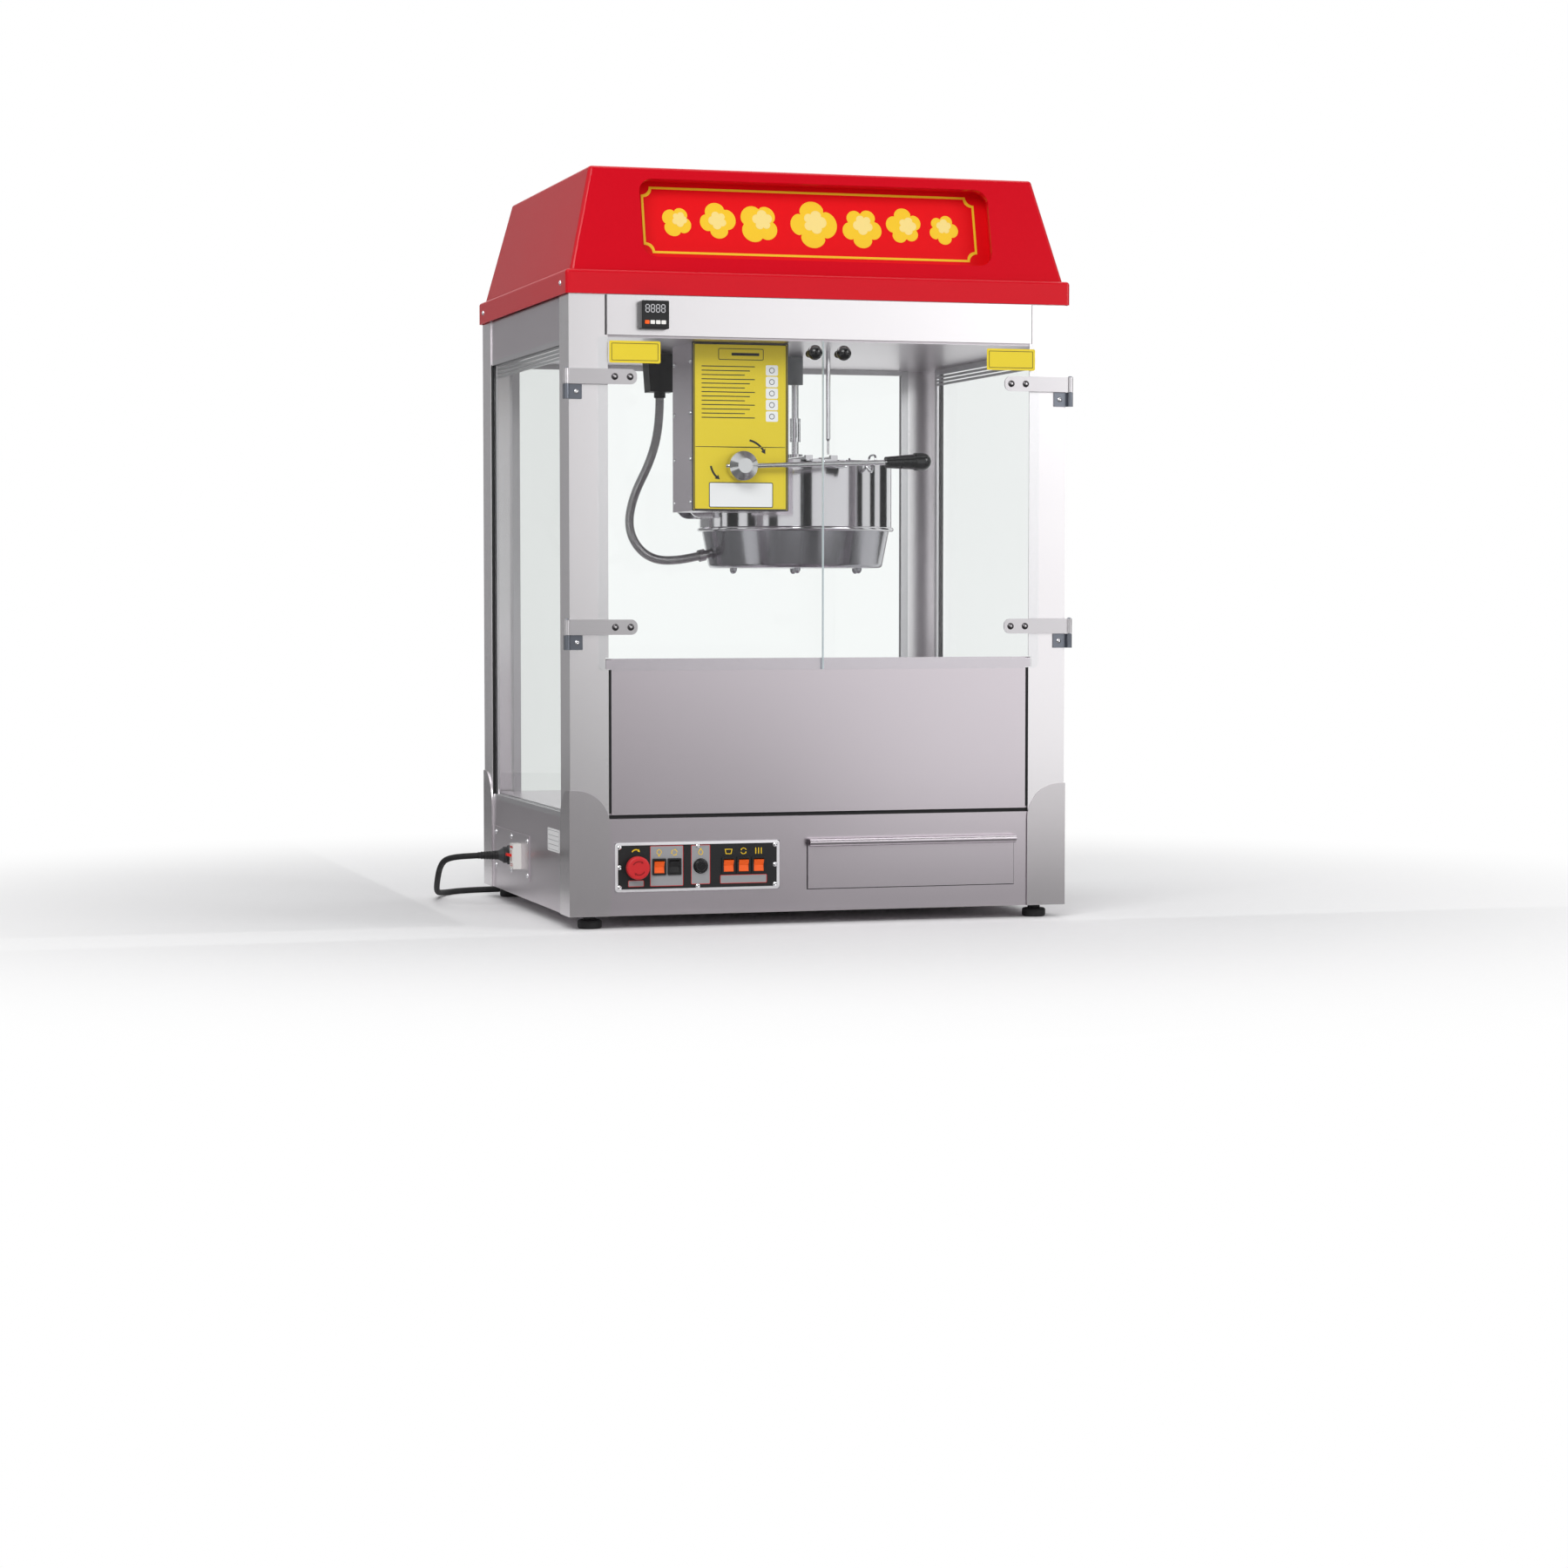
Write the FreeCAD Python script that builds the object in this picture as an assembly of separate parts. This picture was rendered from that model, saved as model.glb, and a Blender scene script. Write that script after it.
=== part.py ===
"""Popcorn machine: glazed cabinet, red canopy, tilting kettle, two doors, crumb drawer and controls.

X runs to the right, Y to the back and Z up. The origin lies on the surface that the machine stands on,
below the middle of the whole depth, knobs included. All sizes are millimetres.
"""
import FreeCAD, Part
import math
import os

V = FreeCAD.Vector
X_AXIS = V(1, 0, 0)
Y_AXIS = V(0, 1, 0)
Z_AXIS = V(0, 0, 1)

# Cabinet frame
WIDTH = 900.0
DEPTH = 730.0
SHEET = 2.0
POST_FRONT = 68.0
POST_SIDE = 72.0
FOOT_H = 23.0
FOOT_R = 21.0
FOOT_PAD_H = 15.0
FOOT_STEM_R = 11.0
FOOT_INSET_X = 42.0
FOOT_INSET_Y = 38.0
FOOT_ROUND = 4.0
BASE_H = 167.0
BASE_FLANGE = 28.0
GLAZED_H = 822.0
CEILING_WALL_H = 98.0
BOOT_FRONT = 69.5
BOOT_SIDE = 73.0
BOOT_H = 217.0
BOOT_CURVE = 62.0

# Glazing and its rubber frames
PANE_T = 4.0
PANE_COVER = 10.0
SEAL_T = 12.0
SEAL_FACE = 10.0
SEAL_OVERLAP = 4.0
SEAL_BED = 4.0

# Popcorn bin
FLOOR_RISE = 10.0
FLOOR_PLAY = 2.0
SIEVE_PITCH = 46.0
SIEVE_HOLE_R = 7.0
SIEVE_MARGIN = 34.0
BIN_PANEL_H = 268.0
BIN_PANEL_LIFT = 7.0
BIN_PANEL_SIDE_GAP = 5.0
BIN_PANEL_SET_BACK = 1.0
BIN_PANEL_RETURN = 16.0
BIN_HEM_H = 18.0
BIN_HEM_DEPTH = 10.0
BIN_HEM_REACH = 9.0
NOTCH_PLAY = 1.5

# Header and canopy
HEADER_LIFT = 4.0
HEADER_H = 68.0
HEADER_PROUD = 5.0
HEADER_LAP = 2.0
SKIRT_GAP = 1.0
SKIRT_H = 41.0
SKIRT_OVER = 6.0
ROOF_STEP = 4.0
ROOF_INSET = 44.0
ROOF_H = 181.0
ROOF_ROUND = 7.0
SKIRT_ROUND = 6.0
SIGN_W = 634.0
SIGN_H = 140.0
SIGN_RISE = 26.0
SIGN_CORNER = 25.0
SIGN_LAP = 12.0
SIGN_T = 3.0
SIGN_SET_BACK = 40.0
SIGN_RETURN = 9.0

# Doors and their hinges
DOOR_T = 5.0
DOOR_GAP = 1.0
DOOR_OUTER = 50.0
DOOR_MEET = 1.0
DOOR_H = 568.0
DOOR_TOP_GAP = 3.0
DOOR_CORNER = 10.0
STRAP_T = 3.0
STRAP_H = 26.0
STRAP_REACH = 123.0
STRAP_CORNER = 11.0
STRAP_SCREW_END = 12.0
STRAP_SCREW_PITCH = 27.0
HINGE_LOW = 74.0
HINGE_HIGH = 500.0
BRACKET_H = 25.0
BRACKET_T = 3.0
BRACKET_REACH = 22.0
BRACKET_SCREW_IN = 12.0
PIN_OUT = 6.0
PIN_R = 2.5
PIN_PLAY = 0.05
PIN_HEAD_R = 4.2
PIN_HEAD_H = 1.6
KNUCKLE_R = 5.0
HINGE_PLAY = 0.6
KNOB_R = 13.0
KNOB_STAND = 35.0
KNOB_NECK_R = 4.5
KNOB_IN = 26.0
KNOB_DROP = 23.0
KNOB_SCREW_R = 2.5
KNOB_SCREW_BITE = 10.0

# Fasteners
SCREW_HEAD_R = 4.2
SCREW_HEAD_H = 2.2
SCREW_R = 1.8
SCREW_PLAY = 0.1
SCREW_L = 7.0
STRAP_SCREW_HEAD_R = 5.5
STRAP_SCREW_HEAD_H = 2.8
NUT_R = 4.6
NUT_H = 3.6

# Control plate on the base front
PLATE_W = 294.0
PLATE_H = 85.0
PLATE_T = 3.0
PLATE_IN = 78.0
PLATE_LIFT = 41.0
PLATE_SCREW_EDGE = 8.0
PLATE_WINDOW_EDGE = 14.0
STOP_OFFSET = 37.0
STOP_R = 20.0
STOP_HEAD_H = 12.0
STOP_STAND = 10.0
STOP_STEM_R = 8.0
STOP_STEM_L = 24.0
STOP_ROUND = 4.0
OIL_OFFSET = 152.0
OIL_R = 11.2
OIL_PROUD = 6.0
OIL_L = 20.0
OIL_ROUND = 1.5
BUTTON_PLAY = 0.3
ROCKER_W = 24.3
ROCKER_H = 28.7
ROCKER_FRAME_T = 3.0
ROCKER_RIM = 3.0
ROCKER_HOUSING_L = 24.0
ROCKER_HOUSING_EDGE = 1.3
ROCKER_CAVITY_L = 15.0
ROCKER_PLAY = 0.4
ROCKER_SWELL = 6.0
ROCKER_DIP = 3.2
ROCKER_BACK_R = 6.0
ROCKER_END_PLAY = 1.4
ROCKER_REST = 8.0
ROCKER_PIVOT_IN = 2.0
ROCKER_PITCH = 27.0
ROCKER_PAIR_OFFSET = 78.0
ROCKER_TRIPLE_OFFSET = 202.0
ROCKER_PAIR = 2
ROCKER_TRIPLE = 3

# Temperature controller in the header
CONTROLLER = 48.0
CONTROLLER_PROUD = 18.0
CONTROLLER_BODY = 44.5
CONTROLLER_BODY_L = 62.0
CONTROLLER_IN = 146.0
CONTROLLER_ROUND = 2.0
CONTROLLER_PLAY = 0.4

# Crumb drawer
DRAWER_PLATE_GAP = 52.0
DRAWER_H = 88.0
DRAWER_IN = 95.0
DRAWER_LIFT = 39.5
DRAWER_FRONT_T = 3.0
DRAWER_FRONT_GAP = 0.3
DRAWER_LIP = 16.0
DRAWER_LIP_R = 7.0
TRAY_INSET = 9.0
TRAY_LIFT = 7.0
TRAY_H = 70.0
TRAY_L = 560.0
TRAY_T = 1.5
TRAY_PLAY = 3.0
RAIL_PLAY = 0.3
RAIL_SIDE_PLAY = 1.0
RAIL_FOOT = 15.0
RAIL_RISE = 30.0

# Mains inlet on the left side
INLET_L = 296.0
INLET_H = 82.5
INLET_FRONT = 337.0
INLET_LIFT = 34.0
INLET_SCREW_EDGE = 10.0
INLET_WINDOW_EDGE = 22.0
BREAKER_D = 30.0
BREAKER_H = 46.0
BREAKER_P = 15.0
BREAKER_BACK = 64.0
BREAKER_SLOT_D = 14.0
BREAKER_SLOT_H = 22.0
BREAKER_SLOT_L = 10.0
TOGGLE_R = 4.0
TOGGLE_T = 5.0
TOGGLE_L = 15.0
TOGGLE_TILT = 14.0
TOGGLE_PLAY = 0.3
GLAND_BACK = 112.0
GLAND_FLANGE_R = 16.0
GLAND_FLANGE_T = 4.0
GLAND_R = 13.0
GLAND_L = 34.0
GLAND_TAPER_L = 10.0
GLAND_END_R = 8.0

# Power cord
CORD_R = 5.5
COIL_X = -250.0
COIL_START_Y = 425.0
COIL_START_R = 78.0
COIL_STEP = 12.0
COIL_TURNS = 4.5
COIL_CLIMB_TURNS = 0.5
COIL_FLOOR_GAP = 2.3
COIL_TAIL = 50.0
TIE_T = 1.6
TIE_W = 14.0
TIE_SIDE_PLAY = 0.9
TIE_PLAY = 0.4
TIE_ROUND = 3.0
PLUG_R = 19.5
PLUG_TAPER_L = 22.0
PLUG_L = 30.0
PLUG_NECK_R = 8.0
PLUG_PIN_R = 2.4
PLUG_PIN_L = 19.0
PLUG_PIN_PITCH = 19.0
PLUG_EARTH_OFFSET = 5.0

# Kettle drive box under the ceiling
BOX_W = 174.0
BOX_D = 132.0
BOX_H = 292.0
BOX_IN = 234.0
BOX_BACK = 68.0
BOX_COVER_EDGE = 2.0
BUSH_R = 14.0
BUSH_FLANGE_R = 19.0
BUSH_FLANGE_T = 4.0
BUSH_BITE = 6.0
BUSH_PLAY = 0.05

# Tilt shaft and lever
TILT_X = -130.0
TILT_Z = 798.0
SHAFT_R = 10.0
SHAFT_BEHIND = 70.0
BOSS_R = 25.5
BOSS_NOSE_R = 13.0
BOSS_L = 32.0
BOSS_NOSE_L = 11.0
BOSS_GAP = 0.4
BOSS_DEPTH = 24.0
LEVER_R = 4.5
LEVER_L = 262.0
LEVER_RISE_DEG = 1.9
LEVER_BITE = 12.0
GRIP_L = 84.0
GRIP_R = 10.0
GRIP_NECK_L = 54.0
GRIP_NECK_R = 13.5
GRIP_END_R = 15.5
GRIP_SOCKET = 22.0
SET_SCREW_R = 3.2
SET_SCREW_PROUD = 4.0

# Kettle
KETTLE_X = 67.0
KETTLE_Y = 25.0
KETTLE_R = 178.0
KETTLE_WALL = 3.0
KETTLE_H = 125.0
KETTLE_RIM_Z = 815.0
KETTLE_FLOOR_T = 4.0
KETTLE_HEEL = 8.0
RIM_LIP = 2.5
RIM_H = 4.0
BEAD_R = 4.0
PAN_TOP_R = 173.0
PAN_LOW_R = 160.0
PAN_H = 67.0
PAN_ROUND = 7.0
NUT_RING_R = 132.0
NUT_COUNT = 6
ACORN_R = 6.0
ACORN_H = 5.0
ELEMENT_IN_R = 62.0
ELEMENT_OUT_R = 140.0
ELEMENT_T = 9.0
LUG_SPREAD = 45.0
LUG_T = 8.0
LUG_HUB_R = 18.0
LUG_DROP = 84.0
LUG_TOP = 8.0
LUG_ROUND = 22.0
LUG_BITE = 1.5
BAR_HALF = 20.0
BAR_T = 3.0
BAR_HUB_R = 14.0
BAR_HUB_H = 18.0
EAR_L = 11.0
EAR_T = 10.0
EAR_INSET = 4.0
HINGE_OFFSET = 25.0
HINGE_RISE = 5.5
LID_ROD_R = 2.5
LID_BARREL_R = 4.2
LID_T = 2.0
LID_PLAY = 0.3
LID_EDGE = 1.0
LID_WEB = 8.0

# Stirrer and its drive
STIR_R = 6.5
STIR_PLAY = 0.05
STIR_FLOOR_GAP = 0.4
COUPLING_R = 10.0
COUPLING_Z = 864.0
COUPLING_H = 27.0
COUPLING_NECK = 8.0
COUPLING_GAP = 0.3
BLADE_L = 160.0
BLADE_W = 16.0
BLADE_T = 6.0
BLADE_LIFT = 2.0
NOSE_R = 14.5
NOSE_L = 51.0
NOSE_PLAY = 0.3
GEARBOX_W = 100.0
GEARBOX_D = 84.0
GEARBOX_H = 48.0
MOTOR_R = 36.0
MOTOR_H = 70.0
SHAFT_SOCKET = 20.0

# Oil feed
OIL_TUBE_X = 80.0
OIL_TUBE_Y = -140.0
OIL_TUBE_R = 4.0
OIL_TIP_R = 2.2
OIL_TIP_L = 24.0
OIL_TIP_GAP = 9.0
OIL_TAPER_L = 4.0
PUMP_W = 56.0
PUMP_H = 46.0
PUMP_SOCKET = 12.0
PUMP_HEAD_R = 20.0
PUMP_HEAD_H = 18.0

# Flexible conduit to the kettle
CONDUIT_SIDE = 258.0
CONDUIT_SWEEP = 61.0
CONDUIT_RUN = 52.0
CONDUIT_SAG = 12.0
CONDUIT_PEAK_R = 8.4
CONDUIT_VALLEY_R = 7.3
CONDUIT_BORE_R = 6.0
CONDUIT_PITCH = 2.6
CONNECTOR_W = 56.0
CONNECTOR_D = 44.0
CONNECTOR_H = 69.0
CONNECTOR_TAPER = 5.0
CONNECTOR_GLAND_R = 10.5
CONNECTOR_GLAND_L = 10.0
ELBOW_REACH = 185.0
ELBOW_RISE = 22.0
ELBOW_R = 11.0
ELBOW_L = 12.0
ELBOW_NECK_R = 8.0
ELBOW_NECK_L = 30.0

# Places worked out from the sizes above
HALF_W = WIDTH / 2
HALF_D = DEPTH / 2
IN_X = HALF_W - SHEET
IN_Y = HALF_D - SHEET
BASE_TOP = FOOT_H + BASE_H
FLOOR_TOP = BASE_TOP + FLOOR_RISE
CEILING_Z = BASE_TOP + GLAZED_H
CEILING_TOP = CEILING_Z + SHEET
HEADER_Z = CEILING_Z + HEADER_LIFT
HEADER_Y = -(HALF_D + HEADER_PROUD)
SKIRT_Z = HEADER_Z + HEADER_H + SKIRT_GAP
SKIRT_TOP = SKIRT_Z + SKIRT_H
LEDGE_Z = SKIRT_TOP - SHEET
SKIRT_X = HALF_W + SKIRT_OVER
SKIRT_Y = HALF_D + SKIRT_OVER
ROOF_X = HALF_W - ROOF_STEP
ROOF_Y = HALF_D - ROOF_STEP
ROOF_TOP = SKIRT_TOP + ROOF_H
DOOR_TOP = HEADER_Z - DOOR_TOP_GAP
DOOR_Z = DOOR_TOP - DOOR_H
DOOR_BACK = -(HALF_D + DOOR_GAP)
DOOR_FACE = DOOR_BACK - DOOR_T
PIN_X = HALF_W + PIN_OUT
PIN_Y = DOOR_FACE - STRAP_T / 2
BIN_PANEL_Z = BASE_TOP + BIN_PANEL_LIFT
BIN_PANEL_TOP = BIN_PANEL_Z + BIN_PANEL_H
BIN_PANEL_Y = -(HALF_D - BIN_PANEL_SET_BACK)
POST_EDGE = HALF_W - POST_FRONT
FRONT_FACE = -IN_Y
PLATE_X = -HALF_W + PLATE_IN
PLATE_Z = FOOT_H + PLATE_LIFT
PLATE_FACE = FRONT_FACE - PLATE_T
BUTTON_Z = PLATE_Z + PLATE_H / 2
STOP_X = PLATE_X + STOP_OFFSET
OIL_X = PLATE_X + OIL_OFFSET
CONTROLLER_X = -HALF_W + CONTROLLER_IN
CONTROLLER_Z = HEADER_Z + HEADER_H / 2
DRAWER_X = PLATE_X + PLATE_W + DRAWER_PLATE_GAP
DRAWER_W = HALF_W - DRAWER_IN - DRAWER_X
DRAWER_Z = FOOT_H + DRAWER_LIFT
TRAY_X0 = DRAWER_X + TRAY_INSET
TRAY_X1 = DRAWER_X + DRAWER_W - TRAY_INSET
TRAY_Z = DRAWER_Z + TRAY_LIFT
DRAWER_BACK = FRONT_FACE - DRAWER_FRONT_GAP
INLET_Y = -HALF_D + INLET_FRONT
INLET_Z = FOOT_H + INLET_LIFT
INLET_FACE = -IN_X - SHEET
INLET_MID = INLET_Z + INLET_H / 2
BREAKER_Y = INLET_Y + BREAKER_BACK
GLAND_Y = INLET_Y + GLAND_BACK
BOX_X = -HALF_W + BOX_IN
BOX_Y = -HALF_D + BOX_BACK
BOX_Z = CEILING_Z - BOX_H
BOX_REAR = BOX_Y + BOX_D
COVER_FACE = BOX_Y - SHEET
BOSS_BACK = COVER_FACE - BUSH_FLANGE_T - BOSS_GAP
LEVER_Y = BOSS_BACK - (BOSS_L - BOSS_NOSE_L) / 2
KETTLE_FLOOR_Z = KETTLE_RIM_Z - KETTLE_H
PAN_Z = KETTLE_FLOOR_Z - PAN_H
LID_HINGE_Z = KETTLE_RIM_Z + HINGE_RISE
COIL_Z = CORD_R + COIL_FLOOR_GAP
COIL_TOP_Z = COIL_Z + COIL_STEP
COIL_Y = COIL_START_Y + COIL_START_R
CONDUIT_TOP_X = KETTLE_X - CONDUIT_SIDE
CONDUIT_TOP_Z = CEILING_Z - CONNECTOR_H - CONNECTOR_GLAND_L
ELBOW_X = KETTLE_X - ELBOW_REACH
ELBOW_Z = PAN_Z + ELBOW_RISE
MIDDLE_Y = (DOOR_FACE - KNOB_STAND - KNOB_R + SKIRT_Y) / 2


def box(x0, x1, y0, y1, z0, z1):
    """A block between two corners."""
    return Part.makeBox(x1 - x0, y1 - y0, z1 - z0, V(x0, y0, z0))


def rod(start, end, radius):
    """A round bar from one point to another."""
    run = end - start
    return Part.makeCylinder(radius, run.Length, start, run)


def taper(start, end, start_radius, end_radius):
    """A cone frustum from one point to another."""
    run = end - start
    return Part.makeCone(start_radius, end_radius, run.Length, start, run)


def dome(base, out, radius, height):
    """A spherical cap that stands on a point and faces the out direction."""
    ball = (radius ** 2 + height ** 2) / (2 * height)
    low = math.degrees(math.asin((ball - height) / ball))
    return Part.makeSphere(ball, base - out * (ball - height), out, low, 90, 360)


def prism(points, axis, start, end):
    """A polygon of (first, second) coordinates across an axis, drawn out along that axis."""
    place = {
        "x": lambda a, b: V(start, a, b),
        "y": lambda a, b: V(a, start, b),
        "z": lambda a, b: V(a, b, start),
    }[axis]
    run = {"x": X_AXIS, "y": Y_AXIS, "z": Z_AXIS}[axis] * (end - start)
    corners = [place(a, b) for a, b in points]
    return Part.Face(Part.makePolygon(corners + corners[:1])).extrude(run)


def lathe(edges, centre_x, centre_y):
    """A solid turned about a vertical axis from a closed chain of edges in the X-Z plane."""
    turned = Part.Face(Part.Wire(edges)).revolve(V(0, 0, 0), Z_AXIS, 360)
    turned.translate(V(centre_x, centre_y, 0))
    return turned


def line(a, b):
    """A straight edge between two (radius, height) points of a turned profile."""
    return Part.LineSegment(V(a[0], 0, a[1]), V(b[0], 0, b[1])).toShape()


def bow(a, middle, b):
    """A round edge through three (radius, height) points of a turned profile."""
    return Part.Arc(V(a[0], 0, a[1]), V(middle[0], 0, middle[1]), V(b[0], 0, b[1])).toShape()


def fused(first, *others):
    """One solid from pieces that overlap or share faces."""
    return first.fuse(list(others)).removeSplitter().Solids[0]


def group(solids):
    """Separate solids that share one node."""
    return Part.makeCompound(solids)


def mirrored_x(shape):
    """The same piece on the other side of the cabinet."""
    return shape.mirror(V(0, 0, 0), X_AXIS)


def mirrored_y(shape):
    """The same piece at the other end of the cabinet."""
    return shape.mirror(V(0, 0, 0), Y_AXIS)


def edges_along(shape, axis, test):
    """Straight edges that run along an axis and whose middle passes a test."""
    chosen = []
    for edge in shape.Edges:
        if edge.Curve.TypeId != "Part::GeomLine":
            continue
        run = edge.Vertexes[1].Point - edge.Vertexes[0].Point
        if run.normalize().cross(axis).Length < 1e-6 and test(edge.CenterOfMass):
            chosen.append(edge)
    return chosen


def rounded(shape, axis, radius, test=lambda point: True):
    """Rounds the chosen straight edges."""
    return shape.makeFillet(radius, edges_along(shape, axis, test))


def screw(place, out):
    """A pan-head screw whose head sits on a face, with its shank behind the face."""
    head = dome(place, out, SCREW_HEAD_R, SCREW_HEAD_H)
    return fused(head, rod(place, place - out * SCREW_L, SCREW_R))


def screw_hole(place, out):
    """The clearance hole of such a screw."""
    return rod(place + out, place - out * (SCREW_L + SCREW_PLAY), SCREW_R + SCREW_PLAY)


def hollow(outer_box, inner_box):
    """A box of sheet: an outer block less an inner one."""
    return outer_box.cut(inner_box).Solids[0]


# Base and posts


def rocker_places():
    """Middle X of each rocker switch: a pair at the left and three at the right."""
    pair = [PLATE_X + ROCKER_PAIR_OFFSET + i * ROCKER_PITCH for i in range(ROCKER_PAIR)]
    triple = [PLATE_X + ROCKER_TRIPLE_OFFSET + i * ROCKER_PITCH for i in range(ROCKER_TRIPLE)]
    return pair + triple


def plate_screw_places():
    """Corners of the control plate, the middles of its long edges and of its short ones."""
    left = PLATE_X + PLATE_SCREW_EDGE
    right = PLATE_X + PLATE_W - PLATE_SCREW_EDGE
    low = PLATE_Z + PLATE_SCREW_EDGE
    high = PLATE_Z + PLATE_H - PLATE_SCREW_EDGE
    columns = [left, (left + right) / 2, right]
    places = [V(x, PLATE_FACE, z) for x in columns for z in (low, high)]
    return places + [V(x, PLATE_FACE, BUTTON_Z) for x in (left, right)]


def inlet_screw_places():
    """Three screws along each long edge of the inlet plate."""
    front = INLET_Y + INLET_SCREW_EDGE
    back = INLET_Y + INLET_L - INLET_SCREW_EDGE
    low = INLET_Z + INLET_SCREW_EDGE
    high = INLET_Z + INLET_H - INLET_SCREW_EDGE
    return [V(INLET_FACE, y, z) for y in (front, (front + back) / 2, back) for z in (low, high)]


def hinge_heights():
    """Lower edges of the two straps of each door."""
    return [DOOR_Z + HINGE_LOW - STRAP_H / 2, DOOR_Z + HINGE_HIGH - STRAP_H / 2]


def bracket_screw_places(side):
    """One screw in the foot of each hinge bracket, on the left (-1) or right (1)."""
    x = side * (HALF_W - BRACKET_SCREW_IN)
    y = -HALF_D - BRACKET_T
    return [V(x, y, z - HINGE_PLAY - BRACKET_H / 2) for z in hinge_heights()]


def skirt_screw_places():
    """Screws through the sides of the skirt into the posts, as (place, outward direction)."""
    z = (SKIRT_Z + LEDGE_Z) / 2
    y = HALF_D - POST_SIDE / 2
    return [(V(sx * SKIRT_X, sy * y, z), X_AXIS * sx) for sx in (-1, 1) for sy in (-1, 1)]


def case_screws():
    """All pan-head screws of the case."""
    screws = [screw(p, -Y_AXIS) for p in plate_screw_places()]
    screws += [screw(p, -X_AXIS) for p in inlet_screw_places()]
    for side in (-1, 1):
        screws += [screw(p, -Y_AXIS) for p in bracket_screw_places(side)]
    screws += [screw(p, out) for p, out in skirt_screw_places()]
    return group(screws)


def base_pan():
    """Folded tray of the base: floor, side and rear walls with inward flanges, and welded drawer rails."""
    front = -IN_Y + SHEET
    floor_top = FOOT_H + SHEET
    floor = box(-IN_X, IN_X, front, IN_Y, FOOT_H, floor_top)
    wall = box(IN_X - SHEET, IN_X, front, IN_Y, FOOT_H, BASE_TOP)
    flange = box(IN_X - BASE_FLANGE, IN_X, front, IN_Y, BASE_TOP - SHEET, BASE_TOP)
    rear = box(-IN_X, IN_X, IN_Y - SHEET, IN_Y, FOOT_H, BASE_TOP)
    rear_flange = box(-IN_X, IN_X, IN_Y - BASE_FLANGE, IN_Y, BASE_TOP - SHEET, BASE_TOP)
    rail_top = TRAY_Z - RAIL_PLAY
    rail_back = DRAWER_BACK + TRAY_L
    rails = []
    for x, inward in ((TRAY_X0 - RAIL_SIDE_PLAY, 1), (TRAY_X1 + RAIL_SIDE_PLAY, -1)):
        web = sorted((x - inward * SHEET, x))
        foot = sorted((x, x + inward * RAIL_FOOT))
        rails.append(box(*web, front, rail_back, floor_top, rail_top + RAIL_RISE))
        rails.append(box(*foot, front, rail_back, rail_top - SHEET, rail_top))
    pan = fused(floor, wall, mirrored_x(wall), flange, mirrored_x(flange), rear, rear_flange)
    window = box(
        -HALF_W, -IN_X + 2 * SHEET,
        INLET_Y + INLET_WINDOW_EDGE, INLET_Y + INLET_L - INLET_WINDOW_EDGE,
        INLET_Z + INLET_WINDOW_EDGE, INLET_Z + INLET_H - INLET_WINDOW_EDGE,
    )
    holes = [screw_hole(p, -X_AXIS) for p in inlet_screw_places()]
    return group(pan.cut([window] + holes).Solids + rails)


def base_front_panel():
    """Front sheet of the base with the switch window and the drawer opening."""
    sheet = box(-IN_X, IN_X, -IN_Y, -IN_Y + SHEET, FOOT_H, BASE_TOP)
    inner = IN_X - BASE_FLANGE
    flange = box(-inner, inner, -IN_Y, -IN_Y + BASE_FLANGE, BASE_TOP - SHEET, BASE_TOP)
    switches = box(
        PLATE_X + PLATE_WINDOW_EDGE, PLATE_X + PLATE_W - PLATE_WINDOW_EDGE,
        -HALF_D, -IN_Y + 2 * SHEET,
        PLATE_Z + PLATE_WINDOW_EDGE, PLATE_Z + PLATE_H - PLATE_WINDOW_EDGE,
    )
    drawer = box(
        TRAY_X0 - TRAY_PLAY, TRAY_X1 + TRAY_PLAY,
        -HALF_D, -IN_Y + 2 * SHEET,
        TRAY_Z - TRAY_PLAY, TRAY_Z + TRAY_H + TRAY_PLAY,
    )
    holes = [screw_hole(p, -Y_AXIS) for p in plate_screw_places()]
    return fused(sheet, flange).cut([switches, drawer] + holes).Solids[0]


def corner_posts():
    """Four angle posts. The front ones have a notch each for the ends of the bin panel's hem."""
    front_leg = box(POST_EDGE, HALF_W, -HALF_D, -IN_Y, FOOT_H, LEDGE_Z)
    side_leg = box(IN_X, HALF_W, -HALF_D, -HALF_D + POST_SIDE, FOOT_H, LEDGE_Z)
    post = fused(front_leg, side_leg)
    notch = box(
        POST_EDGE - SHEET, POST_EDGE - BIN_PANEL_SIDE_GAP + BIN_HEM_REACH + NOTCH_PLAY,
        -HALF_D - SHEET, -IN_Y + SHEET,
        BIN_PANEL_TOP - BIN_HEM_H, BIN_PANEL_TOP + NOTCH_PLAY,
    )
    skirt_holes = [screw_hole(p, out) for p, out in skirt_screw_places()]
    bracket_holes = [screw_hole(p, -Y_AXIS) for p in bracket_screw_places(1)]
    front = post.cut([notch] + skirt_holes + bracket_holes).Solids[0]
    rear = mirrored_y(post).cut(skirt_holes).Solids[0]
    return group([front, mirrored_x(front), rear, mirrored_x(rear)])


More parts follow.
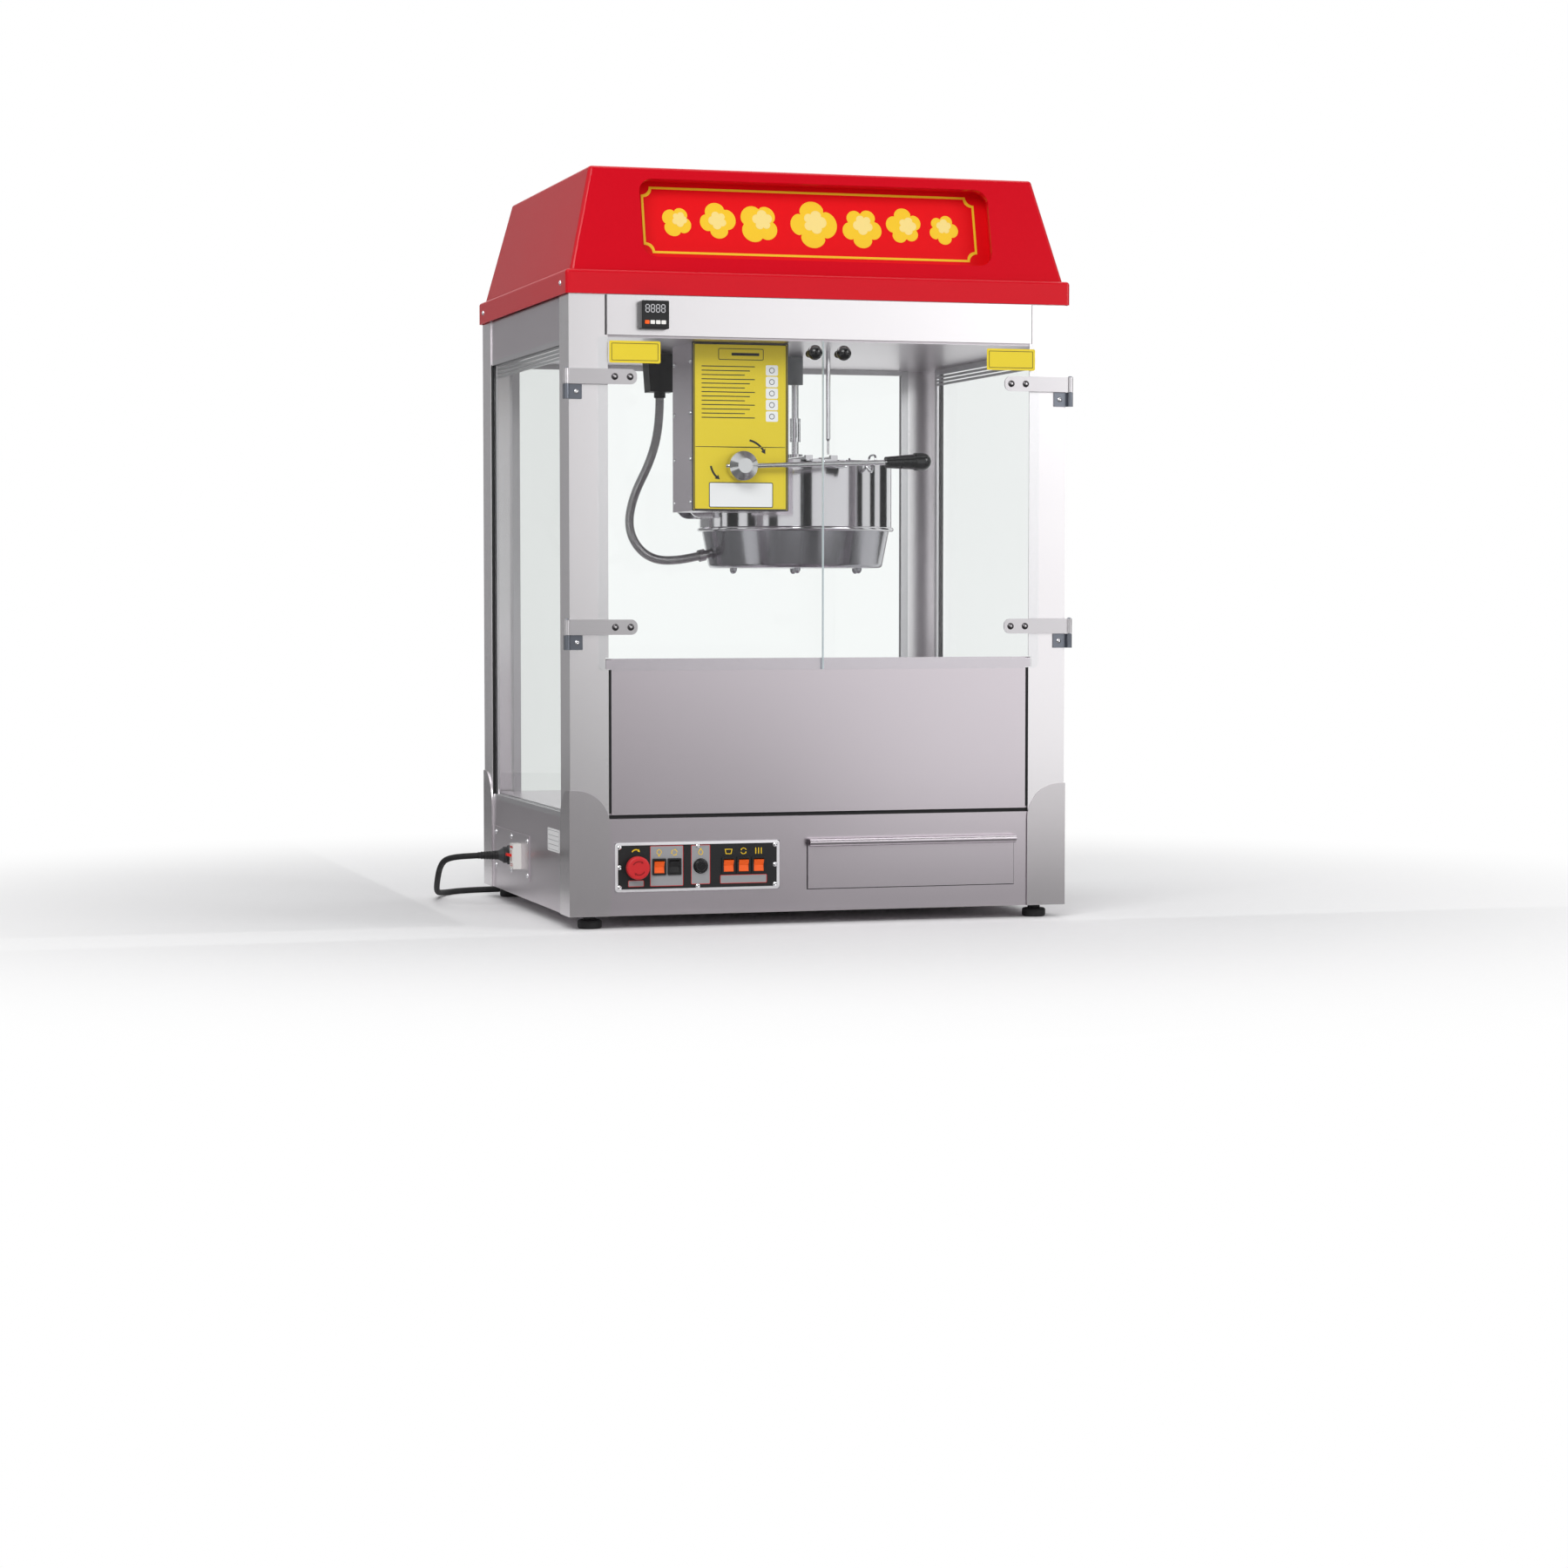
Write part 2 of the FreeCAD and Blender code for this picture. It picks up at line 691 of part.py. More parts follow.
def corner_boots():
    """Four angle covers round the feet of the posts, each leg with a round inner top corner."""
    top = FOOT_H + BOOT_H
    edge_x = HALF_W - BOOT_FRONT
    edge_y = -HALF_D + BOOT_SIDE
    front_leg = box(edge_x, HALF_W + SHEET, -HALF_D - SHEET, -HALF_D, FOOT_H, top)
    front_leg = rounded(front_leg, Y_AXIS, BOOT_CURVE, lambda p: p.x < HALF_W and p.z > top - SHEET)
    side_leg = box(HALF_W, HALF_W + SHEET, -HALF_D - SHEET, edge_y, FOOT_H, top)
    side_leg = rounded(side_leg, X_AXIS, BOOT_CURVE, lambda p: p.y > -HALF_D and p.z > top - SHEET)
    boot = fused(front_leg, side_leg)
    rear = mirrored_y(boot)
    return group([boot, mirrored_x(boot), rear, mirrored_x(rear)])


def feet():
    """Four round rubber pads, each on a stem under the base floor."""
    x = HALF_W - FOOT_INSET_X
    y = HALF_D - FOOT_INSET_Y
    solids = []
    for sx in (-1, 1):
        for sy in (-1, 1):
            pad = Part.makeCylinder(FOOT_R, FOOT_PAD_H, V(sx * x, sy * y, 0))
            rims = [e for e in pad.Edges if e.Closed and e.Curve.TypeId == "Part::GeomCircle"]
            stem = Part.makeCylinder(FOOT_STEM_R, FOOT_H, V(sx * x, sy * y, 0))
            solids.append(fused(pad.makeFillet(FOOT_ROUND, rims), stem))
    return group(solids)


# Glazing and bin


def pane_and_seal(half_span, face, inward):
    """A pane that stands across the Y axis at a face, and the rubber frame round it."""
    low = BASE_TOP
    high = CEILING_Z
    seal_y = sorted((face, face + inward * SEAL_T))
    pane_y = sorted((face + inward * SEAL_BED, face + inward * (SEAL_BED + PANE_T)))
    outer = half_span + PANE_COVER + SEAL_OVERLAP
    pane_edge = half_span + PANE_COVER
    pane = box(-pane_edge, pane_edge, *pane_y, low + SEAL_OVERLAP, high - SEAL_OVERLAP)
    inner = pane_edge - SEAL_FACE
    window = box(
        -inner, inner,
        seal_y[0] - SHEET, seal_y[1] + SHEET,
        low + SEAL_OVERLAP + SEAL_FACE / 2, high - SEAL_OVERLAP - SEAL_FACE / 2,
    )
    seal = box(-outer, outer, *seal_y, low, high).cut([window, pane]).Solids[0]
    return pane, seal


def side_panes():
    """Left and right panes with their seals, turned from the across-Y form."""
    pane, seal = pane_and_seal(HALF_D - POST_SIDE, -IN_X, 1)
    turned = []
    for shape in (pane, seal):
        left = shape.copy()
        left.rotate(V(0, 0, 0), Z_AXIS, -90)
        turned.append(left)
    return turned


def glass_panes():
    """Left, right and rear panes."""
    left = side_panes()[0]
    rear = pane_and_seal(HALF_W - POST_FRONT, IN_Y, -1)[0]
    return group([left, mirrored_x(left), rear])


def glass_seals():
    """Rubber frames of the three panes."""
    left = side_panes()[1]
    rear = pane_and_seal(HALF_W - POST_FRONT, IN_Y, -1)[1]
    return group([left, mirrored_x(left), rear])


def hopper_floor():
    """Sieve plate at the bottom of the bin, on legs of folded sheet that stand on the base flanges."""
    x = IN_X - SEAL_T - FLOOR_PLAY
    front = -IN_Y + 2 * SHEET
    rear = IN_Y - SEAL_T - FLOOR_PLAY
    block = box(-x, x, front, rear, BASE_TOP, FLOOR_TOP)
    inner = box(-x + SHEET, x - SHEET, front + SHEET, rear - SHEET, BASE_TOP - SHEET, FLOOR_TOP - SHEET)
    plate = hollow(block, inner)
    span_x = TRAY_X1 - TRAY_X0 - 2 * SIEVE_MARGIN
    span_y = TRAY_L - 2 * SIEVE_MARGIN
    columns = int(span_x // SIEVE_PITCH) + 1
    rows = int(span_y // SIEVE_PITCH) + 1
    first_x = (TRAY_X0 + TRAY_X1 - (columns - 1) * SIEVE_PITCH) / 2
    first_y = DRAWER_BACK + (TRAY_L - (rows - 1) * SIEVE_PITCH) / 2
    holes = []
    for column in range(columns):
        for row in range(rows):
            place = V(first_x + column * SIEVE_PITCH, first_y + row * SIEVE_PITCH, FLOOR_TOP - 2 * SHEET)
            holes.append(Part.makeCylinder(SIEVE_HOLE_R, 3 * SHEET, place))
    return plate.cut(holes).Solids[0]


def hopper_front_panel():
    """Lift-out front of the bin, hung by the ends of its hem in the post notches."""
    edge = POST_EDGE - BIN_PANEL_SIDE_GAP
    back = BIN_PANEL_Y + SHEET
    sheet = box(-edge, edge, BIN_PANEL_Y, back, BIN_PANEL_Z, BIN_PANEL_TOP)
    side_z = FLOOR_TOP + FLOOR_PLAY
    side = box(edge - SHEET, edge, BIN_PANEL_Y, BIN_PANEL_Y + BIN_PANEL_RETURN, side_z, BIN_PANEL_TOP)
    hem_edge = edge + BIN_HEM_REACH
    hem = box(
        -hem_edge, hem_edge, BIN_PANEL_Y, BIN_PANEL_Y + BIN_HEM_DEPTH,
        BIN_PANEL_TOP - BIN_HEM_H, BIN_PANEL_TOP,
    )
    hem = rounded(hem, X_AXIS, BIN_HEM_DEPTH / 3, lambda p: p.z > BIN_PANEL_TOP - SHEET)
    return fused(sheet, side, mirrored_x(side), hem)


# Ceiling, header and canopy


def frustum(x0, y0, z0, x1, y1, z1):
    """A four-sided block that narrows from one level to another."""
    wires = []
    for x, y, z in ((x0, y0, z0), (x1, y1, z1)):
        corners = [V(-x, -y, z), V(x, -y, z), V(x, y, z), V(-x, y, z)]
        wires.append(Part.makePolygon(corners + corners[:1]))
    return Part.makeLoft(wires, True, True)


def ceiling_pan():
    """Tray above the glazing that carries the drive box, the gearmotor and the oil pump."""
    top = CEILING_Z + CEILING_WALL_H
    block = box(-IN_X, IN_X, -IN_Y, IN_Y, CEILING_Z, top)
    inner = box(-IN_X + SHEET, IN_X - SHEET, -IN_Y + SHEET, IN_Y - SHEET, CEILING_TOP, top + SHEET)
    under = CEILING_Z - SHEET
    nose = Part.makeCylinder(NOSE_R + NOSE_PLAY, 4 * SHEET, V(KETTLE_X, KETTLE_Y, under))
    oil = Part.makeCylinder(OIL_TUBE_R + NOSE_PLAY, 4 * SHEET, V(OIL_TUBE_X, OIL_TUBE_Y, under))
    half = CONTROLLER_BODY / 2 + CONTROLLER_PLAY
    controller = box(
        CONTROLLER_X - half, CONTROLLER_X + half, -HALF_D, -IN_Y + 2 * SHEET,
        CONTROLLER_Z - half, CONTROLLER_Z + half,
    )
    skirt_holes = [screw_hole(p, out) for p, out in skirt_screw_places()]
    return hollow(block, inner).cut([nose, oil, controller] + skirt_holes).Solids[0]


def header_panel():
    """Shallow front cover above the doors, lapped onto the posts."""
    edge = POST_EDGE + HEADER_LAP
    block = box(-edge, edge, HEADER_Y, -HALF_D, HEADER_Z, HEADER_Z + HEADER_H)
    inner = box(
        -edge + SHEET, edge - SHEET, HEADER_Y + SHEET, -HALF_D + SHEET,
        HEADER_Z + SHEET, HEADER_Z + HEADER_H - SHEET,
    )
    half = CONTROLLER_BODY / 2 + CONTROLLER_PLAY
    hole = box(
        CONTROLLER_X - half, CONTROLLER_X + half, HEADER_Y - SHEET, HEADER_Y + 2 * SHEET,
        CONTROLLER_Z - half, CONTROLLER_Z + half,
    )
    return hollow(block, inner).cut(hole).Solids[0]


def on_slope(shape):
    """Places a piece drawn in the slope's own plane on the front slope of the roof."""
    up = V(0, ROOF_INSET, ROOF_H).normalize()
    out = X_AXIS.cross(up)
    turn = FreeCAD.Rotation(X_AXIS, up, out, "ZXY")
    placed = shape.copy()
    placed.Placement = FreeCAD.Placement(V(0, -ROOF_Y, SKIRT_TOP), turn)
    return placed


def sign_blank(margin, low, high):
    """Rounded sign outline, widened by a margin, between two depths along the slope's normal."""
    half = SIGN_W / 2 + margin
    plate = box(-half, half, SIGN_RISE - margin, SIGN_RISE + SIGN_H + margin, low, high)
    return on_slope(rounded(plate, Z_AXIS, SIGN_CORNER))


def softened(block, radius):
    """Rounds every edge of a block except those of its underside."""
    low = block.BoundBox.ZMin
    return block.makeFillet(radius, [e for e in block.Edges if e.CenterOfMass.z > low + radius])


def canopy_shell():
    """Moulded red canopy: skirt, ledge on the posts, four slopes, a flat roof and the window return."""
    skirt = softened(box(-SKIRT_X, SKIRT_X, -SKIRT_Y, SKIRT_Y, SKIRT_Z, SKIRT_TOP), SKIRT_ROUND)
    roof = frustum(ROOF_X, ROOF_Y, SKIRT_TOP, ROOF_X - ROOF_INSET, ROOF_Y - ROOF_INSET, ROOF_TOP)
    roof = softened(roof, ROOF_ROUND)
    lean = ROOF_INSET / ROOF_H
    wall = SHEET * math.hypot(1, lean)
    inner_x = SKIRT_X - SHEET
    inner_y = SKIRT_Y - SHEET
    skirt_room = box(-inner_x, inner_x, -inner_y, inner_y, SKIRT_Z - SHEET, LEDGE_Z)
    skirt_room = softened(skirt_room, SKIRT_ROUND - SHEET)
    low_in = lean * SHEET - wall
    high_in = lean * SHEET - ROOF_INSET - wall
    roof_room = frustum(
        ROOF_X + low_in, ROOF_Y + low_in, LEDGE_Z,
        ROOF_X + high_in, ROOF_Y + high_in, ROOF_TOP - SHEET,
    )
    roof_room = softened(roof_room, ROOF_ROUND - SHEET)
    window = sign_blank(0, -SIGN_SET_BACK, SIGN_RETURN)
    skirt_holes = [screw_hole(p, out) for p, out in skirt_screw_places()]
    shell = skirt.fuse(roof).removeSplitter().cut([skirt_room, roof_room])
    rim = sign_blank(SHEET, -SIGN_RETURN, -SHEET / 2)
    return fused(shell.Solids[0], rim).cut([window] + skirt_holes).Solids[0]


def sign_panel():
    """Sign tray behind the window of the front slope: a plate set back, and walls up to the slope."""
    tray = sign_blank(SIGN_LAP, -SIGN_SET_BACK - SIGN_T, -SHEET)
    return hollow(tray, sign_blank(SIGN_LAP - SIGN_T, -SIGN_SET_BACK, 0))


# Doors


def hinge_brackets():
    """Four post brackets, each with a riveted pin that the door strap turns on."""
    solids = []
    for z in hinge_heights():
        top = z - HINGE_PLAY
        low = top - BRACKET_H
        plate = box(HALF_W - BRACKET_REACH, PIN_X, -HALF_D - BRACKET_T, -HALF_D, low, top)
        web = box(PIN_X - KNUCKLE_R, PIN_X + KNUCKLE_R, PIN_Y, -HALF_D, low, top)
        barrel = Part.makeCylinder(KNUCKLE_R, BRACKET_H, V(PIN_X, PIN_Y, low))
        head = z + STRAP_H + HINGE_PLAY
        pin = Part.makeCylinder(PIN_R, head - low, V(PIN_X, PIN_Y, low))
        cap = dome(V(PIN_X, PIN_Y, head), Z_AXIS, PIN_HEAD_R, PIN_HEAD_H)
        bracket = fused(plate, web, barrel, pin, cap)
        solids.append(bracket)
    right_holes = [screw_hole(p, -Y_AXIS) for p in bracket_screw_places(1)]
    solids = [s.cut(right_holes).Solids[0] for s in solids]
    return group(solids + [mirrored_x(s) for s in solids])


def strap_screw_places():
    """Two screws in the free end of each right-hand strap."""
    end = PIN_X - STRAP_REACH + STRAP_SCREW_END
    xs = (end, end + STRAP_SCREW_PITCH)
    return [V(x, DOOR_FACE - STRAP_T, z + STRAP_H / 2) for x in xs for z in hinge_heights()]


def strap_shank(place, play):
    """The round space a strap screw takes through strap and sheet."""
    return rod(place - Y_AXIS, V(place.x, DOOR_BACK + NUT_H, place.z), SCREW_R + play)


def knob_place():
    """Where the knob's neck meets the face of the right-hand door."""
    return V(KNOB_IN, DOOR_FACE, DOOR_TOP - KNOB_DROP)


def knob_bolt(play):
    """The shank of the knob's screw, from behind the sheet into the neck."""
    place = knob_place()
    tip = place - Y_AXIS * (KNOB_SCREW_BITE + play)
    return rod(V(place.x, DOOR_BACK, place.z), tip, KNOB_SCREW_R + play)


def door_sheet():
    """Right-hand clear door with rounded outer corners."""
    outer = HALF_W - DOOR_OUTER
    sheet = box(DOOR_MEET, outer, DOOR_FACE, DOOR_BACK, DOOR_Z, DOOR_TOP)
    sheet = rounded(sheet, Y_AXIS, DOOR_CORNER, lambda p: p.x > outer - DOOR_CORNER)
    holes = [strap_shank(p, SCREW_PLAY) for p in strap_screw_places()]
    return sheet.cut(holes + [knob_bolt(SCREW_PLAY)]).Solids[0]


def door_straps():
    """Right-hand straps with their through screws and nuts, and the knob's screw."""
    solids = []
    holes = [strap_shank(p, SCREW_PLAY) for p in strap_screw_places()]
    for z in hinge_heights():
        end = PIN_X - STRAP_REACH
        plate = box(end, PIN_X, DOOR_FACE - STRAP_T, DOOR_FACE, z, z + STRAP_H)
        plate = rounded(plate, Y_AXIS, STRAP_CORNER, lambda p: p.x < end + STRAP_T)
        barrel = Part.makeCylinder(KNUCKLE_R, STRAP_H, V(PIN_X, PIN_Y, z))
        bore = Part.makeCylinder(PIN_R + PIN_PLAY, STRAP_H + 2 * STRAP_T, V(PIN_X, PIN_Y, z - STRAP_T))
        solids.append(fused(plate, barrel).cut([bore] + holes).Solids[0])
    for place in strap_screw_places():
        head = dome(place, -Y_AXIS, STRAP_SCREW_HEAD_R, STRAP_SCREW_HEAD_H)
        back = V(place.x, DOOR_BACK, place.z)
        nut = dome(back, Y_AXIS, NUT_R, NUT_H)
        solids.append(fused(head, rod(place, back, SCREW_R), nut))
    place = knob_place()
    head = dome(V(place.x, DOOR_BACK, place.z), Y_AXIS, NUT_R, NUT_H)
    solids.append(fused(head, knob_bolt(0)))
    return group(solids)


def door_knob():
    """Right-hand ball knob on its neck."""
    place = knob_place()
    centre = place - Y_AXIS * KNOB_STAND
    ball = Part.makeSphere(KNOB_R, centre)
    neck = rod(place, centre, KNOB_NECK_R)
    flare = taper(place, place - Y_AXIS * KNOB_NECK_R, KNOB_NECK_R + SHEET, KNOB_NECK_R)
    return fused(ball, neck, flare).cut(knob_bolt(SCREW_PLAY)).Solids[0]


# Controls


def rocker_housing(x):
    """Outer body of one rocker switch behind its frame."""
    half_w = ROCKER_W / 2 - ROCKER_HOUSING_EDGE
    half_h = ROCKER_H / 2 - ROCKER_HOUSING_EDGE
    return box(
        x - half_w, x + half_w, PLATE_FACE, PLATE_FACE + ROCKER_HOUSING_L,
        BUTTON_Z - half_h, BUTTON_Z + half_h,
    )


def grown(shape_box, play):
    """The block round a shape, widened by a play on every side."""
    b = shape_box.BoundBox
    return box(b.XMin - play, b.XMax + play, b.YMin - play, b.YMax + play, b.ZMin - play, b.ZMax + play)


def control_plate():
    """Control plate with its cut-outs."""
    plate = box(PLATE_X, PLATE_X + PLATE_W, PLATE_FACE, FRONT_FACE, PLATE_Z, PLATE_Z + PLATE_H)
    cuts = [grown(rocker_housing(x), SCREW_PLAY) for x in rocker_places()]
    for x, radius in ((STOP_X, STOP_STEM_R), (OIL_X, OIL_R)):
        front = V(x, PLATE_FACE - SHEET, BUTTON_Z)
        back = V(x, FRONT_FACE + SHEET, BUTTON_Z)
        cuts.append(rod(front, back, radius + BUTTON_PLAY))
    cuts += [screw_hole(p, -Y_AXIS) for p in plate_screw_places()]
    return plate.cut(cuts).Solids[0]


def rocker_frames():
    """Frames of the five rocker switches, each with its hollow housing."""
    solids = []
    for x in rocker_places():
        frame = box(
            x - ROCKER_W / 2, x + ROCKER_W / 2, PLATE_FACE - ROCKER_FRAME_T, PLATE_FACE,
            BUTTON_Z - ROCKER_H / 2, BUTTON_Z + ROCKER_H / 2,
        )
        frame = rounded(frame, Y_AXIS, ROCKER_RIM / 2)
        half_w = ROCKER_W / 2 - ROCKER_RIM
        half_h = ROCKER_H / 2 - ROCKER_RIM
        cavity = box(
            x - half_w, x + half_w, PLATE_FACE - 2 * ROCKER_FRAME_T, PLATE_FACE + ROCKER_CAVITY_L,
            BUTTON_Z - half_h, BUTTON_Z + half_h,
        )
        solids.append(fused(frame, rocker_housing(x)).cut(cavity).Solids[0])
    return group(solids)


def rocker(x):
    """One rocker: a shallow V in front of a round back, tilted to its off side."""
    half_w = ROCKER_W / 2 - ROCKER_RIM - ROCKER_PLAY
    half_h = ROCKER_H / 2 - ROCKER_RIM - ROCKER_END_PLAY
    pivot_y = PLATE_FACE + ROCKER_PIVOT_IN
    swell = -ROCKER_SWELL
    outline = [(swell, half_h), (-ROCKER_DIP, 0), (swell, -half_h), (0, -half_h), (0, half_h)]
    key = prism([(pivot_y + a, BUTTON_Z + b) for a, b in outline], "x", x - half_w, x + half_w)
    hub = rod(V(x - half_w, pivot_y, BUTTON_Z), V(x + half_w, pivot_y, BUTTON_Z), ROCKER_BACK_R)
    front = box(
        x - half_w, x + half_w, pivot_y - 2 * ROCKER_BACK_R, pivot_y - ROCKER_DIP / 2,
        BUTTON_Z - half_h, BUTTON_Z + half_h,
    )
    body = fused(key, hub.cut(front))
    body.rotate(V(x, pivot_y, BUTTON_Z), X_AXIS, ROCKER_REST)
    return body


def stop_button():
    """Mushroom head of the emergency stop on its stem."""
    back = PLATE_FACE - STOP_STAND
    face = back - STOP_HEAD_H
    head = rod(V(STOP_X, back, BUTTON_Z), V(STOP_X, face, BUTTON_Z), STOP_R)
    rim = [e for e in head.Edges if e.Closed and e.CenterOfMass.y < face + STOP_ROUND / 2]
    head = head.makeFillet(STOP_ROUND, rim[:1])
    stem = rod(V(STOP_X, back, BUTTON_Z), V(STOP_X, back + STOP_STEM_L, BUTTON_Z), STOP_STEM_R)
    return fused(head, stem)


def oil_button():
    """Round push button of the oil pump."""
    face = PLATE_FACE - OIL_PROUD
    button = rod(V(OIL_X, face + OIL_L, BUTTON_Z), V(OIL_X, face, BUTTON_Z), OIL_R)
    rim = [e for e in button.Edges if e.Closed and e.CenterOfMass.y < face + OIL_ROUND / 2]
    return button.makeFillet(OIL_ROUND, rim[:1])


def controller_body():
    """Square temperature controller: a bezel on the header with its case behind."""
    half = CONTROLLER / 2
    face = HEADER_Y - CONTROLLER_PROUD
    bezel = box(
        CONTROLLER_X - half, CONTROLLER_X + half, face, HEADER_Y,
        CONTROLLER_Z - half, CONTROLLER_Z + half,
    )
    bezel = rounded(bezel, Y_AXIS, CONTROLLER_ROUND)
    inner = CONTROLLER_BODY / 2
    case = box(
        CONTROLLER_X - inner, CONTROLLER_X + inner, HEADER_Y, HEADER_Y + CONTROLLER_BODY_L,
        CONTROLLER_Z - inner, CONTROLLER_Z + inner,
    )
    return fused(bezel, case)


def crumb_drawer():
    """Sheet drawer: open tray, face plate, and the welded lip and rolled edge that serve as its handle."""
    face = DRAWER_BACK - DRAWER_FRONT_T
    top = DRAWER_Z + DRAWER_H
    x1 = DRAWER_X + DRAWER_W
    tray = hollow(
        box(TRAY_X0, TRAY_X1, DRAWER_BACK, DRAWER_BACK + TRAY_L, TRAY_Z, TRAY_Z + TRAY_H),
        box(
            TRAY_X0 + TRAY_T, TRAY_X1 - TRAY_T, DRAWER_BACK + TRAY_T, DRAWER_BACK + TRAY_L - TRAY_T,
            TRAY_Z + TRAY_T, TRAY_Z + 2 * TRAY_H,
        ),
    )
    plate = box(DRAWER_X, x1, face, DRAWER_BACK, DRAWER_Z, top)
    roll_y = face - DRAWER_LIP + DRAWER_LIP_R
    lip = box(DRAWER_X, x1, roll_y, face, top - SHEET, top)
    roll_z = top - DRAWER_LIP_R
    roll = rod(V(DRAWER_X, roll_y, roll_z), V(x1, roll_y, roll_z), DRAWER_LIP_R)
    core = rod(V(DRAWER_X, roll_y, roll_z), V(x1, roll_y, roll_z), DRAWER_LIP_R - SHEET)
    back = box(DRAWER_X, x1, roll_y, roll_y + DRAWER_LIP_R, roll_z - DRAWER_LIP_R, top)
    curl = roll.cut([core, back]).Solids[0]
    return group([tray, plate, lip, curl])


# Mains inlet and power cord


def inlet_plate():
    """Cover plate on the left side of the base that carries the breaker and the cord gland."""
    return box(
        INLET_FACE, -IN_X, INLET_Y, INLET_Y + INLET_L, INLET_Z, INLET_Z + INLET_H
    ).cut([screw_hole(p, -X_AXIS) for p in inlet_screw_places()]).Solids[0]


def breaker_body():
    """White circuit breaker block with a slot for its toggle."""
    face = INLET_FACE - BREAKER_P
    block = box(
        face, INLET_FACE, BREAKER_Y, BREAKER_Y + BREAKER_D,
        INLET_MID - BREAKER_H / 2, INLET_MID + BREAKER_H / 2,
    )
    middle = BREAKER_Y + BREAKER_D / 2
    slot = box(
        face - BREAKER_SLOT_L, face + BREAKER_SLOT_L,
        middle - BREAKER_SLOT_D / 2, middle + BREAKER_SLOT_D / 2,
        INLET_MID - BREAKER_SLOT_H / 2, INLET_MID + BREAKER_SLOT_H / 2,
    )
    return block.cut(slot).Solids[0]


def breaker_toggle():
    """Red toggle of the breaker, tilted up."""
    pivot_x = INLET_FACE - BREAKER_P + BREAKER_SLOT_L / 2
    middle = BREAKER_Y + BREAKER_D / 2
    y0 = middle - BREAKER_SLOT_D / 2 + TOGGLE_PLAY
    y1 = middle + BREAKER_SLOT_D / 2 - TOGGLE_PLAY
    hub = rod(V(pivot_x, y0, INLET_MID), V(pivot_x, y1, INLET_MID), TOGGLE_R)
    arm = box(pivot_x - TOGGLE_L, pivot_x, y0, y1, INLET_MID - TOGGLE_T / 2, INLET_MID + TOGGLE_T / 2)
    toggle = fused(hub, arm)
    toggle.rotate(V(pivot_x, middle, INLET_MID), Y_AXIS, TOGGLE_TILT)
    return toggle


def cord_connector():
    """Black gland that the power cord comes out of."""
    start = V(INLET_FACE, GLAND_Y, INLET_MID)
    collar = start - X_AXIS * GLAND_FLANGE_T
    shoulder = start - X_AXIS * (GLAND_L - GLAND_TAPER_L)
    end = start - X_AXIS * GLAND_L
    return fused(
        rod(start, collar, GLAND_FLANGE_R),
        rod(collar, shoulder, GLAND_R),
        taper(shoulder, end, GLAND_R, GLAND_END_R),
    )


def arc_between(start, tangent, end):
    """A round edge that leaves a point along a tangent and reaches another point."""
    chord = end - start
    across = chord - tangent * chord.dot(tangent)
    if across.Length < 1e-6:
        return Part.LineSegment(start, end).toShape()
    side = V(across).normalize()
    radius = chord.dot(chord) / (2 * chord.dot(side))
    centre = start + side * radius
    out = (start + end) * 0.5 - centre
    return Part.Arc(start, centre + out.normalize() * radius, end).toShape()


def route(points, label):
    """Straight runs joined by tangent arcs, each as large as its two runs allow. Prints the radii."""
    edges = []
    radii = []
    here = points[0]
    for before, corner, after in zip(points, points[1:], points[2:]):
        back = (before - corner).normalize()
        ahead = (after - corner).normalize()
        turn = math.pi - back.getAngle(ahead)
        reach = 0.45 * min((before - corner).Length, (after - corner).Length)
        radii.append(reach / math.tan(turn / 2))
        entry = corner + back * reach
        leave = corner + ahead * reach
        edges.append(Part.LineSegment(here, entry).toShape())
        edges.append(arc_between(entry, -back, leave))
        here = leave
    edges.append(Part.LineSegment(here, points[-1]).toShape())
    wire = Part.Wire(edges)
    print(label, "length %.0f, radii" % wire.Length, " ".join("%.0f" % r for r in radii))
    return wire


def tube(wire, radius):
    """A round tube, filled, along a wire that starts straight."""
    first = wire.OrderedEdges[0]
    start = first.valueAt(first.FirstParameter)
    ahead = first.tangentAt(first.FirstParameter)
    ring = Part.Wire(Part.makeCircle(radius, start, ahead))
    sweep = Part.BRepOffsetAPI.MakePipeShell(wire)
    sweep.add(ring)
    sweep.build()
    sweep.makeSolid()
    solid = sweep.shape().Solids[0]
    ideal = math.pi * radius ** 2 * wire.Length
    print("   volume %.0f of %.0f expected" % (solid.Volume, ideal))
    return solid


def power_cord_lead():
    """Free stretch of the cord, from the gland down to the floor and round the rear corner."""
    start = V(INLET_FACE - GLAND_L, GLAND_Y, INLET_MID)
    floor = CORD_R + SCREW_PLAY
    points = [
        start,
        start - X_AXIS * 51,
        V(-571, 120, 92),
        V(-574, 172, 74),
        V(-568, 234, 41),
        V(-556, 306, 13),
        V(-530, 378, floor),
        V(-484, 420, floor),
        V(-412, 432, floor),
        V(COIL_X - 2 * CORD_R - 72, COIL_START_Y, COIL_Z),
        V(COIL_X - 2 * CORD_R, COIL_START_Y, COIL_Z),
    ]
    return tube(route(points, "cord lead"), CORD_R)


def coil_place(turns):
    """A point of the coil after so many turns: in on the floor layer, half a turn up, and out on top."""
    inward = min(turns, COIL_TURNS - turns)
    radius = COIL_START_R - COIL_STEP * inward
    climb_start = (COIL_TURNS - COIL_CLIMB_TURNS) / 2
    share = min(max((turns - climb_start) / COIL_CLIMB_TURNS, 0), 1)
    height = COIL_Z + COIL_STEP * (1 - math.cos(math.pi * share)) / 2
    angle = 2 * math.pi * turns - math.pi / 2
    return V(COIL_X + radius * math.cos(angle), COIL_Y + radius * math.sin(angle), height)


